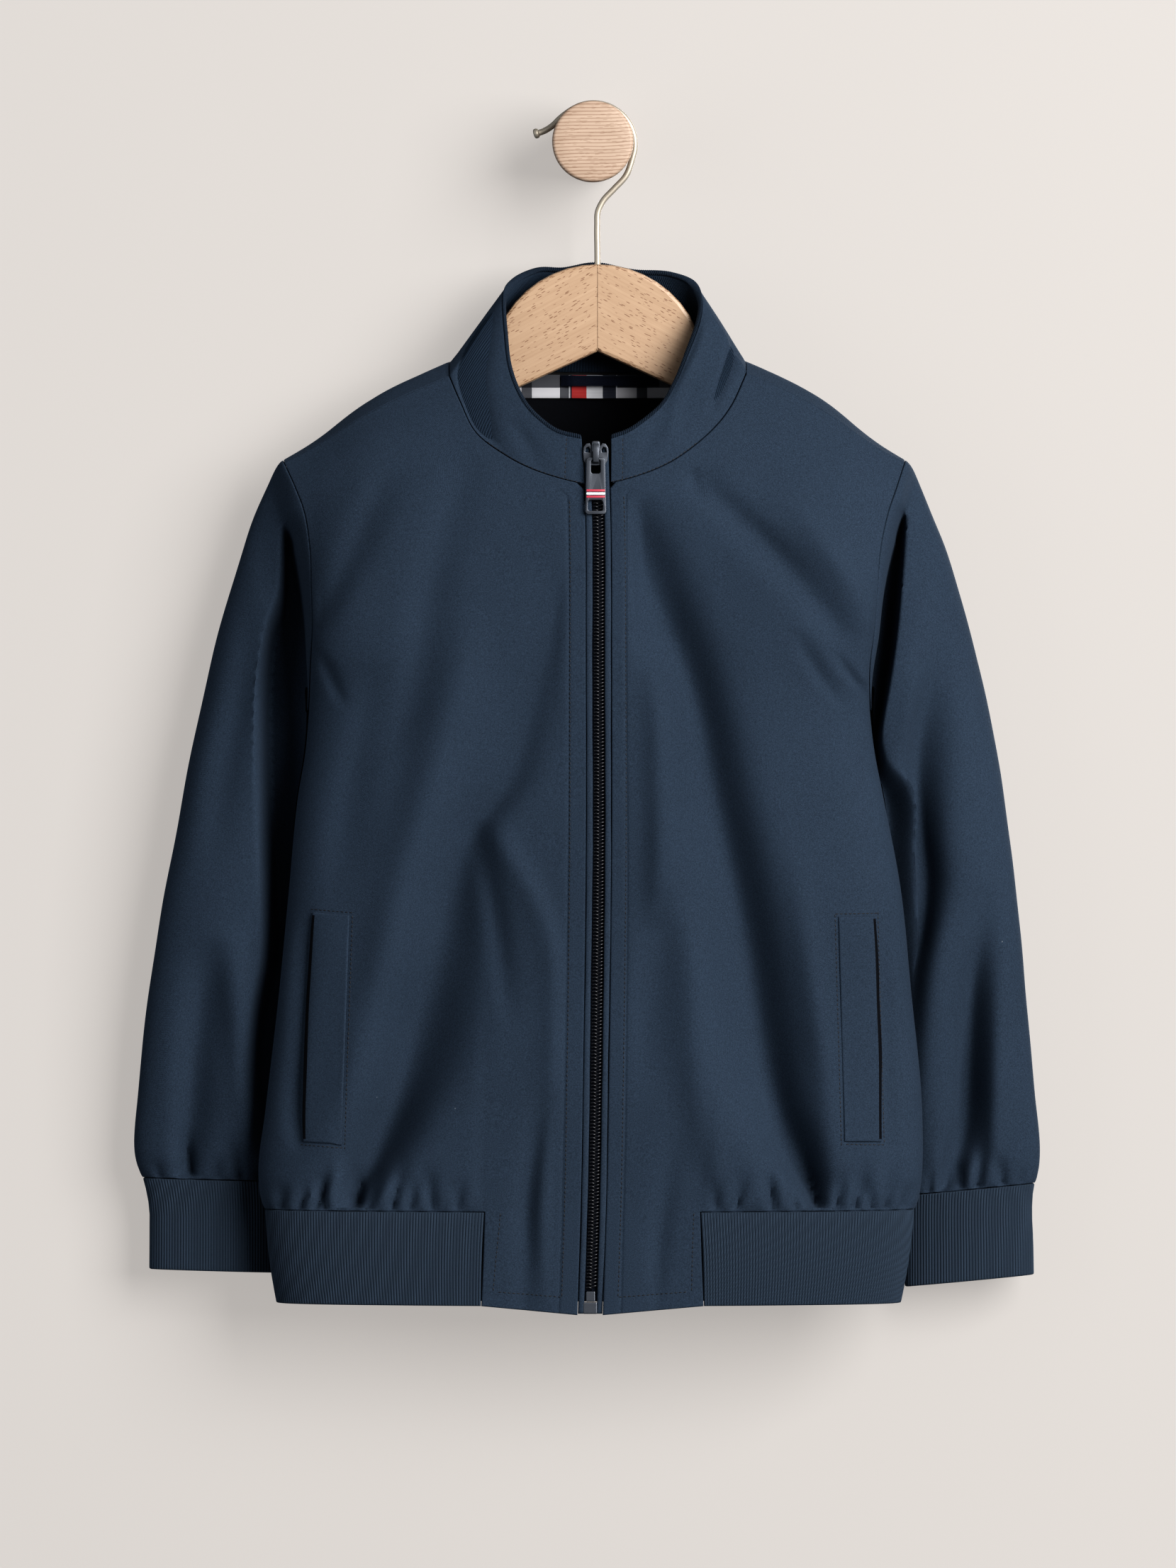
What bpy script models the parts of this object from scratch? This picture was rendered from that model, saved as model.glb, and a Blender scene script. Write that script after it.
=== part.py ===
"""A child's harrington jacket on a wooden hanger, whose hook goes over a round wall peg.

Sizes are millimetres and become metres when a mesh is made. The origin is the centre of the peg's
flat back: the wall is the plane Y = 0, the jacket's front faces -Y and +Z is up. "left" is the
side of negative X. Cloth is made as sheets: a function gives the outer side at (t, f), where t runs
from the hem to the shoulder and f across the piece, and each wall is that sheet and the same
sheet moved in by the cloth's thickness.
"""

import math

import bmesh
import bpy
import numpy as np
from mathutils import Vector
from mathutils.bvhtree import BVHTree

MM = 0.001
SEAM_GAP = 0.3
LAYER_GAP = 0.5  # between the collar's two layers
CLOTH = 1.0  # wall of the shell cloth
RIB = 1.6  # wall of the doubled rib knit
TRIM = 1.0  # loop and facing
LABEL = 0.8
ZIP_HALF = 6.8  # from the zip's middle to the edge of each front
CUFF_DEEP = 49.4
NECK_T = 0.72  # t of the row at the neck seam's middle
ARM_T = 0.52  # t of the row at the underarm
SIDES = {"left": -1.0, "right": 1.0}


# ---------------------------------------------------------------- tables and curves


def table(names, *rows):
    """Named columns from rows of numbers."""
    return dict(zip(names.split(), np.array(rows, float).T))


def read(columns, name, at):
    """One column at each value of the first column, by a cubic through its rows."""
    x = next(iter(columns.values()))
    y = columns[name]
    slope = np.gradient(y, x)
    at = np.clip(at, x[0], x[-1])
    i = np.clip(np.searchsorted(x, at, side="right") - 1, 0, len(x) - 2)
    step = x[i + 1] - x[i]
    u = (at - x[i]) / step
    return (
        y[i] * (1 + 2 * u) * (1 - u) ** 2
        + y[i + 1] * u * u * (3 - 2 * u)
        + step * (slope[i] * u * (1 - u) ** 2 + slope[i + 1] * u * u * (u - 1))
    )


def ease(x):
    """0 below 0, 1 above 1, and smooth between."""
    x = np.clip(x, 0, 1)
    return x * x * (3 - 2 * x)


def unit(v):
    return v / np.maximum(np.linalg.norm(v, axis=-1, keepdims=True), 1e-9)


def points(*coordinates):
    return np.stack(np.broadcast_arrays(*coordinates), axis=-1).astype(float)


# ---------------------------------------------------------------- the cut of the body

CENTRE_FRONT = table(
    "z x y",
    (-632, -1.5, -79.5),
    (-587, 0.0, -81.0),
    (-480, 2.0, -84.0),
    (-382, 3.1, -86.5),
    (-280, 3.1, -87.0),
    (-204, 2.8, -85.5),
    (-162, 1.6, -84.0),
)
CENTRE_BACK = table(
    "z x y",
    (-576, -1.5, -10.0),
    (-450, -1.0, -7.5),
    (-300, 0.0, -6.5),
    (-200, 1.5, -7.5),
    (-150, 2.5, -10.0),
    (-122, 3.0, -13.5),
)
SIDE_SEAM = table(
    "z left right y",
    (-575, -176.6, 173.2, -49.0),
    (-569, -177.6, 174.2, -49.0),
    (-554, -178.7, 176.0, -49.0),
    (-523, -175.7, 176.6, -49.0),
    (-458, -168.8, 171.3, -48.0),
    (-401, -163.5, 165.6, -48.0),
    (-351, -158.6, 156.1, -48.0),
    (-329, -154.9, 151.9, -47.5),
    (-306, -152.9, 149.2, -47.0),
)
NECK_FRONT = table(
    "t left right y z_left z_right",
    (0.72, -3.9, 9.6, -84.9, -185.4, -184.4),
    (0.74, -12.3, 14.3, -84.8, -183.5, -183.5),
    (0.79, -31.7, 31.4, -83.0, -177.4, -178.1),
    (0.84, -47.2, 46.0, -80.0, -169.4, -170.6),
    (0.89, -62.1, 61.8, -74.5, -158.0, -158.0),
    (0.95, -71.6, 74.6, -66.0, -139.8, -142.2),
    (1.00, -77.3, 82.7, -57.0, -126.5, -124.6),
)
NECK_BACK = table(
    "t left right y z_left z_right",
    (0.72, 3.0, 3.0, -13.5, -122.3, -122.3),
    (0.78, -20.0, 26.0, -14.2, -121.9, -121.9),
    (0.84, -42.0, 47.0, -17.0, -120.4, -120.4),
    (0.89, -60.0, 65.0, -23.5, -118.2, -118.2),
    (0.93, -72.0, 77.0, -33.0, -116.8, -116.8),
    (0.96, -76.8, 82.0, -43.0, -118.6, -118.2),
    (1.00, -77.3, 82.7, -57.0, -126.5, -124.6),
)
# turn: how far round to the back the cloth has gone where it meets the armhole
ARMHOLE_FRONT = table(
    "t left right z y turn rise",
    (0.52, -152.9, 149.2, -306.0, -47.0, 90, 0.0),
    (0.60, -151.8, 148.9, -284.0, -60.0, 86, 0.0),
    (0.68, -150.8, 151.5, -262.0, -65.5, 76, 0.0),
    (0.76, -151.4, 153.2, -241.0, -67.5, 58, 0.0),
    (0.84, -152.4, 155.2, -217.5, -66.5, 38, 0.0),
    (0.90, -155.4, 159.2, -199.5, -62.5, 28, 0.0),
    (0.95, -160.5, 163.8, -186.0, -57.5, 20, 0.3),
    (1.00, -166.6, 168.2, -172.8, -48.0, 10, 0.8),
)
ARMHOLE_BACK = table(
    "t left right z y turn rise",
    (0.52, -152.9, 149.2, -306.0, -47.0, 90, 0.0),
    (0.60, -152.6, 149.6, -282.0, -31.0, 80, 0.0),
    (0.68, -153.6, 152.0, -259.0, -24.5, 62, 0.0),
    (0.76, -155.0, 155.2, -237.0, -21.5, 45, 0.0),
    (0.84, -157.0, 158.6, -213.0, -21.0, 35, 0.0),
    (0.90, -160.4, 162.6, -194.0, -24.0, 26, 1.6),
    (0.95, -165.4, 166.8, -176.5, -33.0, 14, 3.2),
    (0.97, -166.8, 168.2, -171.8, -39.0, 4, 3.3),
    (1.00, -166.6, 168.2, -172.8, -48.0, -10, 0.8),
)
HANDLE_IN = 0.50  # of a row's width: how long it stays square to the middle
HANDLE_OUT = 30.0
STEPS = 48  # of the fine line that each row is measured along
HEM_Z = -576.0  # hem seam at the centre front
HEM_SIDE_Z = -575.0
BLOCK_SHARE = 0.283  # share of a front's hem that goes on down as its own block
BLOCK_DEEP = 55.0  # at the zip
BLOCK_FLARE = 1.8  # how far its far edge leans out
CENTRE_SLANT = 1.8  # how far its edge at the zip leans
BAND_DEEP = 50.5  # hem band at the rib, seam to edge
NARROWED = {"left": 6.2, "right": 7.3}  # how far the rib pulls in at its edge
HEM_PUFF = 2.2
CUFF_PUFF = 2.0
LOW_ROWS = [0.0003, 0.0075, 0.019, 0.038, 0.072]
LONG_ROWS = [0.128, 0.184, 0.240, 0.296, 0.352, 0.408, 0.464, ARM_T, 0.56, 0.61, 0.665, NECK_T]
FRONT_ROWS = LOW_ROWS + LONG_ROWS + [0.76, 0.80, 0.845, 0.89, 0.93, 0.965, 0.9994]
BACK_ROWS = LOW_ROWS + LONG_ROWS + [0.76, 0.80, 0.845, 0.89, 0.93, 0.96, 0.9994]
FINE_BELOW = 0.08  # rows below this t have twice the columns
SHARES = np.append(np.linspace(0, BLOCK_SHARE, 6)[:-1], np.linspace(BLOCK_SHARE, 1, 12))
FINE_SHARES = np.sort(np.append(SHARES, (SHARES[1:] + SHARES[:-1]) / 2))
BLOCK_COLUMNS = 11
BLOCK_ROWS = [0.33, 0.66, 1.0]
BACK_SHARES = np.linspace(0, 1, 11)
BACK_FINE_SHARES = np.linspace(0, 1, 21)
RIB_SHARES = np.linspace(BLOCK_SHARE + 0.0018, 1, 12)
RIB_ROWS = [0.003, 0.33, 0.66, 1.0]
SLEEVE_ROWS = [0, 0.02, 0.04, 0.06, 0.09, 0.12, 0.17, 0.24, 0.32, 0.41, 0.50, 0.60, 0.70, 0.80]
SLEEVE_ROWS += [0.90, 0.94, 0.97, 0.99, 0.9996]
FINE_FROM = 0.9  # rings from this v have twice the columns
CUFF_COLUMNS = 28
CUFF_ROWS = [0.15, 6.0, 16.0, 33.0, CUFF_DEEP]


def middle_front(side, z):
    x = read(CENTRE_FRONT, "x", z) + SIDES[side] * ZIP_HALF
    return points(x, read(CENTRE_FRONT, "y", z), z)


def inner_edge(face, side, t):
    """Where a row starts: the front's edge or the middle of the back, then the neck seam."""
    neck = NECK_FRONT if face == "front" else NECK_BACK
    top = neck["z_" + side][0]
    z = HEM_Z + (top - HEM_Z) * np.clip(t / NECK_T, 0, 1)
    if face == "front":
        low = middle_front(side, z)
    else:
        low = points(read(CENTRE_BACK, "x", z), read(CENTRE_BACK, "y", z), z)
    high = points(read(neck, side, t), read(neck, "y", t), read(neck, "z_" + side, t))
    return np.where((t < NECK_T)[..., None], low, high)


def outer_edge(face, side, t):
    """Where a row ends: the side seam, then the armhole."""
    arm = ARMHOLE_FRONT if face == "front" else ARMHOLE_BACK
    z = HEM_SIDE_Z + (arm["z"][0] - HEM_SIDE_Z) * np.clip(t / ARM_T, 0, 1)
    low = points(read(SIDE_SEAM, side, z), read(SIDE_SEAM, "y", z), z)
    high = points(read(arm, side, t), read(arm, "y", t), read(arm, "z", t))
    return np.where((t < ARM_T)[..., None], low, high)


def end_way(face, side, t):
    """The way that a row goes as it reaches its outer end."""
    turn = np.radians(read(ARMHOLE_FRONT if face == "front" else ARMHOLE_BACK, "turn", t))
    back = 1.0 if face == "front" else -1.0
    return points(SIDES[side] * np.cos(turn), back * np.sin(turn), 0.0)


def body_base(face, side, t, f):
    """The smooth outer side of a front or of half the back, at rows t and shares f of a row."""
    shape = np.broadcast(t, f).shape
    t = np.broadcast_to(t, shape).ravel()
    f = np.broadcast_to(f, shape).ravel()
    start = inner_edge(face, side, t)
    end = outer_edge(face, side, t)
    width = np.abs(end[:, 0] - start[:, 0])
    lead = points(SIDES[side] * width * HANDLE_IN, 0.0, 0.0)
    u = np.linspace(0, 1, STEPS + 1)[:, None, None]
    row = (
        start * (1 - u) ** 3
        + (start + lead) * 3 * u * (1 - u) ** 2
        + (end - end_way(face, side, t) * HANDLE_OUT) * 3 * u * u * (1 - u)
        + end * u**3
    )
    steps = np.linalg.norm(np.diff(row, axis=0), axis=2)
    long = np.concatenate([np.zeros((1, len(t))), np.cumsum(steps, axis=0)])
    first = SEAM_GAP / 2 * np.clip((t - NECK_T) / 0.01, 0, 1)
    at = first + f * (long[-1] - first - SEAM_GAP / 2)
    i = np.clip((long <= at).sum(axis=0) - 1, 0, STEPS - 1)
    n = np.arange(len(t))
    part = ((at - long[i, n]) / (long[i + 1, n] - long[i, n]))[:, None]
    p = row[i, n] * (1 - part) + row[i + 1, n] * part
    share = at / long[-1]
    rise = read(ARMHOLE_FRONT if face == "front" else ARMHOLE_BACK, "rise", t)
    p[:, 2] = start[:, 2] + (end[:, 2] - start[:, 2]) * share + rise * 4 * share * (1 - share)
    return p.reshape(shape + (3,))


def slopes(skin, a, b, sign, round_it=False):
    """Unit normals of skin(a, b), whose sign makes them point out of the cloth.

    b goes on past 0 and 1 on a piece that goes all the way round.
    """
    d = 6e-4
    along = skin(np.clip(a + d, 0, 1), b) - skin(np.clip(a - d, 0, 1), b)
    low, high = (b - d, b + d) if round_it else (np.clip(b - d, 0, 1), np.clip(b + d, 0, 1))
    return unit(np.cross(along, skin(a, high) - skin(a, low))) * sign


# ---------------------------------------------------------------- folds

# Each fold runs from a top point to a bottom point, as seen from the front. bow moves its middle
# sideways; deep is how far it goes in, and a negative one is a ridge. head and foot say how much
# of the depth is left at its ends.
FOLD = "x0 z0 x1 z1 bow wide deep head foot"
FOLDS = {
    "front_left": table(
        FOLD,
        (-58, -318, -122, -560, 6, 15, 7.0, 0.1, 0.9),
        (-92, -300, -150, -470, 4, 22, -3.5, 0.1, 0.2),
        (-40, -240, -112, -520, 4, 26, -5.0, 0.2, 0.2),
        (-58, -330, -36, -520, -4, 16, 3.0, 0.2, 0.2),
        (-24, -215, -34, -400, 3, 13, 3.2, 0.2, 0.2),
        (-100, -165, -130, -255, 3, 12, 2.2, 0.1, 0.1),
        (-66, -180, -98, -290, 3, 14, 2.4, 0.1, 0.1),
        (-30, -420, -24, -570, 2, 12, -2.5, 0.2, 0.5),
    ),
    "front_right": table(
        FOLD,
        (22, -215, 122, -572, -16, 15, 7.5, 0.2, 1.0),
        (46, -196, 138, -520, -12, 20, -4.0, 0.2, 0.2),
        (34, -270, 36, -450, 3, 11, 3.6, 0.1, 0.1),
        (28, -330, 78, -560, -4, 22, -4.5, 0.1, 0.4),
        (68, -172, 118, -270, -5, 13, 2.6, 0.1, 0.1),
        (108, -250, 140, -370, -4, 13, 2.6, 0.1, 0.1),
        (40, -186, 30, -215, 0, 8, 2.0, 0.2, 0.1),
    ),
    "back": table(
        FOLD,
        (-30, -190, -118, -540, 8, 22, 5.0, 0.1, 0.5),
        (40, -180, 96, -545, -6, 24, 4.5, 0.1, 0.5),
        (6, -260, -18, -560, 4, 18, 3.0, 0.1, 0.6),
        (-86, -210, -132, -400, 4, 16, 2.5, 0.1, 0.1),
        (96, -220, 136, -430, -4, 16, 2.8, 0.1, 0.1),
    ),
    "sleeve_left": table(
        FOLD,
        (-206, -455, -217, -556, 2, 10, 4.5, 0.1, 0.9),
        (-186, -470, -189, -556, 1, 8, 3.5, 0.1, 0.9),
        (-205, -250, -222, -420, 3, 16, -2.0, 0.1, 0.1),
    ),
    "sleeve_right": table(
        FOLD,
        (187, -285, 166, -420, 4, 11, 8.0, 0.1, 0.3),
        (214, -425, 190, -556, -3, 14, 6.5, 0.1, 0.8),
        (196, -330, 190, -470, 2, 14, -2.5, 0.1, 0.1),
    ),
}
# Gathers above a rib seam: where each stands along the seam, how tall and wide it is, how deep it
# pinches and how far its head leans.
GATHER = "x tall wide deep lean"
GATHERS = {
    "front_left": table(
        GATHER,
        (-168, 14, 5.2, 1.6, 2),
        (-158, 18, 5.2, 2, 6),
        (-149, 30, 5.9, 2.5, 9),
        (-144, 22, 5.2, 2, -4),
        (-128, 36, 6.2, 2.6, -5),
        (-120, 20, 5.2, 2.2, 5),
        (-108, 26, 5.4, 2.2, 6),
        (-98, 18, 5.2, 2, 3),
        (-86, 24, 5.7, 1.8, -3),
        (-73, 16, 5.2, 1.6, 2),
    ),
    "front_right": table(
        GATHER,
        (66, 16, 5.2, 1.8, -2),
        (77, 20, 5.2, 1.8, 3),
        (97, 30, 5.7, 2.4, -5),
        (109, 18, 5.2, 1.8, -3),
        (122, 44, 6.5, 2.7, -9),
        (131, 22, 5.2, 2.2, 4),
        (141, 26, 5.4, 2.2, 5),
        (150, 18, 5.2, 1.8, -4),
        (158, 22, 5.2, 2, 4),
        (167, 14, 5.2, 1.6, 2),
    ),
    "back": table(
        GATHER,
        (-160, 22, 5.7, 2, 5),
        (-143, 34, 6.8, 2.6, -6),
        (-128, 20, 5.7, 2, 3),
        (-110, 38, 6.8, 2.8, 8),
        (-92, 24, 5.9, 2.2, -4),
        (-74, 30, 6.5, 2.4, 5),
        (-55, 18, 5.7, 2, -3),
        (-37, 36, 6.8, 2.8, 6),
        (-18, 24, 5.9, 2.2, -5),
        (3, 30, 6.5, 2.4, 4),
        (22, 20, 5.7, 2, -3),
        (41, 38, 6.8, 2.8, -7),
        (60, 26, 5.9, 2.2, 4),
        (79, 20, 5.7, 2, 3),
        (97, 36, 6.8, 2.8, -7),
        (115, 22, 5.9, 2.2, 5),
        (132, 28, 6.5, 2.4, -4),
        (148, 20, 5.7, 2, 3),
        (162, 18, 5.4, 1.8, -3),
    ),
    "sleeve_left": table(
        GATHER,
        (-234, 10, 5.2, 1.6, -3),
        (-217, 26, 5.7, 2.4, -6),
        (-203, 12, 5.2, 1.4, 2),
        (-190, 20, 5.4, 2.3, -4),
        (-180, 10, 5.2, 1.6, 3),
    ),
    "sleeve_right": table(
        GATHER,
        (181, 14, 5.2, 2, 3),
        (189, 34, 5.9, 2.5, 4),
        (199, 14, 5.2, 1.8, -2),
        (208, 28, 5.7, 2.4, 3),
        (222, 18, 5.2, 2.2, -4),
        (231, 10, 5.2, 1.4, 2),
    ),
}


def each_row(columns):
    """The rows of a table, each as a dict."""
    count = len(next(iter(columns.values())))
    return [{name: column[n] for name, column in columns.items()} for n in range(count)]


def fold_depth(folds, x, z):
    """How far the folds move a point in."""
    deep = np.zeros(np.shape(x))
    for row in each_row(folds):
        ax, az = row["x1"] - row["x0"], row["z1"] - row["z0"]
        long = math.hypot(ax, az)
        along = ((x - row["x0"]) * ax + (z - row["z0"]) * az) / long**2
        off = ((x - row["x0"]) * az - (z - row["z0"]) * ax) / long
        middle = np.clip(along, 0, 1)
        off = off - row["bow"] * 4 * middle * (1 - middle)
        end = row["wide"] / long
        keep = ease((along + end) / (0.3 + end)) * ease((1 + end - along) / (0.3 + end))
        level = row["head"] + (1 - row["head"]) * ease(along / 0.5)
        level = level * (row["foot"] + (1 - row["foot"]) * ease((1 - along) / 0.3))
        deep += row["deep"] * keep * level * np.exp(-((off / row["wide"]) ** 2))
    return deep


def gather_depth(gathers, x, above):
    """How far the gathers over a rib seam move a point in, at a height above that seam."""
    deep = np.zeros(np.shape(x))
    for row in each_row(gathers):
        up = above / row["tall"]
        at = row["x"] + row["lean"] * up
        wide = row["wide"] * (0.7 + 0.9 * np.clip(up, 0, 1.5))
        fade = ease(1.25 - up) * ease(above / 2.5)
        deep += row["deep"] * fade * np.exp(-(((x - at) / wide) ** 2))
    return deep


def puff(above, much):
    """How far cloth swells out over the rib that gathers it."""
    above = np.maximum(above, 0)
    return much * (1 - np.exp(-above / 5)) * np.exp(-above / 60)


def body_skin(face, side):
    """The outer side of a front or of half the back with its folds, and the sign of its normals."""
    name = "front_" + side if face == "front" else "back"
    sign = -SIDES[side] if face == "front" else SIDES[side]

    def base(t, f):
        return body_base(face, side, t, f)

    def skin(t, f):
        p = base(t, f)
        above = p[..., 2] - HEM_SIDE_Z
        if face == "front":
            gathered = ease((f - BLOCK_SHARE) / 0.08)
            edge = ease((f - 0.04) / 0.08)
        else:
            gathered, edge = 1.0, 1.0
        still = ease((1 - f) / 0.10) * ease((1 - t) / 0.08) * edge
        neck = ease(f / 0.12 + ease((NECK_T - t) / 0.05))
        deep = fold_depth(FOLDS[name], p[..., 0], p[..., 2]) * still * neck * ease(above / 3)
        deep = deep + gather_depth(GATHERS[name], p[..., 0], above) * gathered * ease((1 - f) / 0.05)
        out = puff(above, HEM_PUFF) * gathered
        return p + slopes(base, t, f, sign) * (out - deep)[..., None]

    return skin, sign


def body_normals(face, side, t, f):
    """Normals of the folded skin; at the shoulder seam both sides use one shared normal."""
    skin, sign = body_skin(face, side)
    n = slopes(skin, t, f, sign)
    other = "back" if face == "front" else "front"
    other_skin, other_sign = body_skin(other, side)
    shared = unit(n + slopes(other_skin, t, f, other_sign))
    return np.where((t > 0.995)[..., None], shared, n)


# ---------------------------------------------------------------- sleeves

# One row per ring. in_ and out_ are its ends by the body and at the outline; front and back are
# how far it swells; the front stays low until `open` of the way out, and rises over `ramp`.
RING = "v in_x in_z out_x out_z in_y out_y front back bow open ramp"
RINGS = {
    "left": table(
        RING,
        (0.06, -158.0, -308.5, -175.2, -184.6, -45.0, -34, 13, 17, 5, 0.45, 0.6),
        (0.12, -159.5, -313.0, -182.8, -201.7, -45, -30, 15, 19, 4, 0.36, 0.34),
        (0.20, -160.2, -321.8, -189.9, -222.2, -44, -27, 18, 22, 0, 0.22, 0.3),
        (0.30, -160.4, -336.4, -200.6, -257.6, -41, -25, 21, 21, 0, 0.14, 0.28),
        (0.40, -160.8, -357.1, -209.6, -294.4, -37, -24, 22, 20, 0, 0.12, 0.26),
        (0.50, -161.4, -381.8, -217.6, -332.4, -32, -24, 23, 18, 0, 0.10, 0.26),
        (0.60, -162.4, -412.2, -225.8, -376.1, -28, -24, 24, 16, 0, 0.08, 0.26),
        (0.70, -163.7, -445.7, -233.6, -418.7, -25, -24, 23, 14, 0, 0.06, 0.26),
        (0.80, -165.2, -479.9, -240.4, -464.7, -23, -23, 21, 12, 0, 0.02, 0.26),
        (0.90, -166.8, -517.7, -245.0, -513.9, -22, -22, 18, 11, 0, -0.12, 0.3),
        (0.96, -167.6, -545.9, -246.2, -544.7, -21, -21, 15, 10, 0, -0.25, 0.3),
        (1.00, -168.2, -560.9, -243.4, -558.9, -21, -21, 12, 9, 0, -0.30, 0.3),
    ),
    "right": table(
        RING,
        (0.06, 155.6, -308.5, 176.0, -183.6, -45.0, -34, 13, 17, 5, 0.40, 0.5),
        (0.12, 157.2, -313.2, 183.4, -200.9, -45, -30, 16, 19, 3, 0.26, 0.3),
        (0.20, 157.8, -322.7, 191.9, -222.2, -44, -27, 20, 22, 0, 0.12, 0.26),
        (0.30, 158.0, -338.1, 202.6, -258.7, -41, -25, 22, 21, 0, 0.04, 0.24),
        (0.40, 158.6, -359.0, 211.5, -294.4, -37, -24, 23, 20, 0, -0.04, 0.24),
        (0.50, 160.0, -383.7, 219.2, -333.2, -32, -24, 24, 18, 0, -0.10, 0.24),
        (0.60, 161.6, -414.1, 225.5, -376.1, -28, -24, 24, 16, 0, -0.12, 0.24),
        (0.70, 163.5, -446.4, 230.2, -419.8, -25, -24, 23, 14, 0, -0.14, 0.24),
        (0.80, 165.5, -480.6, 234.4, -465.4, -23, -23, 21, 12, 0, -0.16, 0.24),
        (0.90, 167.0, -519.8, 238.3, -513.9, -22, -22, 18, 11, 0, -0.20, 0.24),
        (0.96, 167.9, -550.4, 240.6, -544.7, -21, -21, 15, 10, 0, -0.25, 0.24),
        (1.00, 168.8, -568.4, 239.0, -561.9, -21, -21, 12, 9, 0, -0.30, 0.24),
    ),
}
FIRST_RING = 0.06
BOXY = 0.43  # 0.5 is an oval ring, and less is a flatter one
CUFF = table(
    "down left right",
    (0.0, 0.0, 0.0),
    (6.0, 1.6, -1.0),
    (16.0, 3.4, -1.4),
    (30.0, 3.6, -0.8),
    (CUFF_DEEP, 3.5, -0.4),
)


def armhole(side, u):
    """The armhole at u, from the underarm up its front edge to the shoulder and down its back.

    It gives the point, the way that the sleeve's cloth leaves it, and the row t of the body there.
    """
    front = (u <= 0.5)[..., None]
    t = ARM_T + (1 - ARM_T) * (1 - np.abs(1 - 2 * u))
    at = np.where(front, outer_edge("front", side, t), outer_edge("back", side, t))
    way = np.where(front, end_way("front", side, t), end_way("back", side, t))
    start = np.where(front, inner_edge("front", side, t), inner_edge("back", side, t))
    fall = (at[..., 2] - start[..., 2]) / np.maximum(np.abs(at[..., 0] - start[..., 0]), 1)
    way[..., 2] = fall * np.abs(way[..., 0])
    low = ease((0.8 - t) / 0.28)[..., None]
    outward = points(SIDES[side] * np.ones(np.shape(u)), 0.0, -0.2)
    return at, unit(unit(way) * (1 - low) + outward * low), t


def ring_share(side, u, v):
    """How far out u is on its ring: as high as on the armhole at first, and then even."""
    height = armhole(side, u)[0][..., 2]
    low, high = ARMHOLE_FRONT["z"][0], ARMHOLE_FRONT["z"][-1]
    by_height = np.clip((height - low) / (high - low), 0, 1)
    even = (1 - np.cos(2 * np.pi * u)) / 2
    return by_height + (even - by_height) * ease((v - FIRST_RING) / 0.3)


def ring(side, u, v):
    """The smooth outer side of the sleeve past its first ring."""
    rows = RINGS[side]
    share = ring_share(side, u, v)
    swell = np.sin(np.pi * share) ** BOXY
    lift = 0.2 + 0.8 * ease((share - read(rows, "open", v)) / read(rows, "ramp", v))
    lift = np.minimum(lift + 0.4 * np.exp(-((share / 0.14) ** 2)), 1)
    x = read(rows, "in_x", v) * (1 - share) + read(rows, "out_x", v) * share
    y = read(rows, "in_y", v) * (1 - share) + read(rows, "out_y", v) * share
    z = read(rows, "in_z", v) * (1 - share) + read(rows, "out_z", v) * share
    bow = read(rows, "bow", v) * np.where(u <= 0.5, 1.0, 0.1)
    x = x - SIDES[side] * bow * np.sin(np.pi * share)
    y = y + np.where(u <= 0.5, -read(rows, "front", v) * lift, read(rows, "back", v)) * swell
    return points(x, y, z)


def sleeve_base(side, v, u):
    """The smooth outer side of a sleeve, at rings v and shares u of a ring."""
    shape = np.broadcast(v, u).shape
    v = np.broadcast_to(v, shape)
    u = np.broadcast_to(u, shape) % 1.0
    step = 0.004
    a, way, t = armhole(side, u)
    a = a + way * SEAM_GAP / 2
    b = ring(side, u, np.full(shape, FIRST_RING))
    slope = (ring(side, u, np.full(shape, FIRST_RING + step)) - b) / step * FIRST_RING
    high = ease((t - 0.55) / 0.2)
    reach = np.where(u <= 0.5, 6 + 26 * high - 20 * ease((t - 0.88) / 0.1), 6 + 6 * high)
    w = np.clip(v / FIRST_RING, 0, 1)[..., None]
    cap = (
        a * (1 + 2 * w) * (1 - w) ** 2
        + b * w * w * (3 - 2 * w)
        + way * reach[..., None] * w * (1 - w) ** 2
        + slope * w * w * (w - 1)
    )
    return np.where((v < FIRST_RING)[..., None], cap, ring(side, u, v))


def sleeve_skin(side):
    """The outer side of a sleeve with its folds, and the sign of its normals."""
    name = "sleeve_" + side
    sign = SIDES[side]

    def base(v, u):
        return sleeve_base(side, v, u)

    def skin(v, u):
        p = base(v, u)
        above = p[..., 2] - cuff_seam_z(side, p[..., 0])
        deep = fold_depth(FOLDS[name], p[..., 0], p[..., 2])
        deep = np.where(u % 1.0 <= 0.5, deep, -0.4 * deep) * np.abs(np.sin(2 * np.pi * u))
        deep = deep * ease((v - FIRST_RING) / 0.1) * ease(above / 3)
        deep = deep + gather_depth(GATHERS[name], p[..., 0], above) * np.sin(2 * np.pi * u) ** 2
        out = puff(above, CUFF_PUFF)
        return p + slopes(base, v, u, sign, True) * (out - deep)[..., None]

    return skin, sign


def cuff_seam_z(side, x):
    """Height of the cuff seam across the sleeve."""
    rows = RINGS[side]
    share = (x - rows["in_x"][-1]) / (rows["out_x"][-1] - rows["in_x"][-1])
    return rows["in_z"][-1] + (rows["out_z"][-1] - rows["in_z"][-1]) * share


# ---------------------------------------------------------------- sheets and walls


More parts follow.
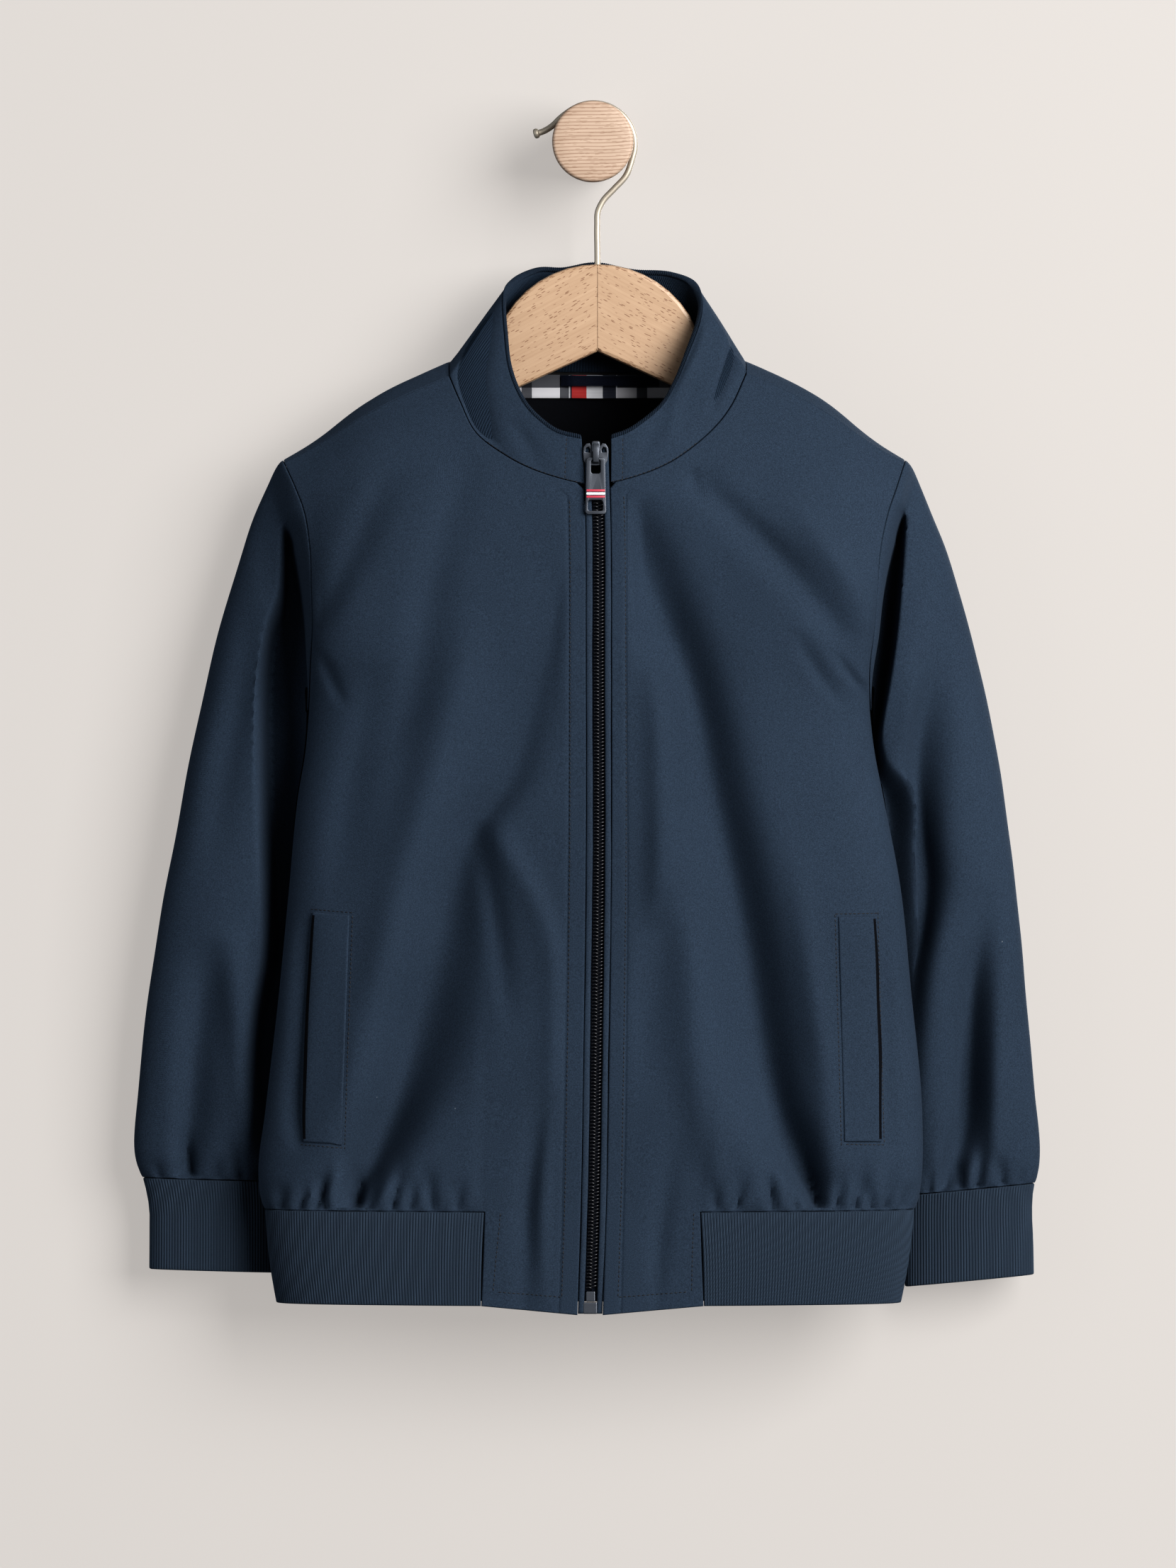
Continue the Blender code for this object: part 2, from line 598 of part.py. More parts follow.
class Sheet:
    """Points of a cloth's outer side with their normals, in rows that are joined by faces."""

    def __init__(self):
        self.at, self.out, self.faces = [], [], []

    def row(self, at, out):
        first = len(self.at)
        self.at.extend(np.reshape(at, (-1, 3)))
        self.out.extend(np.reshape(out, (-1, 3)))
        return list(range(first, len(self.at)))

    def join(self, low, high, closed=False):
        """Faces between two rows; one of them may have twice as many gaps as the other."""
        if closed:
            low, high = low + low[:1], high + high[:1]
        if len(low) == len(high):
            for i in range(len(low) - 1):
                self.faces.append((low[i], low[i + 1], high[i + 1]))
                self.faces.append((low[i], high[i + 1], high[i]))
            return
        if len(low) > len(high):
            low, high = high, low
        for i in range(len(low) - 1):
            a, b = low[i], low[i + 1]
            c, d, e = high[2 * i : 2 * i + 3]
            self.faces += [(a, d, c), (a, b, d), (b, e, d)]

    def join_all(self, rows, closed=False):
        for low, high in zip(rows, rows[1:]):
            self.join(low, high, closed)

    def wall(self, thick):
        """Closed mesh of this sheet, the sheet moved in by its thickness, and the rims."""
        out = np.array(self.at)
        inside = out - unit(np.array(self.out)) * thick
        count = len(out)
        mesh = bmesh.new()
        verts = [mesh.verts.new(tuple(p * MM)) for p in np.concatenate([out, inside])]
        rims = {}
        for face in self.faces:
            mesh.faces.new([verts[i] for i in face])
            mesh.faces.new([verts[i + count] for i in reversed(face)])
            for a, b in zip(face, face[1:] + face[:1]):
                key = (min(a, b), max(a, b))
                rims[key] = None if key in rims else (a, b)
        for a, b in filter(None, rims.values()):
            mesh.faces.new([verts[b], verts[a], verts[a + count], verts[b + count]])
        bmesh.ops.recalc_face_normals(mesh, faces=mesh.faces[:])
        return mesh


# ---------------------------------------------------------------- scene helpers


def clear_scene():
    for thing in list(bpy.data.objects):
        bpy.data.objects.remove(thing, do_unlink=True)


def group(name):
    made = bpy.data.collections.new(name)
    bpy.context.scene.collection.children.link(made)
    return made


def finish_of(name, colour, roughness, metallic=0.0):
    """A Principled material, made once for each name."""
    made = bpy.data.materials.get(name)
    if made is None:
        made = bpy.data.materials.new(name)
        made.use_nodes = True
        shader = made.node_tree.nodes["Principled BSDF"]
        shader.inputs["Base Color"].default_value = (*colour, 1.0)
        shader.inputs["Roughness"].default_value = roughness
        shader.inputs["Metallic"].default_value = metallic
    return made


def shell_cloth():
    return finish_of("navy_twill", (0.012, 0.016, 0.040), 0.75)


def rib_knit():
    return finish_of("navy_rib", (0.014, 0.018, 0.045), 0.85)


def tape_cloth():
    return finish_of("navy_tape", (0.016, 0.020, 0.050), 0.8)


def zip_metal():
    return finish_of("zip_metal", (0.35, 0.35, 0.36), 0.35, 0.9)


def place(name, data, material, angle=40):
    """A named object of a mesh or a curve, in the jacket's collection."""
    made = bpy.data.objects.new(name, data)
    PARTS.objects.link(made)
    data.materials.append(material)
    if isinstance(data, bpy.types.Mesh):
        data.shade_smooth()
        data.set_sharp_from_angle(angle=math.radians(angle))
    return made


def cloth(name, sheet, thick, material):
    mesh = bpy.data.meshes.new(name)
    made = sheet.wall(thick)
    made.to_mesh(mesh)
    made.free()
    return place(name, mesh, material)


# ---------------------------------------------------------------- fronts and back


def front_panel(side):
    """A front: a grid that is finer by the hem, with its own hem block under its first columns."""
    skin = body_skin("front", side)[0]
    sheet = Sheet()
    rows = []
    for t in FRONT_ROWS:
        f = FINE_SHARES if t < FINE_BELOW else SHARES
        t = np.full(len(f), t)
        rows.append(sheet.row(skin(t, f), body_normals("front", side, t, f)))
    sheet.join_all(rows)
    block = [rows[0][:BLOCK_COLUMNS]]
    f = FINE_SHARES[:BLOCK_COLUMNS]
    out = np.array(sheet.out)[block[0]] * (1, 1, 0)
    for down in BLOCK_ROWS:
        block.append(sheet.row(band("front", side, f, down), out))
    sheet.join_all(block)
    return cloth("front_" + side, sheet, CLOTH, shell_cloth())


def band(face, side, f, down):
    """The outer side of the hem band below the body; down is a share of its depth."""
    at = body_base(face, side, np.zeros(len(f)), f)
    narrow = np.full(len(f), NARROWED[side])
    deep = np.full(len(f), BAND_DEEP)
    if face == "front":
        narrow = np.interp(f, (0, BLOCK_SHARE, 1), (CENTRE_SLANT * SIDES[side], -BLOCK_FLARE, narrow[0]))
        deep = np.interp(f, (0, BLOCK_SHARE), (BLOCK_DEEP, BAND_DEEP))
    else:
        narrow = narrow * np.interp(f, (0, 0.3, 1), (0, 0.4, 1))
    at[:, 0] -= SIDES[side] * narrow * down
    at[:, 2] -= deep * down
    return at


def back_panel():
    """The back: both halves in one sheet, split at the neck where the seam leaves the middle."""
    skins = {side: body_skin("back", side)[0] for side in SIDES}
    sheet = Sheet()

    def half_row(side, t, f):
        t = np.full(len(f), t)
        return skins[side](t, f), body_normals("back", side, t, f)

    low = []
    for t in [t for t in BACK_ROWS if t <= NECK_T]:
        f = BACK_FINE_SHARES if t < FINE_BELOW else BACK_SHARES
        left, left_out = half_row("left", t, f[::-1])
        right, right_out = half_row("right", t, f[1:])
        low.append(sheet.row(np.vstack([left, right]), np.vstack([left_out, right_out])))
    sheet.join_all(low)
    middle = len(BACK_SHARES) - 1
    for side, first in (("left", low[-1][middle::-1]), ("right", low[-1][middle:])):
        rows = [first]
        for t in [t for t in BACK_ROWS if t > NECK_T]:
            rows.append(sheet.row(*half_row(side, t, BACK_SHARES)))
        sheet.join_all(rows)
    return cloth("back", sheet, CLOTH, shell_cloth())


def hem_rib():
    """The knitted band from one front's block, round the back, to the other's."""
    sheet = Sheet()
    rows = []
    for down in RIB_ROWS:
        at = [
            band("front", "left", RIB_SHARES, down),
            band("back", "left", BACK_SHARES[-2::-1], down),
            band("back", "right", BACK_SHARES[1:-1], down),
            band("front", "right", RIB_SHARES[::-1], down),
        ]
        out = [
            level_out("front", "left", RIB_SHARES),
            level_out("back", "left", BACK_SHARES[-2::-1]),
            level_out("back", "right", BACK_SHARES[1:-1]),
            level_out("front", "right", RIB_SHARES[::-1]),
        ]
        rows.append(sheet.row(np.vstack(at), np.vstack(out)))
    sheet.join_all(rows)
    return cloth("hem_rib", sheet, RIB, rib_knit())


def level_out(face, side, f):
    """Level normals of the body's smooth side at the hem."""

    def base(t, f):
        return body_base(face, side, t, f)

    sign = -SIDES[side] if face == "front" else SIDES[side]
    return unit(slopes(base, np.zeros(len(f)), f, sign) * (1, 1, 0))


# ---------------------------------------------------------------- collar

QUARTERS = (("front", "left"), ("back", "left"), ("back", "right"), ("front", "right"))
# The collar's top edge, from the left front round the back to the right front; swell is how far
# its outer side stands out between the seam and the edge.
COLLAR_TOP = table(
    "s x y z swell",
    (0.000, -6.2, -84.0, -160.3, 0.3),
    (0.045, -20.6, -82.0, -156.1, 0.8),
    (0.070, -27.6, -80.0, -151.0, 1.2),
    (0.120, -38.2, -74.0, -138.6, 2.0),
    (0.165, -44.8, -66.0, -121.5, 2.4),
    (0.205, -47.0, -58.0, -103.7, 2.0),
    (0.250, -48.0, -48.5, -82.5, 1.0),
    (0.295, -43.0, -38.0, -73.8, 0.0),
    (0.340, -32.5, -28.0, -68.4, 0.0),
    (0.405, -17.5, -22.0, -67.9, 0.8),
    (0.500, 2.5, -20.0, -65.2, 1.2),
    (0.580, 23.1, -22.0, -69.0, 0.8),
    (0.650, 43.6, -28.0, -70.6, 0.0),
    (0.700, 55.0, -37.0, -75.5, 0.0),
    (0.745, 58.5, -47.0, -84.5, 1.0),
    (0.790, 57.0, -55.0, -96.5, 2.0),
    (0.835, 51.0, -63.5, -113.2, 2.4),
    (0.880, 44.0, -71.0, -130.3, 2.0),
    (0.930, 34.0, -78.0, -145.5, 1.2),
    (0.955, 23.1, -81.5, -154.2, 0.8),
    (1.000, 9.8, -84.0, -160.3, 0.3),
)


def collar_columns():
    """Columns of the collar where the rows of the fronts and the back reach the neck seam."""
    front = [(t - NECK_T) / (1 - NECK_T) / 4 for t in FRONT_ROWS if NECK_T <= t < 0.999] + [0.25]
    back = [0.5 - (t - NECK_T) / (1 - NECK_T) / 4 for t in BACK_ROWS if NECK_T <= t < 0.999]
    left = np.array(front + back[::-1])
    return np.append(left, 1 - left[-2::-1])


COLLAR_COLUMNS = collar_columns()
COLLAR_ROWS = [0.0, 0.3, 0.65, 1.0]


def neck_seam(s):
    """The neck seam from the left front's edge (0) round the back (0.5) to the right's (1)."""
    quarter = np.clip((s * 4).astype(int), 0, 3)
    part = s * 4 - quarter
    at = np.zeros(np.shape(s) + (3,))
    for n, (face, side) in enumerate(QUARTERS):
        along = part if n in (0, 2) else 1 - part
        t = NECK_T + (1 - NECK_T) * along
        at = np.where((quarter == n)[..., None], inner_edge(face, side, t), at)
    return at


def collar_base(s, r):
    """The collar's outer side at s along the neck seam and r of its height."""
    s = np.clip(s, 0, 1)
    top = points(*(read(COLLAR_TOP, name, s) for name in "xyz"))
    foot = neck_seam(s)
    r = np.asarray(r)[..., None]
    at = foot + (top - foot) * r
    away = unit((at - points(2.5, -45.0, 0.0)) * (1, 1, 0))
    return at + away * read(COLLAR_TOP, "swell", s)[..., None] * 4 * r * (1 - r)


def collar_piece(name, inset, start, rise, thick, material):
    """One layer of the collar, moved in from the outer side and raised over its edge."""
    s = COLLAR_COLUMNS
    sheet = Sheet()
    rows = []
    for r in COLLAR_ROWS:
        r = np.full(len(s), r)
        out = slopes(lambda b, a: collar_base(a, b), r, s, 1.0)
        long = np.linalg.norm(collar_base(s, r * 0 + 1) - collar_base(s, r * 0), axis=1)
        low, high = start / long, 1 + rise / long
        at = collar_base(s, low + (high - low) * r) - out * inset
        rows.append(sheet.row(at, out))
    sheet.join_all(rows)
    return cloth(name, sheet, thick, material)


# ---------------------------------------------------------------- sleeves and cuffs


def row_shares(front_rows, back_rows):
    """Where the rows of the front and the back meet the armhole, as shares u of the ring."""
    front = [(t - ARM_T) / (1 - ARM_T) / 2 for t in front_rows if t >= ARM_T]
    back = [1 - (t - ARM_T) / (1 - ARM_T) / 2 for t in back_rows if ARM_T < t < 0.999]
    return np.array(front[:-1] + [0.5] + back[::-1])


def sleeve(side):
    skin, sign = sleeve_skin(side)
    coarse = row_shares(FRONT_ROWS, BACK_ROWS)
    after = np.append(coarse[1:], 1.0)
    fine = np.stack([coarse, (coarse + after) / 2], axis=1).ravel()
    sheet = Sheet()
    rows = []
    for v in SLEEVE_ROWS:
        u = fine if v >= FINE_FROM else coarse
        v = np.full(len(u), v)
        rows.append(sheet.row(skin(v, u), slopes(skin, v, u, sign, True)))
    sheet.join_all(rows, closed=True)
    return cloth("sleeve_" + side, sheet, CLOTH, shell_cloth())


def cuff(side):
    """The cuff: the sleeve's last ring carried down, wider at first and level below."""
    u = np.arange(CUFF_COLUMNS) / CUFF_COLUMNS
    end = sleeve_base(side, np.ones(len(u)), u)
    out = slopes(lambda v, u: sleeve_base(side, v, u), np.ones(len(u)), u, SIDES[side], True)
    out = unit(out * (1, 1, 0))
    share = (1 - np.cos(2 * np.pi * u)) / 2
    sheet = Sheet()
    rows = []
    for down in CUFF_ROWS:
        move = points(read(CUFF, side, down) * share, 0.0, -down)
        rows.append(sheet.row(end + move, out))
    sheet.join_all(rows, closed=True)
    return cloth("cuff_" + side, sheet, RIB, rib_knit())


# ---------------------------------------------------------------- what lies on a panel

# corners in x and z: low outer, low inner, high inner, high outer
WELTS = {
    "left": ((-155.9, -538.0), (-135.0, -539.9), (-131.2, -416.4), (-149.8, -415.3)),
    "right": ((155.7, -539.1), (135.2, -538.4), (132.1, -417.2), (152.6, -417.2)),
}
ON_PANEL = 0.6  # gap that clears the panel's own facets
FACING_X = np.linspace(-46.0, 43.0, 11)
FACING_FOOT = -137.5
LABEL_X = np.linspace(-13.0, 6.0, 4)
LOOP_X = -17.6 + 53.2 * np.array([0.0, 0.03, 0.07, 0.12, 0.25, 0.4, 0.55, 0.7, 0.82, 0.9, 0.95, 1.0])
LOOP_OFF = np.array([0.0, 0.4, 1.6, 2.6, 3.2, 3.4, 3.3, 2.9, 2.2, 1.2, 0.4, 0.0])


def find_on(face, side, x, z):
    """The row t and share f of the panel's point that is at x, z."""
    t, f = np.meshgrid(np.linspace(0, 1, 60), np.linspace(0, 1, 40), indexing="ij")
    near = body_base(face, side, t, f)
    away = (near[..., 0].ravel() - x[:, None]) ** 2 + (near[..., 2].ravel() - z[:, None]) ** 2
    best = away.argmin(axis=1)
    t, f = t.ravel()[best], f.ravel()[best]
    d = 1e-4
    for _ in range(8):
        p = body_base(face, side, t, f)
        by_t = (body_base(face, side, t + d, f) - p) / d
        by_f = (body_base(face, side, t, f + d) - p) / d
        dx, dz = x - p[:, 0], z - p[:, 2]
        area = by_t[:, 0] * by_f[:, 2] - by_t[:, 2] * by_f[:, 0]
        t = np.clip(t + (dx * by_f[:, 2] - dz * by_f[:, 0]) / area, 0, 0.999)
        f = np.clip(f + (dz * by_t[:, 0] - dx * by_t[:, 2]) / area, 0, 0.999)
    return t, f


def panel_points(face, x, z):
    """Points and normals of a panel at x, z, each from the half that it is on."""
    at, out = np.zeros((len(x), 3)), np.zeros((len(x), 3))
    middle = read(CENTRE_FRONT if face == "front" else CENTRE_BACK, "x", z)
    for side in SIDES:
        mine = (x < middle) == (side == "left")
        if mine.any():
            t, f = find_on(face, side, x[mine], z[mine])
            at[mine] = body_base(face, side, t, f)
            out[mine] = body_normals(face, side, t, f)
    return at, out


def lay_on(name, carrier, face, across, x, z, gap, thick, material):
    """A flat piece at x, z (rows of columns) with a gap to its carrier's mesh.

    It is on the panel's outside where across is 1 and on its inside where across is -1.
    """
    at, out = panel_points(face, x.ravel(), z.ravel())
    out = out * across
    mesh = carrier.data
    tree = BVHTree.FromPolygons(
        [vert.co for vert in mesh.vertices], [tuple(face.vertices) for face in mesh.polygons]
    )
    away = np.broadcast_to(gap, x.shape).ravel() + thick
    for n, way in enumerate(map(Vector, out)):
        hit = tree.ray_cast(Vector(at[n]) * MM + way * 20 * MM, -way)[0]
        at[n] = np.array(hit) / MM + out[n] * away[n]
    sheet = Sheet()
    shape = x.shape + (3,)
    sheet.join_all([sheet.row(p, n) for p, n in zip(at.reshape(shape), out.reshape(shape))])
    return cloth(name, sheet, thick, material)


def between(corners, columns, rows):
    """x and z of a grid between four corners."""
    low_out, low_in, high_in, high_out = np.array(corners)
    j = np.linspace(0, 1, rows)[:, None, None]
    i = np.linspace(0, 1, columns)[None, :, None]
    at = (low_out * (1 - j) + high_out * j) * (1 - i) + (low_in * (1 - j) + high_in * j) * i
    return at[..., 0], at[..., 1]


def welt(side, carrier):
    x, z = between(WELTS[side], 4, 12)
    lay_on("pocket_welt_" + side, carrier, "front", 1, x, z, ON_PANEL, CLOTH, shell_cloth())


def neck_line(x):
    """Height of the back's neck seam over x."""
    seam_x = np.append(NECK_BACK["left"][4::-1], NECK_BACK["right"][1:5])
    seam_z = np.append(NECK_BACK["z_left"][4::-1], NECK_BACK["z_right"][1:5])
    return np.interp(x, seam_x, seam_z)


def neck_trim(back):
    """The check facing, from the neck seam to a straight edge, with the label and the loop on it."""
    x, share = np.meshgrid(FACING_X, (0.0, 0.5, 1.0))
    top = neck_line(x) - 1.2
    check = finish_of("check_cotton", (0.30, 0.30, 0.32), 0.85)
    z = top + (FACING_FOOT - top) * share
    facing = lay_on("neck_facing", back, "back", -1, x, z, ON_PANEL, TRIM, check)
    x, z = np.meshgrid(LABEL_X, (-124.6, -137.0))
    satin = finish_of("label_satin", (0.30, 0.05, 0.06), 0.5)
    lay_on("neck_label", facing, "back", -1, x, z, SEAM_GAP, LABEL, satin)
    x, z = np.meshgrid(LOOP_X, (-124.6, -131.0))
    lay_on("hanging_loop", facing, "back", -1, x, z, SEAM_GAP + LOOP_OFF, TRIM, tape_cloth())


# ---------------------------------------------------------------- sizes of the hard pieces

ZIP_STATION = 34.0
ZIP_TOP = -174.7
TAPE_TOP = -186.5
CHAIN_FOOT = -618.0
EDGE_FOOT = -623.8
TAPE_WIDE = 14.0
PULL_OUT = 2.9  # how far the pull's axis is in front of the cloth
PULL_AXIS = (1.7, -84.4 - PULL_OUT, -171.8)
PULL_THICK = 1.2
SLIDER_FRONT, SLIDER_BACK = -1.5, 2.3
# outlines in X and Z from the pull's axis
SLIDER_OUTLINE = [
    (-4.6, -2.3),
    (4.6, -2.3),
    (6.2, 4.0),
    (5.6, 9.6),
    (2.2, 10.2),
    (-2.2, 10.2),
    (-5.6, 9.6),
    (-6.2, 4.0),
]
BRIDGE_WIDE = 3.0
BRIDGE_OUTLINE = [(-0.9, 9.2), (-4.2, 8.4), (-4.9, 7.4), (-4.9, -1.4), (-4.4, -2.0), (-0.9, -2.0)]
BRIDGE_HOLE = [(-1.8, 8.0), (-3.6, 7.4), (-3.9, 6.8), (-3.9, -0.95), (-1.8, -0.95)]
HANGER_X = 2.5
BOARD_Y = -37.0
BOARD_THICK = 12.0
BOARD_EDGE = 2.0
MITRE_GAP = 0.3
ARCH_Z = -124.2
ARCH_RADIUS = 58.5
ARCH_SWEEP = 66.0
# from the arch's end along the arm's top, round its tip and back along its underside
ARM_OUTLINE = [
    (58.0, -110.3),
    (64.0, -115.6),
    (98.0, -134.4),
    (126.0, -150.6),
    (132.0, -156.4),
    (133.6, -161.2),
    (132.4, -165.8),
    (129.0, -168.0),
    (124.0, -166.2),
    (92.3, -152.4),
    (43.3, -132.5),
]
ARM_NOTCH_Z = -112.8
WIRE = 3.3
BUTTON = 5.4  # across the wire's upset tip
SHANK_FOOT = -77.5
HOLE_RADIUS = WIRE / 2 + 0.3
HOLE_DEEP = 24.0
HOOK_POINTS = 40
HOOK_X, HOOK_Z, HOOK_RADIUS = 0.5, -0.85, 22.15
HOOK_SHANK = [
    (2.5, -77.5),
    (2.5, -60.0),
    (2.4, -44.0),
    (2.7, -37.5),
    (5.4, -31.6),
    (11.4, -25.0),
    (18.0, -17.6),
]
HOOK_TIP = [(-17.4, 13.4), (-22.0, 9.0), (-26.6, 6.2), (-32.0, 4.6)]
# radius and height of the peg's outline, from the middle of its head to its flat back
PEG = [
    (0, 55),
    (20.6, 55),
    (21.6, 54.4),
    (21.9, 53.3),
    (21.9, 48.5),
    (21.2, 46.8),
    (19.6, 45.6),
    (19.2, 44.6),
    (19.2, 0),
    (0, 0),
]

# ---------------------------------------------------------------- zip


def chamfered(x0, x1, y0, y1, cut):
    """Corners of a section with cut corners, round from the first."""
    return [
        (x0 + cut, y0),
        (x1 - cut, y0),
        (x1, y0 + cut),
        (x1, y1 - cut),
        (x1 - cut, y1),
        (x0 + cut, y1),
        (x0, y1 - cut),
        (x0, y0 + cut),
    ]


def along_zip(name, z_top, z_bottom, section, material):
    """A section carried down the zip's line; x is from its middle and y from the cloth's face."""
    mesh = bmesh.new()
    rings = []
    count = int((z_top - z_bottom) / ZIP_STATION) + 2
    for z in np.linspace(z_top, z_bottom, count):
        x, y = read(CENTRE_FRONT, "x", z), read(CENTRE_FRONT, "y", z)
        rings.append([mesh.verts.new(((x + dx) * MM, (y + dy) * MM, z * MM)) for dx, dy in section])
    for high, low in zip(rings, rings[1:]):
        for i in range(len(section)):
            j = (i + 1) % len(section)
            mesh.faces.new((high[i], high[j], low[j], low[i]))
    mesh.faces.new(rings[0])
    mesh.faces.new(rings[-1])
    bmesh.ops.recalc_face_normals(mesh, faces=mesh.faces[:])
    data = bpy.data.meshes.new(name)
    mesh.to_mesh(data)
    mesh.free()
    return place(name, data, material)


def rounded(x0, x1, z0, z1, radius, steps=3):
    """Outline of a rectangle with round corners."""
    corners = ((x1, z1, 0), (x0, z1, 90), (x0, z0, 180), (x1, z0, 270))
    outline = []
    for x, z, first in corners:
        cx = x - radius if x == x1 else x + radius
        cz = z - radius if z == z1 else z + radius
        for n in range(steps + 1):
            angle = math.radians(first + 90 * n / steps)
            outline.append((cx + radius * math.cos(angle), cz + radius * math.sin(angle)))
    return outline


def plate_mesh(name, outlines, thick):
    """Closed mesh of flat outlines in X and Z, whose holes are outlines inside the first."""
    curve = bpy.data.curves.new(name, "CURVE")
    curve.dimensions = "2D"
    curve.fill_mode = "BOTH"
    curve.extrude = thick / 2 * MM
    for outline in outlines:
        spline = curve.splines.new("POLY")
        spline.points.add(len(outline) - 1)
        for point, (x, z) in zip(spline.points, outline):
            point.co = (x * MM, z * MM, 0, 1)
        spline.use_cyclic_u = True
    flat = bpy.data.objects.new(name, curve)
    PARTS.objects.link(flat)
    depsgraph = bpy.context.evaluated_depsgraph_get()
    data = bpy.data.meshes.new_from_object(flat.evaluated_get(depsgraph))
    bpy.data.objects.remove(flat, do_unlink=True)
    mesh = bmesh.new()
    mesh.from_mesh(data)
    bmesh.ops.remove_doubles(mesh, verts=mesh.verts[:], dist=1e-6)
    for vert in mesh.verts:
        vert.co = (vert.co.x, vert.co.z, vert.co.y)
    bmesh.ops.recalc_face_normals(mesh, faces=mesh.faces[:])
    mesh.to_mesh(data)
    mesh.free()
    return data


def soften(made, width, segments=2):
    """Rounded edges."""
    bevel = made.modifiers.new("edges", "BEVEL")
    bevel.width = width * MM
    bevel.segments = segments
    bevel.limit_method = "ANGLE"
    bevel.angle_limit = math.radians(50)
    return made


def block(name, low, high, material, edge):
    """A box between two corners, with rounded edges."""
    low, high = np.array(low), np.array(high)
    mesh = bmesh.new()
    bmesh.ops.create_cube(mesh, size=1.0)
    bmesh.ops.scale(mesh, verts=mesh.verts[:], vec=tuple((high - low) * MM))
    data = bpy.data.meshes.new(name)
    mesh.to_mesh(data)
    mesh.free()
    made = place(name, data, material)
    made.location = tuple((low + high) / 2 * MM)
    return soften(made, edge)


def zip_slider():
    """The slider's body with the bridge that the pull tab hangs from."""
    x, y = PULL_AXIS[0], PULL_AXIS[1] + PULL_OUT
    body = plate_mesh("zip_slider", [SLIDER_OUTLINE], SLIDER_BACK - SLIDER_FRONT)
    made = place("zip_slider", body, zip_metal())
    made.location = (x * MM, (y + (SLIDER_FRONT + SLIDER_BACK) / 2) * MM, PULL_AXIS[2] * MM)
    bridge = plate_mesh("bridge", [BRIDGE_OUTLINE, BRIDGE_HOLE], BRIDGE_WIDE)
    joined = bpy.data.objects.new("bridge", bridge)
    CUTTERS.objects.link(joined)
    joined.rotation_euler = (0, 0, math.radians(90))
    joined.location = (x * MM, y * MM, PULL_AXIS[2] * MM)
    hide(joined)
    union = made.modifiers.new("bridge", "BOOLEAN")
    union.operation = "UNION"
    union.object = joined


def hide(helper):
    helper.hide_render = True
    helper.display_type = "WIRE"


def zip_pull():
    """The pull tab, whose top bar is its hinge: its origin is on that axis."""
    tab = rounded(-5.5, 5.5, -29.7, 0.6, 2.2)
    slot = rounded(-2.5, 2.5, -7.2, -0.6, 0.8)
    window = rounded(-4.0, 4.0, -27.6, -21.9, 1.2)
    made = place("zip_pull", plate_mesh("zip_pull", [tab, slot, window], PULL_THICK), zip_metal())
    made.location = tuple(value * MM for value in PULL_AXIS)


def zip_parts():
    for side, sign in SIDES.items():
        edge = [(sign * x, y) for x, y in chamfered(3.3, 6.0, 0.3, 2.3, 0.7)]
        along_zip("zip_edge_" + side, ZIP_TOP, EDGE_FOOT, edge, shell_cloth())
        tape = [(sign * x, y) for x, y in ((0.4, 2.6), (TAPE_WIDE, 2.6), (TAPE_WIDE, 3.4), (0.4, 3.4))]
        along_zip("zip_tape_" + side, TAPE_TOP, CHAIN_FOOT, tape, tape_cloth())
    along_zip("zip_chain", ZIP_TOP, CHAIN_FOOT, chamfered(-3.0, 3.0, 0.2, 2.3, 0.6), tape_cloth())
    for name, high, low, half in (("zip_pin", -618.3, -623.9, 2.5), ("zip_box", -624.2, -630.4, 3.8)):
        x, y = read(CENTRE_FRONT, "x", low), read(CENTRE_FRONT, "y", low)
        block(name, (x - half, y - 0.4, low), (x + half, y + 2.6, high), zip_metal(), 0.6)
    zip_slider()
    zip_pull()


# ---------------------------------------------------------------- hanger and peg


def beech():
    return finish_of("beech", (0.52, 0.34, 0.19), 0.45)


def board_outline(sign):
    """A board's outline, from the mitre over the arch and the arm and back."""
    top = []
    for n in range(9):
        angle = math.radians(90 - ARCH_SWEEP * n / 8)
        top.append((ARCH_RADIUS * math.cos(angle), ARCH_Z + ARCH_RADIUS * math.sin(angle)))
    top[0] = (MITRE_GAP / 2, top[0][1])
    outline = top + ARM_OUTLINE + [(MITRE_GAP / 2, ARM_NOTCH_Z)]
    return [(HANGER_X + sign * x, z) for x, z in outline]


def hanger_arm(side):
    sign = SIDES[side]
    name = "hanger_arm_" + side
    data = plate_mesh(name, [board_outline(sign)], BOARD_THICK)
    mesh = bmesh.new()
    mesh.from_mesh(data)
    half = BOARD_THICK / 2 * MM * 0.99
    mitre = (abs(HANGER_X) + MITRE_GAP) * MM

    def rim(edge):
        a, b = (vert.co for vert in edge.verts)
        flat = len(edge.link_faces) == 2 and edge.calc_face_angle() > 1.0
        at_mitre = abs(a.x) < mitre and abs(b.x) < mitre
        return flat and not at_mitre and a.y * b.y > 0 and min(abs(a.y), abs(b.y)) > half

    rims = [edge for edge in mesh.edges if rim(edge)]
    bmesh.ops.bevel(mesh, geom=rims, offset=BOARD_EDGE * MM, segments=2, affect="EDGES", profile=0.5)
    mesh.to_mesh(data)
    mesh.free()
    made = place(name, data, beech())
    made.location = (0, BOARD_Y * MM, 0)
    cut = made.modifiers.new("shank", "BOOLEAN")
    cut.operation = "DIFFERENCE"
    cut.object = SHANK_HOLE


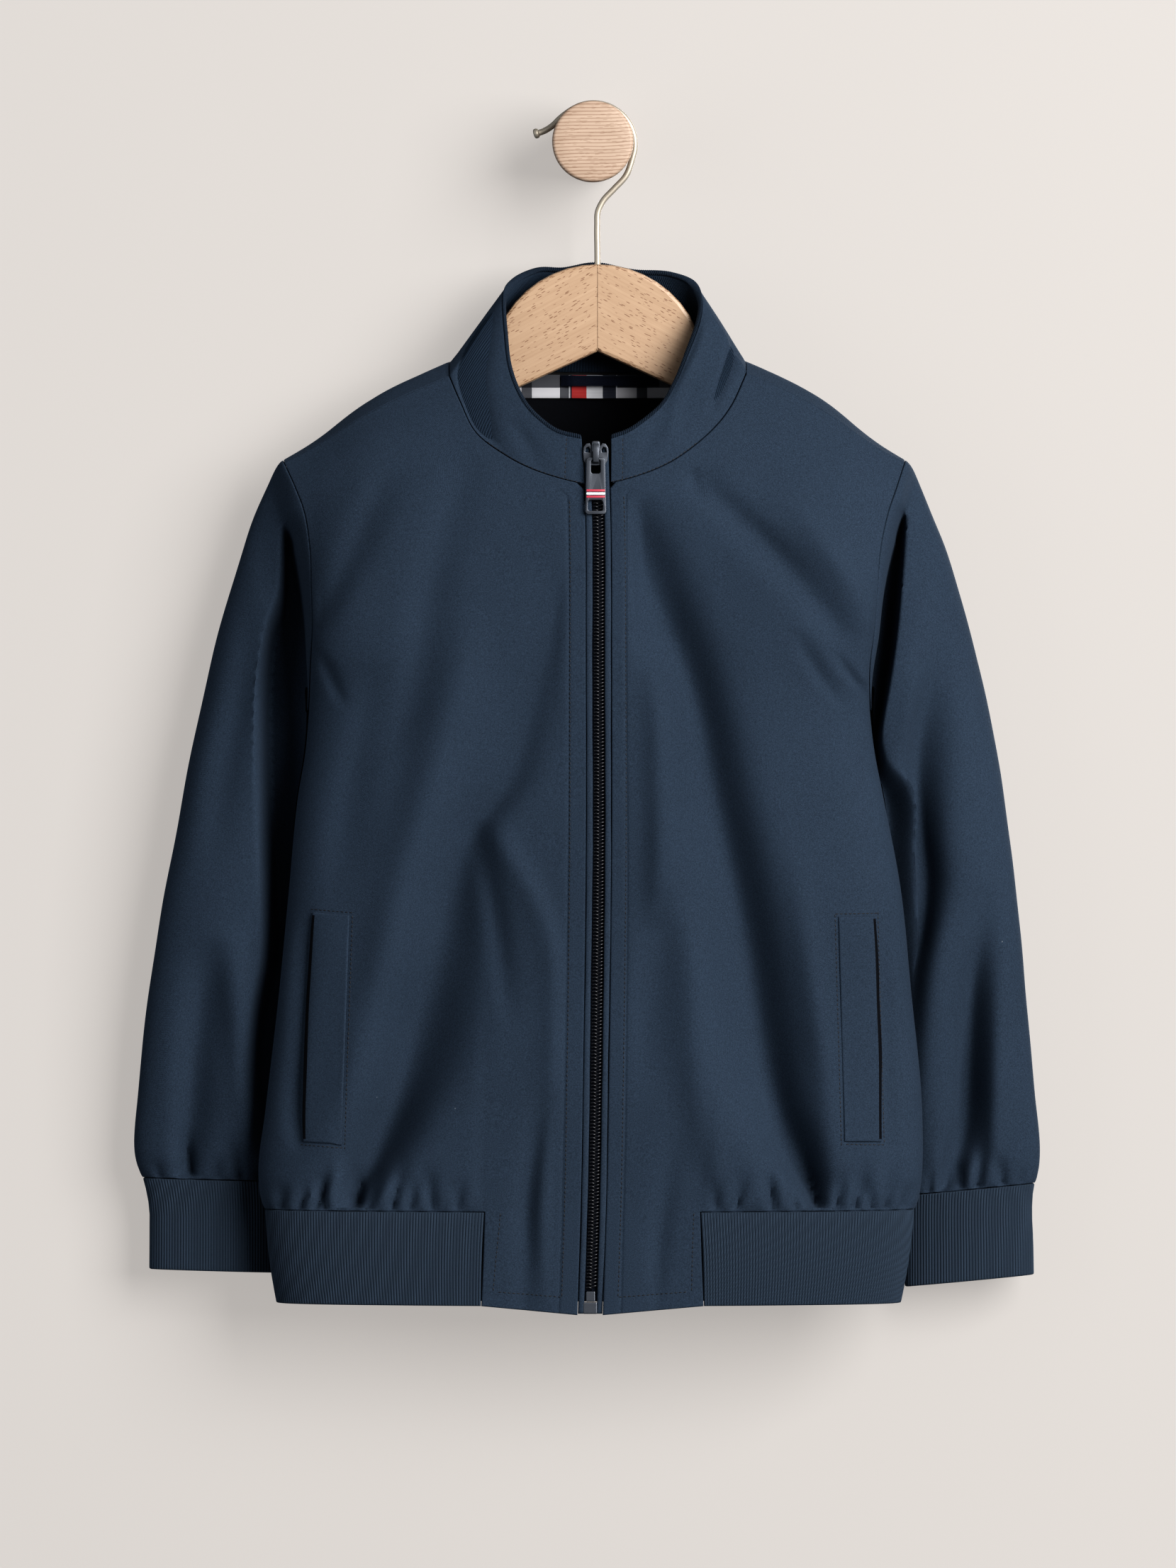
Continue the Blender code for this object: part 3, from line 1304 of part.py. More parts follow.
def shank_hole():
    """A cutter for the hole in the boards' joint that the hook is screwed into."""
    mesh = bmesh.new()
    radius = HOLE_RADIUS * MM
    depth = HOLE_DEEP * MM
    bmesh.ops.create_cone(
        mesh, cap_ends=True, segments=16, radius1=radius, radius2=radius, depth=depth
    )
    data = bpy.data.meshes.new("shank_hole")
    mesh.to_mesh(data)
    mesh.free()
    made = bpy.data.objects.new("shank_hole", data)
    CUTTERS.objects.link(made)
    made.location = (HANGER_X * MM, BOARD_Y * MM, (SHANK_FOOT - SEAM_GAP + HOLE_DEEP / 2) * MM)
    hide(made)
    return made


def hook_route():
    """The wire's middle line: up the shank, round over the peg and down to its tip."""
    arc = []
    for angle in range(-20, 126, 12):
        turn = math.radians(angle)
        arc.append((HOOK_X + HOOK_RADIUS * math.cos(turn), HOOK_Z + HOOK_RADIUS * math.sin(turn)))
    corners = np.array(HOOK_SHANK + arc + HOOK_TIP)
    long = np.append(0, np.cumsum(np.linalg.norm(np.diff(corners, axis=0), axis=1)))
    line = {"s": long, "x": corners[:, 0], "z": corners[:, 1]}
    s = np.linspace(0, long[-1], HOOK_POINTS)
    return read(line, "x", s), read(line, "z", s)


def hanger_hook():
    x, z = hook_route()
    curve = bpy.data.curves.new("hanger_hook", "CURVE")
    curve.dimensions = "3D"
    curve.bevel_depth = WIRE / 2 * MM
    curve.bevel_resolution = 2
    curve.use_fill_caps = True
    spline = curve.splines.new("POLY")
    spline.points.add(len(x) - 1)
    for n, point in enumerate(spline.points):
        point.co = (x[n] * MM, BOARD_Y * MM, z[n] * MM, 1)
        point.radius = BUTTON / WIRE if n >= len(x) - 2 else 1.0
    place("hanger_hook", curve, finish_of("champagne_wire", (0.55, 0.46, 0.38), 0.28, 1.0))


def wall_peg():
    """The turned peg: a head, a neck that the wire lies on, and a flat back on the wall."""
    data = bpy.data.meshes.new("wall_peg")
    edges = [(n, n + 1) for n in range(len(PEG) - 1)]
    data.from_pydata([(r * MM, 0, h * MM) for r, h in PEG], edges, [])
    made = place("wall_peg", data, finish_of("peg_beech", (0.60, 0.44, 0.32), 0.5))
    made.rotation_euler = (math.radians(90), 0, 0)
    turned = made.modifiers.new("turned", "SCREW")
    turned.axis = "Z"
    turned.steps = turned.render_steps = 32
    turned.use_merge_vertices = True
    turned.merge_threshold = 0.00001


# ---------------------------------------------------------------- the jacket

clear_scene()
PARTS = group("harrington_jacket")
CUTTERS = group("cutters")
panels = {"front_" + side: front_panel(side) for side in SIDES}
panels["back"] = back_panel()
hem_rib()
collar_piece("collar_outer", 0.0, SEAM_GAP / 2, 0.0, CLOTH, shell_cloth())
collar_piece("collar_inner", CLOTH + LAYER_GAP, 1.0, 1.0, RIB, rib_knit())
for side in SIDES:
    sleeve(side)
    cuff(side)
    welt(side, panels["front_" + side])
neck_trim(panels["back"])
zip_parts()
SHANK_HOLE = shank_hole()
for side in SIDES:
    hanger_arm(side)
hanger_hook()
wall_peg()
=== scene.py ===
# %% [markdown]
# # A harrington jacket on a hanger, on a wall peg
# A harrington is a short zip jacket with a stand collar and with knitted rib at the cuffs and the
# hem. This one is cut from navy twill and hangs closed. The solids that carry it are loaded first:
# they say where each piece is. Every cloth piece is then made again as a fine thin shell on the
# same cut, because a fold only looks like cloth when its surface is smooth. Lengths in this
# notebook are millimetres, and each mesh is turned into metres when it is made.

# %% Load the solids
import itertools
import math

import bmesh
import bpy
import numpy as np
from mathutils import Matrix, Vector
from mathutils.bvhtree import BVHTree


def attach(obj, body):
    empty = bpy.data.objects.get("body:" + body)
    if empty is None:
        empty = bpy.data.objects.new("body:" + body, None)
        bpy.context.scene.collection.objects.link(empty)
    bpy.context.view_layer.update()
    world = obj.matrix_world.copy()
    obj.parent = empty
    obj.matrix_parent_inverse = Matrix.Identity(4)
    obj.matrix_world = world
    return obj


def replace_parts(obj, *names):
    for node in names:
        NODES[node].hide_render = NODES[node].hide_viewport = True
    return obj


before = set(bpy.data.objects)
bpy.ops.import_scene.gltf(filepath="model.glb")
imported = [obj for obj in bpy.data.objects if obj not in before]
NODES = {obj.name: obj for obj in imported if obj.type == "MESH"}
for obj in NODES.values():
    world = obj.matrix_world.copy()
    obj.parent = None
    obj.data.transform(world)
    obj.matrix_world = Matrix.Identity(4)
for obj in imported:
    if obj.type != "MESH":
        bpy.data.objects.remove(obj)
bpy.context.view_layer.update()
MM = 0.001
print("solids:", len(NODES))

# %% [markdown]
# ## Curves from short tables
# A tailor draws a jacket from a few measured points and a smooth curve through them. A table here
# is the same thing: a few rows of measurements, and `read` runs a cubic curve through one column.

# %% Tables, curves and directions
def table(names, *rows):
    """Named columns from rows of numbers."""
    return dict(zip(names.split(), np.array(rows, float).T))


def read(columns, name, at):
    """One column at each value of the first column, by a cubic through its rows."""
    x = next(iter(columns.values()))
    y = columns[name]
    slope = np.gradient(y, x)
    at = np.clip(at, x[0], x[-1])
    i = np.clip(np.searchsorted(x, at, side="right") - 1, 0, len(x) - 2)
    step = x[i + 1] - x[i]
    u = (at - x[i]) / step
    return (
        y[i] * (1 + 2 * u) * (1 - u) ** 2
        + y[i + 1] * u * u * (3 - 2 * u)
        + step * (slope[i] * u * (1 - u) ** 2 + slope[i + 1] * u * u * (u - 1))
    )


def ease(x):
    """0 below 0, 1 above 1, and smooth between."""
    x = np.clip(x, 0, 1)
    return x * x * (3 - 2 * x)


def bell(x, wide):
    """1 in the middle, and softly down to nothing past `wide` on both sides."""
    return np.exp(-((x / wide) ** 2))


def mix(a, b, share):
    return a * (1 - share) + b * share


def unit(v):
    return v / np.maximum(np.linalg.norm(v, axis=-1, keepdims=True), 1e-9)


def points(*coordinates):
    return np.stack(np.broadcast_arrays(*coordinates), axis=-1).astype(float)


def run(line):
    """Length from the first point of a line to each of its points."""
    steps = np.linalg.norm(np.diff(line, axis=0), axis=-1)
    return np.concatenate([np.zeros_like(steps[:1]), np.cumsum(steps, axis=0)])


def along_at(line, index, at):
    """The points of a line where its index has these values."""
    return np.stack([np.interp(at, index, line[:, n]) for n in range(3)], axis=-1)


def circle(count):
    return np.linspace(0, 2 * np.pi, count, endpoint=False)


print("halfway up a soft step:", ease(0.5), "and a quarter up:", ease(0.25))

# %% [markdown]
# ## The cut of the body
# Fronts and back share one idea. A row runs across the cloth from the middle of the body to the
# side seam or the armhole, as a Bezier curve that leaves the middle square and turns round the
# body at its end. `t` climbs from the hem (0) to the shoulder seam (1) and `f` runs along a row.

# %% Measurements of the body
SEAM_GAP = 0.3
CLOTH = 1.0
RIB = 1.6
ZIP_HALF = 6.8
NECK_T = 0.72
ARM_T = 0.52
SIDES = {"left": -1.0, "right": 1.0}
CENTRE_FRONT = table(
    "z x y",
    (-632, -1.5, -79.5),
    (-587, 0.0, -81.0),
    (-480, 2.0, -84.0),
    (-382, 3.1, -86.5),
    (-280, 3.1, -87.0),
    (-204, 2.8, -85.5),
    (-162, 1.6, -84.0),
)
CENTRE_BACK = table(
    "z x y",
    (-576, -1.5, -10.0),
    (-450, -1.0, -7.5),
    (-300, 0.0, -6.5),
    (-200, 1.5, -7.5),
    (-150, 2.5, -10.0),
    (-122, 3.0, -13.5),
)
SIDE_SEAM = table(
    "z left right y",
    (-575, -176.6, 173.2, -49.0),
    (-569, -177.6, 174.2, -49.0),
    (-554, -178.7, 176.0, -49.0),
    (-523, -175.7, 176.6, -49.0),
    (-458, -168.8, 171.3, -48.0),
    (-401, -163.5, 165.6, -48.0),
    (-351, -158.6, 156.1, -48.0),
    (-329, -154.9, 151.9, -47.5),
    (-306, -152.9, 149.2, -47.0),
)
NECK_FRONT = table(
    "t left right y z_left z_right",
    (0.72, -3.9, 9.6, -84.9, -185.4, -184.4),
    (0.74, -12.3, 14.3, -84.8, -183.5, -183.5),
    (0.79, -31.7, 31.4, -83.0, -177.4, -178.1),
    (0.84, -47.2, 46.0, -80.0, -169.4, -170.6),
    (0.89, -62.1, 61.8, -74.5, -158.0, -158.0),
    (0.95, -71.6, 74.6, -66.0, -139.8, -142.2),
    (1.00, -77.3, 82.7, -57.0, -126.5, -124.6),
)
NECK_BACK = table(
    "t left right y z_left z_right",
    (0.72, 3.0, 3.0, -13.5, -122.3, -122.3),
    (0.78, -20.0, 26.0, -14.2, -121.9, -121.9),
    (0.84, -42.0, 47.0, -17.0, -120.4, -120.4),
    (0.89, -60.0, 65.0, -23.5, -118.2, -118.2),
    (0.93, -72.0, 77.0, -33.0, -116.8, -116.8),
    (0.96, -76.8, 82.0, -43.0, -118.6, -118.2),
    (1.00, -77.3, 82.7, -57.0, -126.5, -124.6),
)
# turn: how far round to the back the cloth has gone where it meets the armhole
ARMHOLE_FRONT = table(
    "t left right z y turn rise",
    (0.52, -152.9, 149.2, -306.0, -47.0, 90, 0.0),
    (0.60, -151.8, 148.9, -284.0, -60.0, 86, 0.0),
    (0.68, -150.8, 151.5, -262.0, -65.5, 76, 0.0),
    (0.76, -151.4, 153.2, -241.0, -67.5, 58, 0.0),
    (0.84, -152.4, 155.2, -217.5, -66.5, 38, 0.0),
    (0.90, -155.4, 159.2, -199.5, -62.5, 28, 0.0),
    (0.95, -160.5, 163.8, -186.0, -57.5, 20, 0.3),
    (1.00, -166.6, 168.2, -172.8, -48.0, 10, 0.8),
)
ARMHOLE_BACK = table(
    "t left right z y turn rise",
    (0.52, -152.9, 149.2, -306.0, -47.0, 90, 0.0),
    (0.60, -152.6, 149.6, -282.0, -31.0, 80, 0.0),
    (0.68, -153.6, 152.0, -259.0, -24.5, 62, 0.0),
    (0.76, -155.0, 155.2, -237.0, -21.5, 45, 0.0),
    (0.84, -157.0, 158.6, -213.0, -21.0, 35, 0.0),
    (0.90, -160.4, 162.6, -194.0, -24.0, 26, 1.6),
    (0.95, -165.4, 166.8, -176.5, -33.0, 14, 3.2),
    (0.97, -166.8, 168.2, -171.8, -39.0, 4, 3.3),
    (1.00, -166.6, 168.2, -172.8, -48.0, -10, 0.8),
)
NECK = {"front": NECK_FRONT, "back": NECK_BACK}
ARMHOLE = {"front": ARMHOLE_FRONT, "back": ARMHOLE_BACK}
HANDLE_IN = 0.60  # a row leaves the middle square for about this share of its width
HANDLE_OUT = 30.0  # and it takes its last turn over this length
ROW_STEPS = 48
HEM_Z, HEM_SIDE_Z = -576.0, -575.0  # the hem seam at the middle and at the side
BLOCK_SHARE = 0.283  # of a front's width at the hem is a block of its own cloth
BLOCK_DEEP, BAND_DEEP, CUFF_DEEP = 55.0, 50.5, 49.4
BLOCK_FLARE, CENTRE_SLANT = 1.8, 1.8
NARROWED = {"left": 6.2, "right": 7.3}  # how far the band draws in down to its foot
HEM_PUFF, CUFF_PUFF = 2.2, 2.0  # how far cloth swells out over a rib
shoulders = ARMHOLE_FRONT["right"][-1] - ARMHOLE_FRONT["left"][-1]
print("the shoulder seams meet the sleeves", shoulders, "mm apart")

# %% Rows of the body
def zip_line(z):
    """The middle of the zip."""
    return points(read(CENTRE_FRONT, "x", z), read(CENTRE_FRONT, "y", z), z)


def inner_edge(face, side, t):
    """Where a row starts: the front's edge or the middle of the back, then the neck seam."""
    neck = NECK[face]
    z = HEM_Z + (neck["z_" + side][0] - HEM_Z) * np.clip(t / NECK_T, 0, 1)
    if face == "front":
        low = zip_line(z) + (SIDES[side] * ZIP_HALF, 0, 0)
    else:
        low = points(read(CENTRE_BACK, "x", z), read(CENTRE_BACK, "y", z), z)
    high = points(read(neck, side, t), read(neck, "y", t), read(neck, "z_" + side, t))
    return np.where((t < NECK_T)[..., None], low, high)


def outer_edge(face, side, t):
    """Where a row ends: the side seam, then the armhole."""
    arm = ARMHOLE[face]
    z = HEM_SIDE_Z + (arm["z"][0] - HEM_SIDE_Z) * np.clip(t / ARM_T, 0, 1)
    low = points(read(SIDE_SEAM, side, z), read(SIDE_SEAM, "y", z), z)
    high = points(read(arm, side, t), read(arm, "y", t), read(arm, "z", t))
    return np.where((t < ARM_T)[..., None], low, high)


def end_way(face, side, t):
    """The way that a row goes as it reaches its outer end."""
    turn = np.radians(read(ARMHOLE[face], "turn", t))
    back = 1.0 if face == "front" else -1.0
    return points(SIDES[side] * np.cos(turn), back * np.sin(turn), 0.0)


def body_base(face, side, t, f):
    """The smooth outer side of a front or of half the back, at rows t and shares f of a row."""
    shape = np.broadcast(t, f).shape
    t, f = (np.broadcast_to(value, shape).ravel() for value in (t, f))
    start, end = inner_edge(face, side, t), outer_edge(face, side, t)
    width = np.abs(end[:, 0] - start[:, 0])
    lead = points(SIDES[side] * width * HANDLE_IN, 0.0, 0.0)
    u = np.linspace(0, 1, ROW_STEPS + 1)[:, None, None]
    row = (
        start * (1 - u) ** 3
        + (start + lead) * 3 * u * (1 - u) ** 2
        + (end - end_way(face, side, t) * HANDLE_OUT) * 3 * u * u * (1 - u)
        + end * u**3
    )
    long = run(row)
    half_gap = SEAM_GAP / 2
    first = half_gap * np.clip((t - NECK_T) / 0.01, 0, 1)
    at = first + f * (long[-1] - first - half_gap)
    i = np.clip((long <= at).sum(axis=0) - 1, 0, ROW_STEPS - 1)
    n = np.arange(len(t))
    part = ((at - long[i, n]) / (long[i + 1, n] - long[i, n]))[:, None]
    p = mix(row[i, n], row[i + 1, n], part)
    share = at / long[-1]
    rise = read(ARMHOLE[face], "rise", t) * 4 * share * (1 - share)
    p[:, 2] = start[:, 2] + (end[:, 2] - start[:, 2]) * share + rise
    return p.reshape(shape + (3,))


def band(face, side, f, down):
    """The outer side of the hem band below the body; down is a share of its depth."""
    at = body_base(face, side, np.zeros(len(f)), f)
    narrow = np.full(len(f), NARROWED[side])
    deep = np.full(len(f), BAND_DEEP)
    if face == "front":
        block = (0, BLOCK_SHARE, 1), (CENTRE_SLANT * SIDES[side], -BLOCK_FLARE, narrow[0])
        narrow = np.interp(f, *block)
        deep = np.interp(f, (0, BLOCK_SHARE), (BLOCK_DEEP, BAND_DEEP))
    else:
        narrow = narrow * np.interp(f, (0, 0.3, 1), (0, 0.4, 1))
    at[:, 0] -= SIDES[side] * narrow * down
    at[:, 2] -= deep * down
    return at


for side in SIDES:
    seam = body_base("front", side, np.zeros(2), np.array([0.0, 1.0]))
    print(f"hem seam of the {side} front: {abs(seam[1, 0] - seam[0, 0]):.0f} mm across")

# %% [markdown]
# ## Folds and gathers
# Cloth that hangs from two shoulders falls in a few long soft troughs, and where a rib pulls it in
# it stands up in short uneven gathers. Each one is a row of a table: where it starts and ends, how
# wide and deep it is. They are placed one by one, because a simulation would lose the ones that
# give this jacket its look.

# %% Long folds
def fold(*rows):
    """A fold by height: where it runs, how deep it is (a ridge is negative), and its width on
    the left and on the right."""
    return table("z x deep left right", *rows)


FOLDS = {
    "front_left": [
        fold(
            (-577, -130, 7, 5, 5), (-564, -127, 12.5, 8, 9), (-549, -120, 14.5, 11, 14),
            (-515, -106, 15, 15, 20), (-477, -95, 14, 18, 26), (-439, -83, 11, 19, 24),
            (-401, -75, 9, 20, 17), (-372, -65, 6.5, 22, 12), (-344, -46, 4.5, 26, 12),
            (-306, -34, 3.6, 26, 11), (-265, -24, 2, 20, 9), (-225, -13, 0, 16, 9),
        ),
        fold(
            (-550, -146, 0, 10, 10), (-515, -130, -2.6, 12, 12), (-458, -114, -3.6, 14, 12),
            (-382, -96, -3.8, 14, 12), (-306, -76, -3.2, 14, 12), (-250, -64, 0, 12, 12),
        ),
        fold(
            (-520, -20, 0, 8, 5), (-496, -18, -2, 10, 5), (-450, -18, -2.4, 12, 6),
            (-412, -29, -2.2, 10, 6), (-374, -50, -1, 8, 8), (-360, -56, 0, 8, 8),
        ),
        fold(
            (-480, -44, 0, 5, 6), (-451, -48, 1.4, 6, 7), (-413, -53, 2, 6, 7),
            (-388, -58, 1.2, 6, 7), (-366, -63, 0, 6, 6),
        ),
        fold(
            (-630, -37, 0.6, 5, 4), (-600, -36, 1.6, 6, 5), (-574, -35, 2.6, 7, 5),
            (-545, -32, 1.8, 7, 5), (-505, -28, 0, 7, 5),
        ),
        fold((-640, -24, 0, 4, 4), (-574, -27, -1.6, 5, 5), (-511, -21, 0, 4, 4)),
        fold(
            (-268, -150, 0, 8, 8), (-245, -141, 2, 8, 10), (-215, -127, 2.2, 9, 12),
            (-188, -115, 1.6, 8, 12), (-172, -108, 0, 8, 12),
        ),
        fold(
            (-340, -110, 0, 10, 10), (-300, -98, 1.8, 10, 12), (-240, -86, 2.2, 10, 12),
            (-188, -73, 1.2, 10, 12), (-165, -66, 0, 10, 12),
        ),
        fold(
            (-430, -140, 0, 9, 12), (-370, -134, 1.4, 9, 12), (-310, -122, 1.3, 9, 12),
            (-280, -116, 0, 9, 12),
        ),
        fold(
            (-306, -133, 0, 3, 4), (-297, -138, 0.9, 3, 4), (-284, -144, 1, 3, 5),
            (-272, -149, 0, 3, 4),
        ),
        fold(
            (-545, -157, 0, 4, 3), (-530, -158, 1.8, 6, 3), (-480, -156, 2.4, 7, 3),
            (-430, -153.5, 1.6, 6, 3), (-412, -152, 0, 5, 3),
        ),
    ],
    "front_right": [
        fold(
            (-577, 122, 5, 4, 5), (-562, 117, 11, 8, 9), (-549, 111, 13, 13, 11),
            (-515, 99, 14, 19, 13), (-477, 91, 14, 21, 16), (-439, 85, 13.5, 21, 16),
            (-401, 77, 12.5, 20, 16), (-344, 64, 11, 20, 16), (-306, 56, 10, 18, 15),
            (-260, 40, 9, 15, 17), (-233, 30, 7, 11, 17), (-212, 24, 4.5, 8, 14),
            (-190, 20, 0, 6, 9),
        ),
        fold(
            (-425, 33, 0, 6, 12), (-405, 35.5, -2.4, 7, 14), (-344, 37, -3.6, 8, 14),
            (-300, 36, -3, 8, 14), (-268, 33, 0, 8, 12),
        ),
        fold(
            (-574, 70, 0, 8, 10), (-534, 61, -2.2, 10, 12), (-500, 57, -3, 11, 12),
            (-450, 55, -2.4, 11, 12), (-410, 50, 0, 9, 10),
        ),
        fold(
            (-290, 146, 0, 10, 10), (-262, 130, 2.6, 11, 11), (-240, 113, 3.6, 12, 12),
            (-212, 88, 3.6, 13, 12), (-188, 64, 2.2, 11, 11), (-172, 54, 0, 9, 9),
        ),
        fold(
            (-268, 150, 0, 8, 9), (-240, 138, -2.2, 9, 9), (-215, 122, -2.2, 10, 9),
            (-190, 104, 0, 9, 9),
        ),
        fold(
            (-306, 134, 0, 3, 4), (-297, 128, 0.9, 4, 5), (-280, 117, 1.3, 5, 6),
            (-262, 108, 0, 5, 6),
        ),
        fold(
            (-304, 149, 0, 3, 3), (-297, 146, 1.2, 3, 4), (-284, 136, 1.4, 4, 4),
            (-272, 129, 0, 3, 4),
        ),
        fold(
            (-196, 58, 0, 3, 3), (-188, 56, 0.9, 4, 3), (-178, 53, 1.1, 4, 3), (-166, 46, 0, 4, 3),
        ),
        fold(
            (-520, 34, 0, 10, 12), (-470, 30, 1.8, 12, 12), (-430, 36, 1.6, 10, 12),
            (-400, 40, 0, 9, 10),
        ),
        fold(
            (-560, 128, 0, 7, 6), (-520, 126, -1.6, 7, 7), (-440, 116, -1.8, 7, 8),
            (-380, 108, 0, 7, 8),
        ),
        fold(
            (-560, 158, 0, 3, 5), (-525, 158, 1.1, 3, 6), (-440, 155, 1, 3, 6),
            (-412, 153, 0, 3, 5),
        ),
        fold(
            (-640, 34, 0, 4, 4), (-590, 36, 1.6, 6, 5), (-560, 40, 1.2, 7, 6), (-530, 44, 0, 6, 6),
        ),
    ],
    "back": [
        fold(
            (-577, -124, 1, 10, 10), (-540, -118, 4, 16, 16), (-440, -84, 6.5, 16, 14),
            (-320, -56, 5, 17, 15), (-240, -40, 2, 15, 15), (-190, -30, 0, 14, 14),
        ),
        fold(
            (-577, 100, 1, 10, 12), (-545, 96, 4, 15, 16), (-440, 74, 6.5, 15, 17),
            (-330, 54, 4.6, 16, 17), (-240, 46, 2, 14, 14), (-185, 40, 0, 14, 14),
        ),
        fold(
            (-577, -20, 1, 9, 9), (-540, -16, 4, 12, 10), (-440, -4, 4.6, 13, 11),
            (-340, 4, 2.8, 12, 12), (-260, 6, 0, 12, 12),
        ),
        fold(
            (-400, -132, 0, 10, 10), (-340, -118, 3.4, 11, 9), (-270, -98, 2.8, 11, 9),
            (-210, -86, 0, 10, 10),
        ),
        fold(
            (-430, 136, 0, 10, 10), (-360, 122, 3.6, 9, 12), (-280, 106, 3, 9, 12),
            (-220, 96, 0, 10, 10),
        ),
        fold(
            (-560, 34, 0, 10, 12), (-470, 24, -3, 12, 10), (-360, 14, -2.2, 12, 10),
            (-280, 12, 0, 12, 12),
        ),
    ],
    "sleeve_left": [
        fold(
            (-560, -221, 5, 4, 6), (-535, -219, 7, 6, 12), (-496, -216, 7, 8, 14),
            (-465, -212, 5, 9, 13), (-430, -207, 0, 9, 12),
        ),
        fold(
            (-545, -188, 0, 5, 8), (-500, -190, -2, 6, 8), (-450, -193, -2.5, 8, 9),
            (-420, -196, 0, 8, 9),
        ),
        fold(
            (-420, -226, 0, 8, 10), (-360, -217, -1.6, 9, 10), (-300, -203, -1.8, 9, 10),
            (-250, -194, 0, 9, 10),
        ),
        fold(
            (-400, -205, 0, 9, 9), (-345, -200, 1.8, 9, 10), (-290, -190, 2, 9, 9),
            (-250, -186, 0, 8, 8),
        ),
    ],
    "sleeve_right": [
        fold(
            (-486, 168, 0, 8, 7), (-446, 169, 8, 10, 9), (-431, 171, 12, 11, 10),
            (-400, 175, 15, 13, 12), (-374, 174, 15, 12, 12), (-344, 175, 12, 10, 13),
            (-306, 181, 6, 9, 12), (-280, 187, 2, 8, 10), (-260, 190, 0, 8, 8),
        ),
        fold(
            (-563, 193, 5, 5, 5), (-541, 199, 10.5, 8, 9), (-496, 204, 12.5, 11, 9),
            (-458, 207, 9.5, 11, 9), (-430, 210, 4, 9, 9), (-400, 213, 0, 8, 8),
        ),
        fold(
            (-560, 216, 0, 4, 5), (-530, 216, -2.2, 4, 7), (-460, 217, -2, 5, 8),
            (-420, 219, 0, 6, 8),
        ),
        fold(
            (-555, 178, 0, 5, 5), (-510, 179, -2, 6, 6), (-450, 184, -2.4, 8, 8),
            (-400, 192, 0, 8, 8),
        ),
        fold((-340, 168, 0, 5, 6), (-310, 170, -1.8, 5, 6), (-280, 174, 0, 5, 6)),
    ],
}
print("long folds:", {name: len(rows) for name, rows in FOLDS.items()})

# %% Gathers over the ribs
# Gathers above a rib seam: where each stands along the seam, how tall and wide it is, how deep it
# pinches and how far its head leans.
GATHER = "x tall wide deep lean"
GATHERS = {
    "front_left": table(
        GATHER,
        (-168, 14, 5.2, 1.6, 2), (-158, 18, 5.2, 2, 6), (-149, 30, 5.9, 2.5, 9),
        (-144, 22, 5.2, 2, -4), (-128, 36, 6.2, 2.6, -5), (-120, 20, 5.2, 2.2, 5),
        (-108, 26, 5.4, 2.2, 6), (-98, 18, 5.2, 2, 3), (-86, 24, 5.7, 1.8, -3),
        (-73, 16, 5.2, 1.6, 2),
    ),
    "front_right": table(
        GATHER,
        (66, 16, 5.2, 1.8, -2), (77, 20, 5.2, 1.8, 3), (97, 30, 5.7, 2.4, -5),
        (109, 18, 5.2, 1.8, -3), (122, 44, 6.5, 2.7, -9), (131, 22, 5.2, 2.2, 4),
        (141, 26, 5.4, 2.2, 5), (150, 18, 5.2, 1.8, -4), (158, 22, 5.2, 2, 4),
        (167, 14, 5.2, 1.6, 2),
    ),
    "back": table(
        GATHER,
        (-160, 22, 5.7, 2, 5), (-143, 34, 6.8, 2.6, -6), (-128, 20, 5.7, 2, 3),
        (-110, 38, 6.8, 2.8, 8), (-92, 24, 5.9, 2.2, -4), (-74, 30, 6.5, 2.4, 5),
        (-55, 18, 5.7, 2, -3), (-37, 36, 6.8, 2.8, 6), (-18, 24, 5.9, 2.2, -5),
        (3, 30, 6.5, 2.4, 4), (22, 20, 5.7, 2, -3), (41, 38, 6.8, 2.8, -7), (60, 26, 5.9, 2.2, 4),
        (79, 20, 5.7, 2, 3), (97, 36, 6.8, 2.8, -7), (115, 22, 5.9, 2.2, 5),
        (132, 28, 6.5, 2.4, -4), (148, 20, 5.7, 2, 3), (162, 18, 5.4, 1.8, -3),
    ),
    "sleeve_left": table(
        GATHER,
        (-234, 10, 5.2, 1.6, -3), (-217, 26, 5.7, 2.4, -6), (-203, 12, 5.2, 1.4, 2),
        (-190, 20, 5.4, 2.3, -4), (-180, 10, 5.2, 1.6, 3),
    ),
    "sleeve_right": table(
        GATHER,
        (181, 14, 5.2, 2, 3), (189, 34, 5.9, 2.5, 4), (199, 14, 5.2, 1.8, -2),
        (208, 28, 5.7, 2.4, 3), (222, 18, 5.2, 2.2, -4), (231, 10, 5.2, 1.4, 2),
    ),
}

print("gathers:", {name: len(rows["x"]) for name, rows in GATHERS.items()})

# %% How deep the folds are at a point
GATHER_MUCH = 1.9  # all gathers are this much deeper than their rows say


def fold_depth(folds, x, z):
    """How far the folds move a point in."""
    deep = np.zeros(np.shape(x))
    for rows in folds:
        off = x - read(rows, "x", z)
        wide = np.where(off < 0, read(rows, "left", z), read(rows, "right", z))
        deep += read(rows, "deep", z) * bell(off, wide)
    return deep


def gather_depth(gathers, x, above):
    """How far the gathers over a rib seam move a point in, at a height above that seam."""
    deep = np.zeros(np.shape(x))
    for at, tall, wide, pinch, lean in zip(*gathers.values()):
        up = above / tall
        wide = wide * (0.32 + 0.62 * np.clip(up, 0, 1.5))
        fade = ease(1.25 - up) * (0.3 + 0.7 * ease(above / 1.4))
        deep += GATHER_MUCH * pinch * fade * bell(x - (at + lean * up), wide)
    return deep


def puff(above, much):
    """How far cloth swells out over the rib that gathers it."""
    above = np.maximum(above, 0)
    return much * (1 - np.exp(-above / 5)) * np.exp(-above / 60)


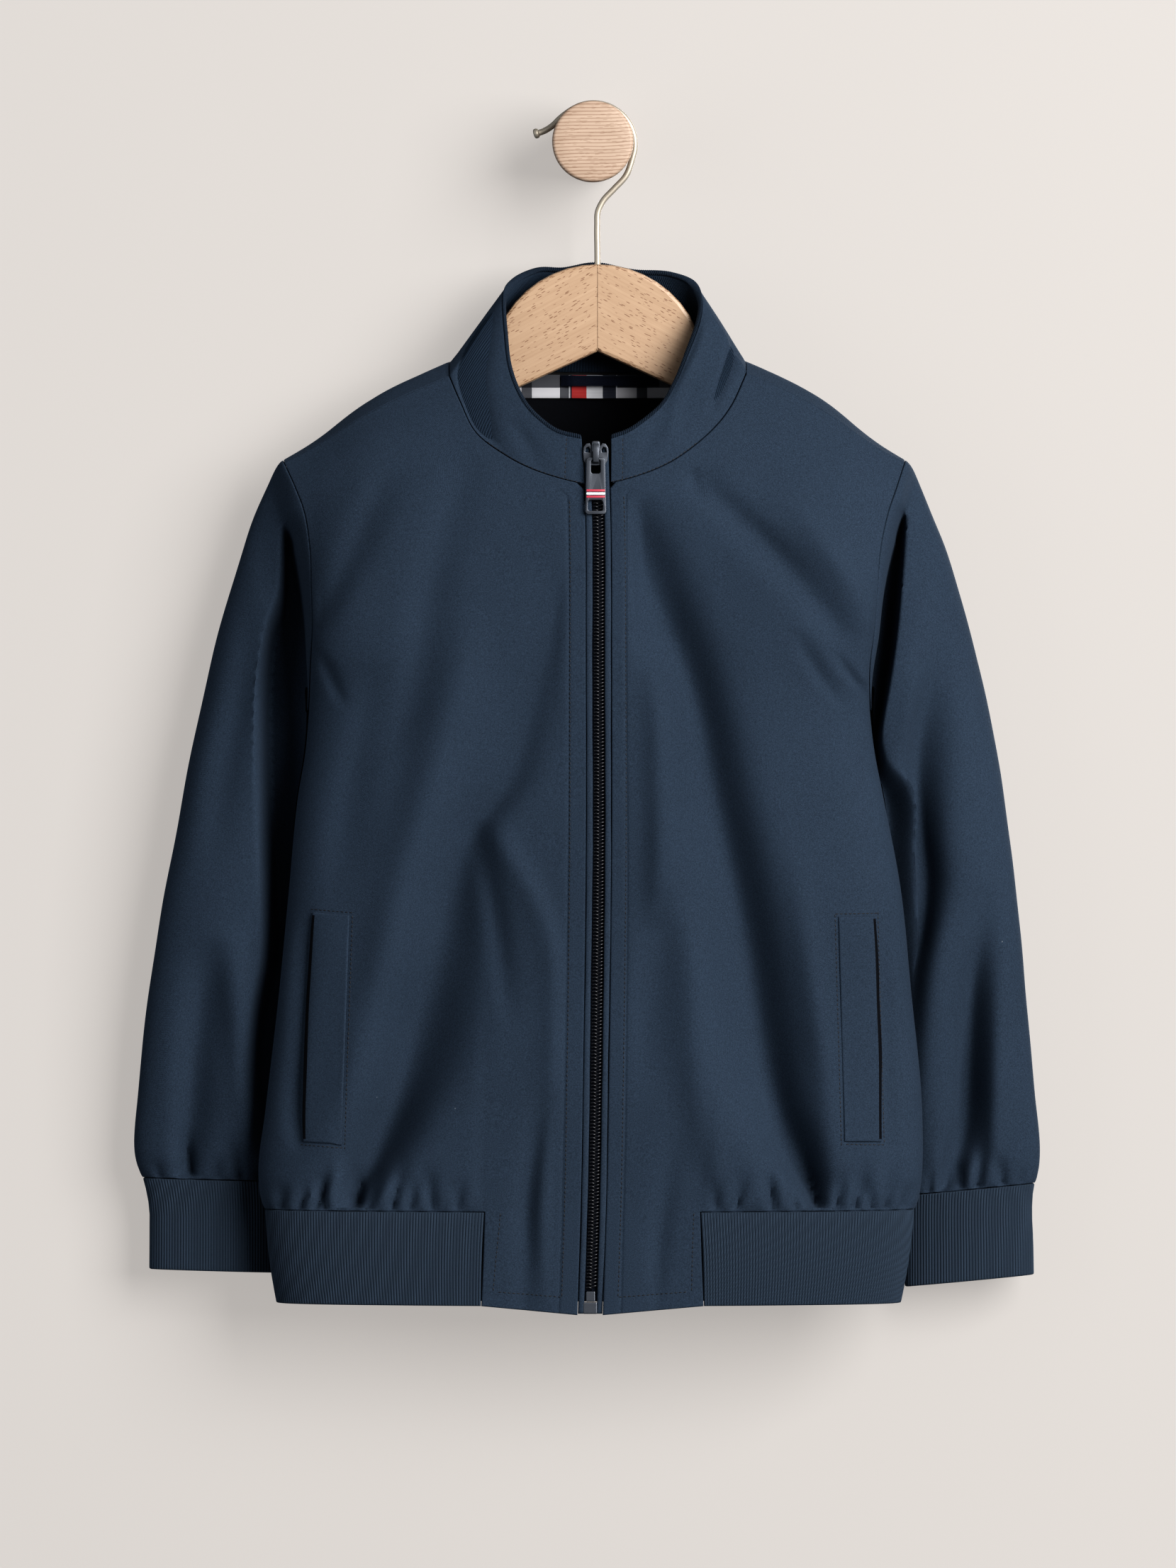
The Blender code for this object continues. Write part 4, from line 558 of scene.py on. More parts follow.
middle_fold = fold_depth(FOLDS["front_right"], np.array([85.0]), np.array([-439.0]))[0]
print(f"the right front's main fold is {middle_fold:.1f} mm deep before it is scaled")

# %% [markdown]
# ## Sleeves
# A sleeve is a tube that starts at the armhole and ends at the cuff. Each ring of it is a flat
# oval, tilted as the arm hangs, with its two ends taken from a table. The front of the upper ring
# stays low beside the body and rises further out, which makes the deep valley next to the side.

# %% Rings of the sleeves
# One row per ring. in_ and out_ are its ends by the body and at the outline; front and back are
# how far it swells; the front stays low until `open` of the way out, and rises over `ramp`.
RING = "v in_x in_z out_x out_z in_y out_y front back bow open ramp"
RINGS = {
    "left": table(
        RING,
        (0.06, -153.1, -308.5, -175.2, -184.6, -45.0, -34, 13, 17, 5, 0.68, 0.14),
        (0.12, -153.4, -313.0, -182.8, -201.7, -45, -30, 15, 19, 4, 0.54, 0.14),
        (0.20, -154.1, -321.8, -189.9, -222.2, -44, -27, 18, 22, 0, 0.49, 0.14),
        (0.30, -155.9, -336.4, -200.6, -257.6, -41, -25, 21, 21, 0, 0.39, 0.19),
        (0.40, -159.0, -357.1, -209.6, -294.4, -37, -24, 22, 20, 0, 0.28, 0.19),
        (0.50, -161.4, -381.8, -217.6, -332.4, -32, -24, 23, 18, 0, 0.18, 0.19),
        (0.60, -162.4, -412.2, -225.8, -376.1, -28, -24, 24, 16, 0, 0.11, 0.18),
        (0.70, -163.7, -445.7, -233.6, -418.7, -25, -24, 23, 14, 0, 0.08, 0.17),
        (0.80, -165.2, -479.9, -240.4, -464.7, -23, -23, 21, 12, 0, 0.15, 0.18),
        (0.90, -166.8, -517.7, -245.0, -513.9, -22, -22, 18, 11, 0, 0.12, 0.18),
        (0.96, -167.6, -545.9, -246.2, -544.7, -21, -21, 15, 10, 0, -0.04, 0.24),
        (1.00, -168.2, -560.9, -243.4, -558.9, -21, -21, 12, 9, 0, -0.30, 0.3),
    ),
    "right": table(
        RING,
        (0.06, 149.4, -308.5, 176.0, -183.6, -45.0, -34, 15, 17, 5, 0.72, 0.14),
        (0.12, 149.8, -313.2, 183.4, -200.9, -45, -30, 19, 19, 3, 0.42, 0.14),
        (0.20, 150.9, -322.7, 191.9, -222.2, -44, -27, 22, 22, 0, 0.03, 0.14),
        (0.30, 153.3, -338.1, 202.6, -258.7, -41, -25, 22, 21, 0, -0.10, 0.2),
        (0.40, 157.3, -359.0, 211.5, -294.4, -37, -24, 23, 20, 0, -0.04, 0.24),
        (0.50, 160.0, -383.7, 219.2, -333.2, -32, -24, 24, 18, 0, -0.10, 0.24),
        (0.60, 161.6, -414.1, 225.5, -376.1, -28, -24, 24, 16, 0, -0.12, 0.24),
        (0.70, 163.5, -446.4, 230.2, -419.8, -25, -24, 23, 14, 0, -0.14, 0.24),
        (0.80, 165.5, -480.6, 234.4, -465.4, -23, -23, 21, 12, 0, -0.16, 0.24),
        (0.90, 167.0, -519.8, 238.3, -513.9, -22, -22, 18, 11, 0, -0.20, 0.24),
        (0.96, 167.9, -550.4, 240.6, -544.7, -21, -21, 15, 10, 0, -0.25, 0.24),
        (1.00, 168.8, -568.4, 239.0, -561.9, -21, -21, 12, 9, 0, -0.30, 0.24),
    ),
}
FIRST_RING = 0.06
BOXY = 0.33  # 0.5 is an oval ring, and less is a flatter one
CUFF = table(
    "down left right",
    (0, 0, 0),
    (6, 1.6, -1),
    (16, 3.4, -1.4),
    (30, 3.6, -0.8),
    (CUFF_DEEP, 3.5, -0.4),
)
for side, rows in RINGS.items():
    print(side, "sleeve is", abs(rows["out_x"][6] - rows["in_x"][6]), "mm wide at its middle")

# %% From the armhole to the rings
def armhole(side, u):
    """The armhole at u, from the underarm up its front edge to the shoulder and down its back.

    It gives the point, the way that the sleeve's cloth leaves it, and the row t of the body there.
    """
    front = (u <= 0.5)[..., None]
    t = ARM_T + (1 - ARM_T) * (1 - np.abs(1 - 2 * u))
    at, way, start = (
        np.where(front, edge("front", side, t), edge("back", side, t))
        for edge in (outer_edge, end_way, inner_edge)
    )
    fall = (at[..., 2] - start[..., 2]) / np.maximum(np.abs(at[..., 0] - start[..., 0]), 1)
    way[..., 2] = fall * np.abs(way[..., 0])
    low = ease((0.8 - t) / 0.28)[..., None]
    outward = points(SIDES[side] * np.ones(np.shape(u)), 0.0, -0.2)
    return at, unit(mix(unit(way), outward, low)), t


def round_share(u):
    """How far out a point is on a ring: 0 by the body, 1 at the outline, 0 again."""
    return (1 - np.cos(2 * np.pi * u)) / 2


def ring_share(side, u, v):
    """How far out u is on its ring: as high as on the armhole at first, and then even."""
    height = armhole(side, u)[0][..., 2]
    low, high = ARMHOLE_FRONT["z"][0], ARMHOLE_FRONT["z"][-1]
    by_height = np.clip((height - low) / (high - low), 0, 1)
    return by_height + (round_share(u) - by_height) * ease((v - FIRST_RING) / 0.3)


def ring(side, u, v):
    """The smooth outer side of the sleeve past its first ring."""
    rows = RINGS[side]
    share = ring_share(side, u, v)
    swell = np.sin(np.pi * share) ** (BOXY + 0.15 * ease((0.2 - v) / 0.14))
    floor = 0.06 - 0.6 * ease((0.95 - v) / 0.3)
    lift = floor + (1 - floor) * ease((share - read(rows, "open", v)) / read(rows, "ramp", v))
    x, y, z = (mix(read(rows, "in_" + a, v), read(rows, "out_" + a, v), share) for a in "xyz")
    bow = read(rows, "bow", v) * np.where(u <= 0.5, 1.0, 0.1)
    x = x - SIDES[side] * bow * np.sin(np.pi * share)
    y = y + np.where(u <= 0.5, -read(rows, "front", v) * lift, read(rows, "back", v)) * swell
    return points(x, y, z)


def sleeve_base(side, v, u):
    """The smooth outer side of a sleeve, at rings v and shares u of a ring."""
    shape = np.broadcast(v, u).shape
    v = np.broadcast_to(v, shape)
    u = np.broadcast_to(u, shape) % 1.0
    step = 0.004
    a, way, t = armhole(side, u)
    a = a + way * SEAM_GAP / 2
    b = ring(side, u, np.full(shape, FIRST_RING))
    slope = (ring(side, u, np.full(shape, FIRST_RING + step)) - b) / step * FIRST_RING
    high = ease((t - 0.55) / 0.2)
    reach = np.where(u <= 0.5, 6 + 26 * high - 20 * ease((t - 0.88) / 0.1), 6 + 6 * high)
    w = np.clip(v / FIRST_RING, 0, 1)[..., None]
    cap = (
        a * (1 + 2 * w) * (1 - w) ** 2
        + b * w * w * (3 - 2 * w)
        + way * reach[..., None] * w * (1 - w) ** 2
        + slope * w * w * (w - 1)
    )
    return np.where((v < FIRST_RING)[..., None], cap, ring(side, u, v))


def cuff_seam_z(side, x):
    """Height of the cuff seam across the sleeve."""
    end = {name: column[-1] for name, column in RINGS[side].items()}
    share = (x - end["in_x"]) / (end["out_x"] - end["in_x"])
    return end["in_z"] + (end["out_z"] - end["in_z"]) * share


print("cuff seams at", [round(float(cuff_seam_z(side, SIDES[side] * 205)), 1) for side in SIDES])

# %% Collar
QUARTERS = (("front", "left"), ("back", "left"), ("back", "right"), ("front", "right"))
# The collar's top edge, from the left front round the back to the right front; swell is how far
# its outer side stands out between the seam and the edge.
COLLAR_TOP = table(
    "s x y z swell",
    (0.000, -6.2, -84.0, -160.3, 0.3),
    (0.045, -20.6, -82.0, -156.1, 0.8),
    (0.070, -27.6, -80.0, -151.0, 1.2),
    (0.120, -38.2, -74.0, -138.6, 2.0),
    (0.165, -44.8, -66.0, -121.5, 2.4),
    (0.205, -47.0, -58.0, -103.7, 2.0),
    (0.250, -48.0, -48.5, -82.5, 1.0),
    (0.295, -43.0, -38.0, -73.8, 0.0),
    (0.340, -32.5, -28.0, -68.4, 0.0),
    (0.405, -17.5, -22.0, -67.9, 0.8),
    (0.500, 2.5, -20.0, -65.2, 1.2),
    (0.580, 23.1, -22.0, -69.0, 0.8),
    (0.650, 43.6, -28.0, -70.6, 0.0),
    (0.700, 55.0, -37.0, -75.5, 0.0),
    (0.745, 58.5, -47.0, -84.5, 1.0),
    (0.790, 57.0, -55.0, -96.5, 2.0),
    (0.835, 51.0, -63.5, -113.2, 2.4),
    (0.880, 44.0, -71.0, -130.3, 2.0),
    (0.930, 34.0, -78.0, -145.5, 1.2),
    (0.955, 23.1, -81.5, -154.2, 0.8),
    (1.000, 9.8, -84.0, -160.3, 0.3),
)


def neck_seam(s):
    """The neck seam from the left front's edge (0) round the back (0.5) to the right's (1)."""
    quarter = np.clip((s * 4).astype(int), 0, 3)
    part = s * 4 - quarter
    at = np.zeros(np.shape(s) + (3,))
    for n, (face, side) in enumerate(QUARTERS):
        along = part if n in (0, 2) else 1 - part
        t = NECK_T + (1 - NECK_T) * along
        at = np.where((quarter == n)[..., None], inner_edge(face, side, t), at)
    return at


def collar_base(s, r):
    """The collar's outer side at s along the neck seam and r of its height."""
    s = np.clip(s, 0, 1)
    top = points(*(read(COLLAR_TOP, name, s) for name in "xyz"))
    foot = neck_seam(s)
    r = np.asarray(r)[..., None]
    at = foot + (top - foot) * r
    away = unit((at - points(2.5, -45.0, 0.0)) * (1, 1, 0))
    return at + away * read(COLLAR_TOP, "swell", s)[..., None] * 4 * r * (1 - r)


def neck_line(x):
    """Height of the back's neck seam over x."""
    seam_x, seam_z = (
        np.append(NECK_BACK[start + "left"][4::-1], NECK_BACK[start + "right"][1:5])
        for start in ("", "z_")
    )
    return np.interp(x, seam_x, seam_z)


print(f"the back of the collar is {COLLAR_TOP['z'][10] - neck_line(2.5):.0f} mm tall")

# %% [markdown]
# ## From a grid of points to cloth
# Each cloth piece is a grid of points on its outer side. The folds push a point along the normal
# of the smooth grid, and the last millimetre at each edge rolls in, as a turned seam does. A
# second grid, one cloth thickness further in, and a rim close the piece. Its UV map is its length
# in metres along and across, so that weave and ribs come out at their real size.

# %% Directions and lengths on a grid
PIECES = {}  # the grids that later pieces, such as stitches, follow


def normals(at, sign, closed=False):
    """Unit normals of a grid of points."""
    if closed:
        along = np.roll(at, -1, axis=1) - np.roll(at, 1, axis=1)
    else:
        along = np.gradient(at, axis=1)
    return unit(np.cross(np.gradient(at, axis=0), along)) * sign


def lengths(at, closed=False):
    """Lengths along each row, with one more column on a tube, and down each column."""
    row = np.concatenate([at, at[:, :1]], axis=1) if closed else at
    return run(row.swapaxes(0, 1)).T, run(at)


def from_ends(long):
    """Distance from the nearer end, for lengths down the columns of a grid."""
    return np.minimum(long, long[-1:] - long)


def edge_distance(at, closed=False):
    """Distance of each point of a grid from its nearest edge."""
    along, down = lengths(at, closed)
    return from_ends(down) if closed else np.minimum(from_ends(down), from_ends(along.T).T)


def rolled(distance, radius):
    """How far a turned edge falls back at a distance from it."""
    reach = np.clip(radius - distance, 0, radius)
    return radius - np.sqrt(radius**2 - reach**2)


def turn_edges(at, out, radius, closed=False):
    return at - out * rolled(edge_distance(at, closed), radius)[..., None]


def facing_front(out):
    """Normals, all turned towards the front."""
    return out * -np.sign(out[..., 1:2])


def spaced(long, step, fine=(0.0, 0.15, 0.35, 0.6, 1.0, 1.6)):
    """Distances along a length: close together at both ends and even between."""
    middle = np.arange(fine[-1] + step, long - fine[-1] - step * 0.4, step)
    ends = np.array(fine)
    return np.concatenate([ends, middle, long - ends[::-1]])


print("a 20 mm row gets points at", spaced(20.0, 5.0))

# %% Objects and faces
def in_scene(name, data):
    made = bpy.data.objects.new(name, data)
    bpy.context.scene.collection.objects.link(made)
    return made


def mesh_object(name, at, faces, material, angle=60):
    """A smooth-shaded object of points in millimetres, which rides on the jacket."""
    data = bpy.data.meshes.new(name)
    faces = faces.tolist() if isinstance(faces, np.ndarray) else faces
    data.from_pydata((np.asarray(at) * MM).tolist(), [], faces)
    data.materials.append(material)
    data.shade_smooth()
    data.set_sharp_from_angle(angle=math.radians(angle))
    made = in_scene(name, data)
    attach(made, "jacket")
    return made


def cells(grid):
    """The four corners of each cell of a grid."""
    return np.stack([grid[:-1, :-1], grid[:-1, 1:], grid[1:, 1:], grid[1:, :-1]], axis=-1)


def tube_faces(rings, corners, first=0):
    """Faces of a tube: its points are rings of corners, and both its ends are closed."""
    index = first + np.arange(rings * corners).reshape(rings, corners)
    after = np.roll(index, -1, axis=1)
    quads = np.stack([index[:-1], after[:-1], after[1:], index[1:]], axis=-1).reshape(-1, 4)
    return quads.tolist() + [index[0, ::-1].tolist(), index[-1].tolist()]


def turn_faces_out(data):
    clean = bmesh.new()
    clean.from_mesh(data)
    bmesh.ops.recalc_face_normals(clean, faces=clean.faces[:])
    clean.to_mesh(data)
    clean.free()


print("one cell of four points:", cells(np.arange(4).reshape(2, 2)).tolist())

# %% A closed shell of cloth
def shell(
    name, at, out, thick, material, slot, closed=False, keep=None, same=None, lining=None, dark=None
):
    """A cloth piece from its grid. keep drops cells, same welds vertices of the grid, and dark
    cells take the lining material, which paints shade on them."""
    along, down = lengths(at, closed)
    PIECES[name] = {"at": at, "along": along, "down": down}
    index = np.arange(at[..., 0].size).reshape(at.shape[:2])
    if same is not None:
        index = same(index)
    if closed:
        index, down = (np.concatenate([grid, grid[:, :1]], axis=1) for grid in (index, down))
    quads, maps, maps_v = cells(index), cells(along), cells(down)
    mask = quads[..., 0] != quads[..., 1]
    if keep is not None:
        mask &= keep
    quads, maps, maps_v = quads[mask], maps[mask], maps_v[mask]
    flat, flat_out = at.reshape(-1, 3), out.reshape(-1, 3)
    a, b, c = (flat[quads[:, n]] for n in (0, 1, 2))
    if (np.cross(b - a, c - a) * flat_out[quads[:, 0]]).sum() < 0:
        quads, maps, maps_v = quads[:, ::-1], maps[:, ::-1], maps_v[:, ::-1]
    count = len(flat)
    edges = np.stack([quads, np.roll(quads, -1, axis=1)], axis=-1).reshape(-1, 2)
    _, first, times = np.unique(
        np.sort(edges, axis=1), axis=0, return_index=True, return_counts=True
    )
    rim = edges[first[times == 1]]
    rims = np.stack([rim[:, 1], rim[:, 0], rim[:, 0] + count, rim[:, 1] + count], axis=-1)
    faces = np.concatenate([quads, quads[:, ::-1] + count, rims])
    point_u, point_v = np.zeros(count * 2), np.zeros(count * 2)
    for shift in (0, count):
        point_u[quads + shift], point_v[quads + shift] = maps, maps_v
    uv_u = np.concatenate([maps, maps[:, ::-1], point_u[rims]])
    uv_v = np.concatenate([maps_v, maps_v[:, ::-1], point_v[rims]])
    both = np.concatenate([flat, flat - flat_out * thick])
    used, faces_flat = np.unique(faces, return_inverse=True)
    made = mesh_object(name, both[used], faces_flat.reshape(-1, 4), material)
    if lining is not None:
        made.data.materials.append(lining)
        kind = np.repeat([0, 1, 0], [len(quads), len(quads), len(rims)])
        if dark is not None:
            kind[: len(quads)] = dark[mask]
        made.data.polygons.foreach_set("material_index", kind.astype(np.int32))
    layer = made.data.uv_layers.new(name="cloth")
    uv = np.stack([uv_u.ravel(), uv_v.ravel()], axis=-1) * MM
    layer.data.foreach_set("uv", uv.ravel())
    print(f"{name}: {len(faces) * 2} triangles")
    return made

# %% [markdown]
# ## Materials
# The twill is nearly black-blue and matt, with a faint sheen at a low angle and a fine diagonal
# weave. Knit ribs, tape, wood and wire each get their own. Effects that more than one material
# shares, the weave, the slight unevenness of dye and the grain of wood, are node groups built once.

# %% Small tools for shader nodes
FULL_TURN = 6.2832  # in radians


def link(tree, start, end):
    tree.links.new(start, end)


def node(tree, kind, inputs=None, **settings):
    """A node with its settings and inputs; an input that is a socket is linked."""
    made = tree.nodes.new(kind)
    for key, value in settings.items():
        setattr(made, key, value)
    for key, value in (inputs or {}).items():
        if isinstance(value, bpy.types.NodeSocket):
            link(tree, value, made.inputs[key])
        else:
            made.inputs[key].default_value = value
    return made


def mathn(tree, operation, a, b=0.0, c=0.0):
    inputs = {0: a, 1: b, 2: c} if operation == "MULTIPLY_ADD" else {0: a, 1: b}
    return node(tree, "ShaderNodeMath", inputs, operation=operation).outputs[0]


def times(tree, a, b):
    return mathn(tree, "MULTIPLY", a, b)


def wave(tree, value, step):
    """A sine that repeats every step."""
    return mathn(tree, "SINE", times(tree, value, FULL_TURN / step))


def noise(tree, vector, scale, detail=2.0, **more):
    inputs = {"Vector": vector, "Scale": scale, "Detail": detail, **more}
    return node(tree, "ShaderNodeTexNoise", inputs).outputs["Fac"]


def toned(tree, colour, tone):
    """A colour made lighter or darker by a factor."""
    inputs = {0: colour, "Scale": tone}
    return node(tree, "ShaderNodeVectorMath", inputs, operation="SCALE").outputs[0]


def over(tree, share, low, high):
    """A share of one colour over another."""
    return node(tree, "ShaderNodeMix", {0: share, 6: low, 7: high}, data_type="RGBA").outputs[2]


def spots(tree, vector, scale, size, rare, channel):
    """1 in the middle of some of the cells that a Voronoi texture makes, else 0."""
    made = node(tree, "ShaderNodeTexVoronoi", {"Vector": vector, "Scale": scale}, feature="F1")
    near = mathn(tree, "LESS_THAN", made.outputs["Distance"], size)
    lot = node(tree, "ShaderNodeSeparateColor", {0: made.outputs["Color"]}).outputs[channel]
    return times(tree, near, mathn(tree, "GREATER_THAN", lot, rare))


def axes(tree, vector):
    return node(tree, "ShaderNodeSeparateXYZ", {0: vector}).outputs


def object_place(tree):
    return node(tree, "ShaderNodeTexCoord").outputs["Object"]


def cloth_map(tree):
    return node(tree, "ShaderNodeUVMap", uv_map="cloth").outputs[0]


print("node tools ready")

# %% Groups and materials
def group(name, inputs, outputs):
    """An empty node group with named inputs and outputs; a colour's value has four numbers."""
    made = bpy.data.node_groups.new(name, "ShaderNodeTree")
    for title, kind, value in inputs:
        socket = made.interface.new_socket(
            title, in_out="INPUT", socket_type="NodeSocket" + kind
        )
        if value is not None:
            socket.default_value = value
    for title, kind in outputs:
        made.interface.new_socket(title, in_out="OUTPUT", socket_type="NodeSocket" + kind)
    start, end = made.nodes.new("NodeGroupInput"), made.nodes.new("NodeGroupOutput")
    return made, start.outputs, end.inputs


def use(tree, made, inputs):
    """A node group placed in a material."""
    return node(tree, "ShaderNodeGroup", inputs, node_tree=made).outputs


def material(name, **sockets):
    """A Principled material with its constants set on the shader's own sockets."""
    made = bpy.data.materials.new(name)
    made.use_nodes = True
    shader = made.node_tree.nodes["Principled BSDF"]
    for title, value in sockets.items():
        shader.inputs[title.replace("_", " ")].default_value = value
    return made, made.node_tree, shader


def bumped(tree, shader, height, strength, distance):
    inputs = {"Height": height, "Strength": strength, "Distance": distance}
    link(tree, node(tree, "ShaderNodeBump", inputs).outputs[0], shader.inputs["Normal"])


print("group and material tools ready")

# %% Weave: a fine twill as height
WEAVE, given, result = group(
    "twill weave",
    [("Map", "Vector", None), ("Pitch", "Float", 0.00055)],
    [("Height", "Float"), ("Thread", "Float")],
)
u, v = axes(WEAVE, given["Map"])[:2]
diagonal = mathn(WEAVE, "ADD", u, times(WEAVE, v, 0.6))
turns = mathn(WEAVE, "DIVIDE", times(WEAVE, diagonal, FULL_TURN), given["Pitch"])
line = mathn(WEAVE, "MULTIPLY_ADD", mathn(WEAVE, "SINE", turns), 0.5, 0.5)
across = mathn(WEAVE, "DIVIDE", times(WEAVE, v, FULL_TURN * 1.4), given["Pitch"])
thread = mathn(WEAVE, "MULTIPLY_ADD", mathn(WEAVE, "SINE", across), 0.25, 0.5)
link(WEAVE, times(WEAVE, line, thread), result["Height"])
link(WEAVE, line, result["Thread"])
print("weave group ready")

# %% Dye: cloudy and grainy, with a few specks of lint
DYE, given, result = group(
    "uneven dye",
    [("Colour", "Color", (0.02, 0.03, 0.05, 1)), ("Amount", "Float", 0.12), ("Lint", "Float", 0.5)],
    [("Colour", "Color"), ("Lint", "Float")],
)
place = object_place(DYE)
cloud = times(DYE, noise(DYE, place, 9.0, 3.0), 0.3)
grain = times(DYE, noise(DYE, place, 1500.0), 1.2)
uneven = mathn(DYE, "SUBTRACT", mathn(DYE, "ADD", cloud, grain), 0.75)
tinted = toned(DYE, given["Colour"], mathn(DYE, "MULTIPLY_ADD", uneven, given["Amount"], 1.0))
fluff = times(DYE, spots(DYE, place, 95.0, 0.035, 0.975, 0), given["Lint"])
link(DYE, over(DYE, fluff, tinted, (0.16, 0.18, 0.2, 1)), result["Colour"])
link(DYE, fluff, result["Lint"])
print("dye group ready")

# %% Woven cloth
SHEEN_TINT = (0.55, 0.72, 1.0, 1.0)


def cloth_material(name, colour, roughness, pitch, strength, sheen, lint=0.6):
    made, tree, shader = material(
        name,
        Roughness=roughness,
        Sheen_Weight=sheen,
        Sheen_Roughness=0.45,
        Specular_IOR_Level=0.12,
        Sheen_Tint=SHEEN_TINT,
    )
    weave = use(tree, WEAVE, {"Map": cloth_map(tree), "Pitch": pitch})
    dye = use(tree, DYE, {"Colour": (*colour, 1.0), "Amount": 0.95, "Lint": lint})
    # Painted shade: the colour is a little darker along the low lines of the twill.
    thread = mathn(tree, "MULTIPLY_ADD", weave["Thread"], 0.16, 0.92)
    link(tree, toned(tree, dye["Colour"], thread), shader.inputs["Base Color"])
    fibres = times(tree, noise(tree, cloth_map(tree), 1500.0, 3.0), 0.8)
    bumped(tree, shader, mathn(tree, "ADD", weave["Height"], fibres), strength, 0.00012)
    return made


NAVY, NEAR_BLACK = (0.0280, 0.0415, 0.0620), (0.0030, 0.0036, 0.0060)
TWILL = cloth_material("navy twill", NAVY, 0.9, 0.00055, 0.35, 0.05)
# The near-black lining also serves as painted shade along the openings of the pocket welts.
LINING_AND_PAINTED_SHADE = cloth_material("near-black lining and painted shade", NEAR_BLACK, 0.8, 0.00055, 0.2, 0.0, lint=0.0)
TAPE = cloth_material("navy tape", (0.010, 0.014, 0.024), 0.8, 0.0007, 0.6, 0.05, lint=0.0)
LOOP_TAPE = cloth_material("navy loop", (0.008, 0.011, 0.022), 0.8, 0.0008, 0.6, 0.1, lint=0.0)
FOLDED_EDGE = cloth_material("navy folded edge", NAVY, 0.75, 0.00055, 0.3, 0.04, lint=0.2)
EDGE_NAVY = (0.017, 0.026, 0.040)
EDGE_KNIT = cloth_material("navy knitted edge", EDGE_NAVY, 0.9, 0.0006, 0.5, 0.05, lint=0.0)
print("woven cloths ready")

# %% Knit and thread
LOOP_ROW = 0.0009


def knit_material(name, colour, pitch):
    """Rib knit: the ribs are in the mesh, and the rows of loops are bump and tone; that tone is
    painted shade, darker in the valleys.
    """
    made, tree, shader = material(
        name,
        Roughness=0.85,
        Sheen_Weight=0.05,
        Sheen_Roughness=0.5,
        Specular_IOR_Level=0.2,
        Sheen_Tint=SHEEN_TINT,
    )
    u, v = axes(tree, cloth_map(tree))[:2]
    lean = mathn(tree, "ABSOLUTE", mathn(tree, "SINE", times(tree, u, 3.14159 / pitch)))
    loops = wave(tree, mathn(tree, "MULTIPLY_ADD", lean, -0.0005, v), LOOP_ROW)
    fibres = noise(tree, cloth_map(tree), 1800.0, 3.0)
    height = mathn(tree, "ADD", mathn(tree, "MULTIPLY_ADD", loops, 0.4, 0.4), fibres)
    bumped(tree, shader, height, 0.5, 0.00015)
    dye = use(tree, DYE, {"Colour": (*colour, 1.0), "Amount": 0.3, "Lint": 0.4})
    # Painted shade: the colour is darker in the valleys between the ribs and between rows of loops.
    stitch = times(tree, lean, mathn(tree, "MULTIPLY_ADD", loops, 0.15, 0.85))
    tone = mathn(tree, "MULTIPLY_ADD", stitch, 0.45, 0.7)
    link(tree, toned(tree, dye["Colour"], tone), shader.inputs["Base Color"])
    return made


RIB_KNIT = knit_material("navy rib knit", (0.028, 0.042, 0.062), 0.0016)
COLLAR_KNIT = knit_material("navy collar knit", (0.016, 0.028, 0.046), 0.0012)
# The thread is nearly black, darker than the navy cloth it sews: painted shade that makes the
# stitch rows read as dark dashes.
THREAD, tree, shader = material(
    "navy thread", Base_Color=(0.003, 0.004, 0.008, 1.0), Roughness=0.6, Sheen_Weight=0.05
)
twist = node(tree, "ShaderNodeTexNoise", {"Scale": 2500.0}).outputs["Fac"]
bumped(tree, shader, twist, 0.4, 0.0001)
print("knit and thread ready")

# %% Check cotton
CHECK_STEP = 0.0208
# Painted shade: the check's colour is darkened above this height, for the shade under the collar
# seam.
PAINTED_SEAM_SHADE_Z = -0.1246  # the cotton above this lies in the shade of the seam


def stepped(tree, value, stops):
    """A value from 0 to 1 turned into flat bands of colour."""
    ramp = node(tree, "ShaderNodeValToRGB", {0: value})
    ramp.color_ramp.interpolation = "CONSTANT"
    elements = ramp.color_ramp.elements
    while len(elements) < len(stops):
        elements.new(0.5)
    for element, (at, colour) in zip(elements, stops):
        element.position = at
        element.color = (*colour, 1.0)
    return ramp.outputs[0]


def check_material():
    """White cotton with black stripes both ways; where two cross it is black, else grey. Along
    its top the colour is darkened as painted shade.
    """
    made, tree, shader = material("check cotton", Roughness=0.85, Sheen_Weight=0.1)
    place = axes(tree, object_place(tree))
    dark = []
    for axis, edge, share in ((0, 0.0030, 0.27), (2, -0.1316, 0.56)):
        moved = mathn(tree, "ADD", place[axis], 20 * CHECK_STEP - edge)
        turned = mathn(tree, "FRACT", mathn(tree, "DIVIDE", moved, CHECK_STEP))
        dark.append(mathn(tree, "LESS_THAN", turned, share))
    total = times(tree, mathn(tree, "ADD", *dark), 0.5)
    white, grey, black = (0.50, 0.50, 0.53), (0.075, 0.078, 0.090), (0.010, 0.011, 0.016)
    colour = stepped(tree, total, ((0.0, white), (0.4, grey), (0.9, black)))
    # Painted shade: above the seam line the colour is darkened nearly to black.
    shaded = mathn(tree, "GREATER_THAN", place[2], PAINTED_SEAM_SHADE_Z)
    tone = mathn(tree, "MULTIPLY_ADD", shaded, -0.96, 1.0)
    link(tree, toned(tree, colour, tone), shader.inputs["Base Color"])
    weave = use(tree, WEAVE, {"Map": cloth_map(tree), "Pitch": 0.0006})
    bumped(tree, shader, weave["Height"], 0.5, 0.0001)
    return made


CHECK = check_material()
print("check of", CHECK_STEP * 1000, "mm ready")

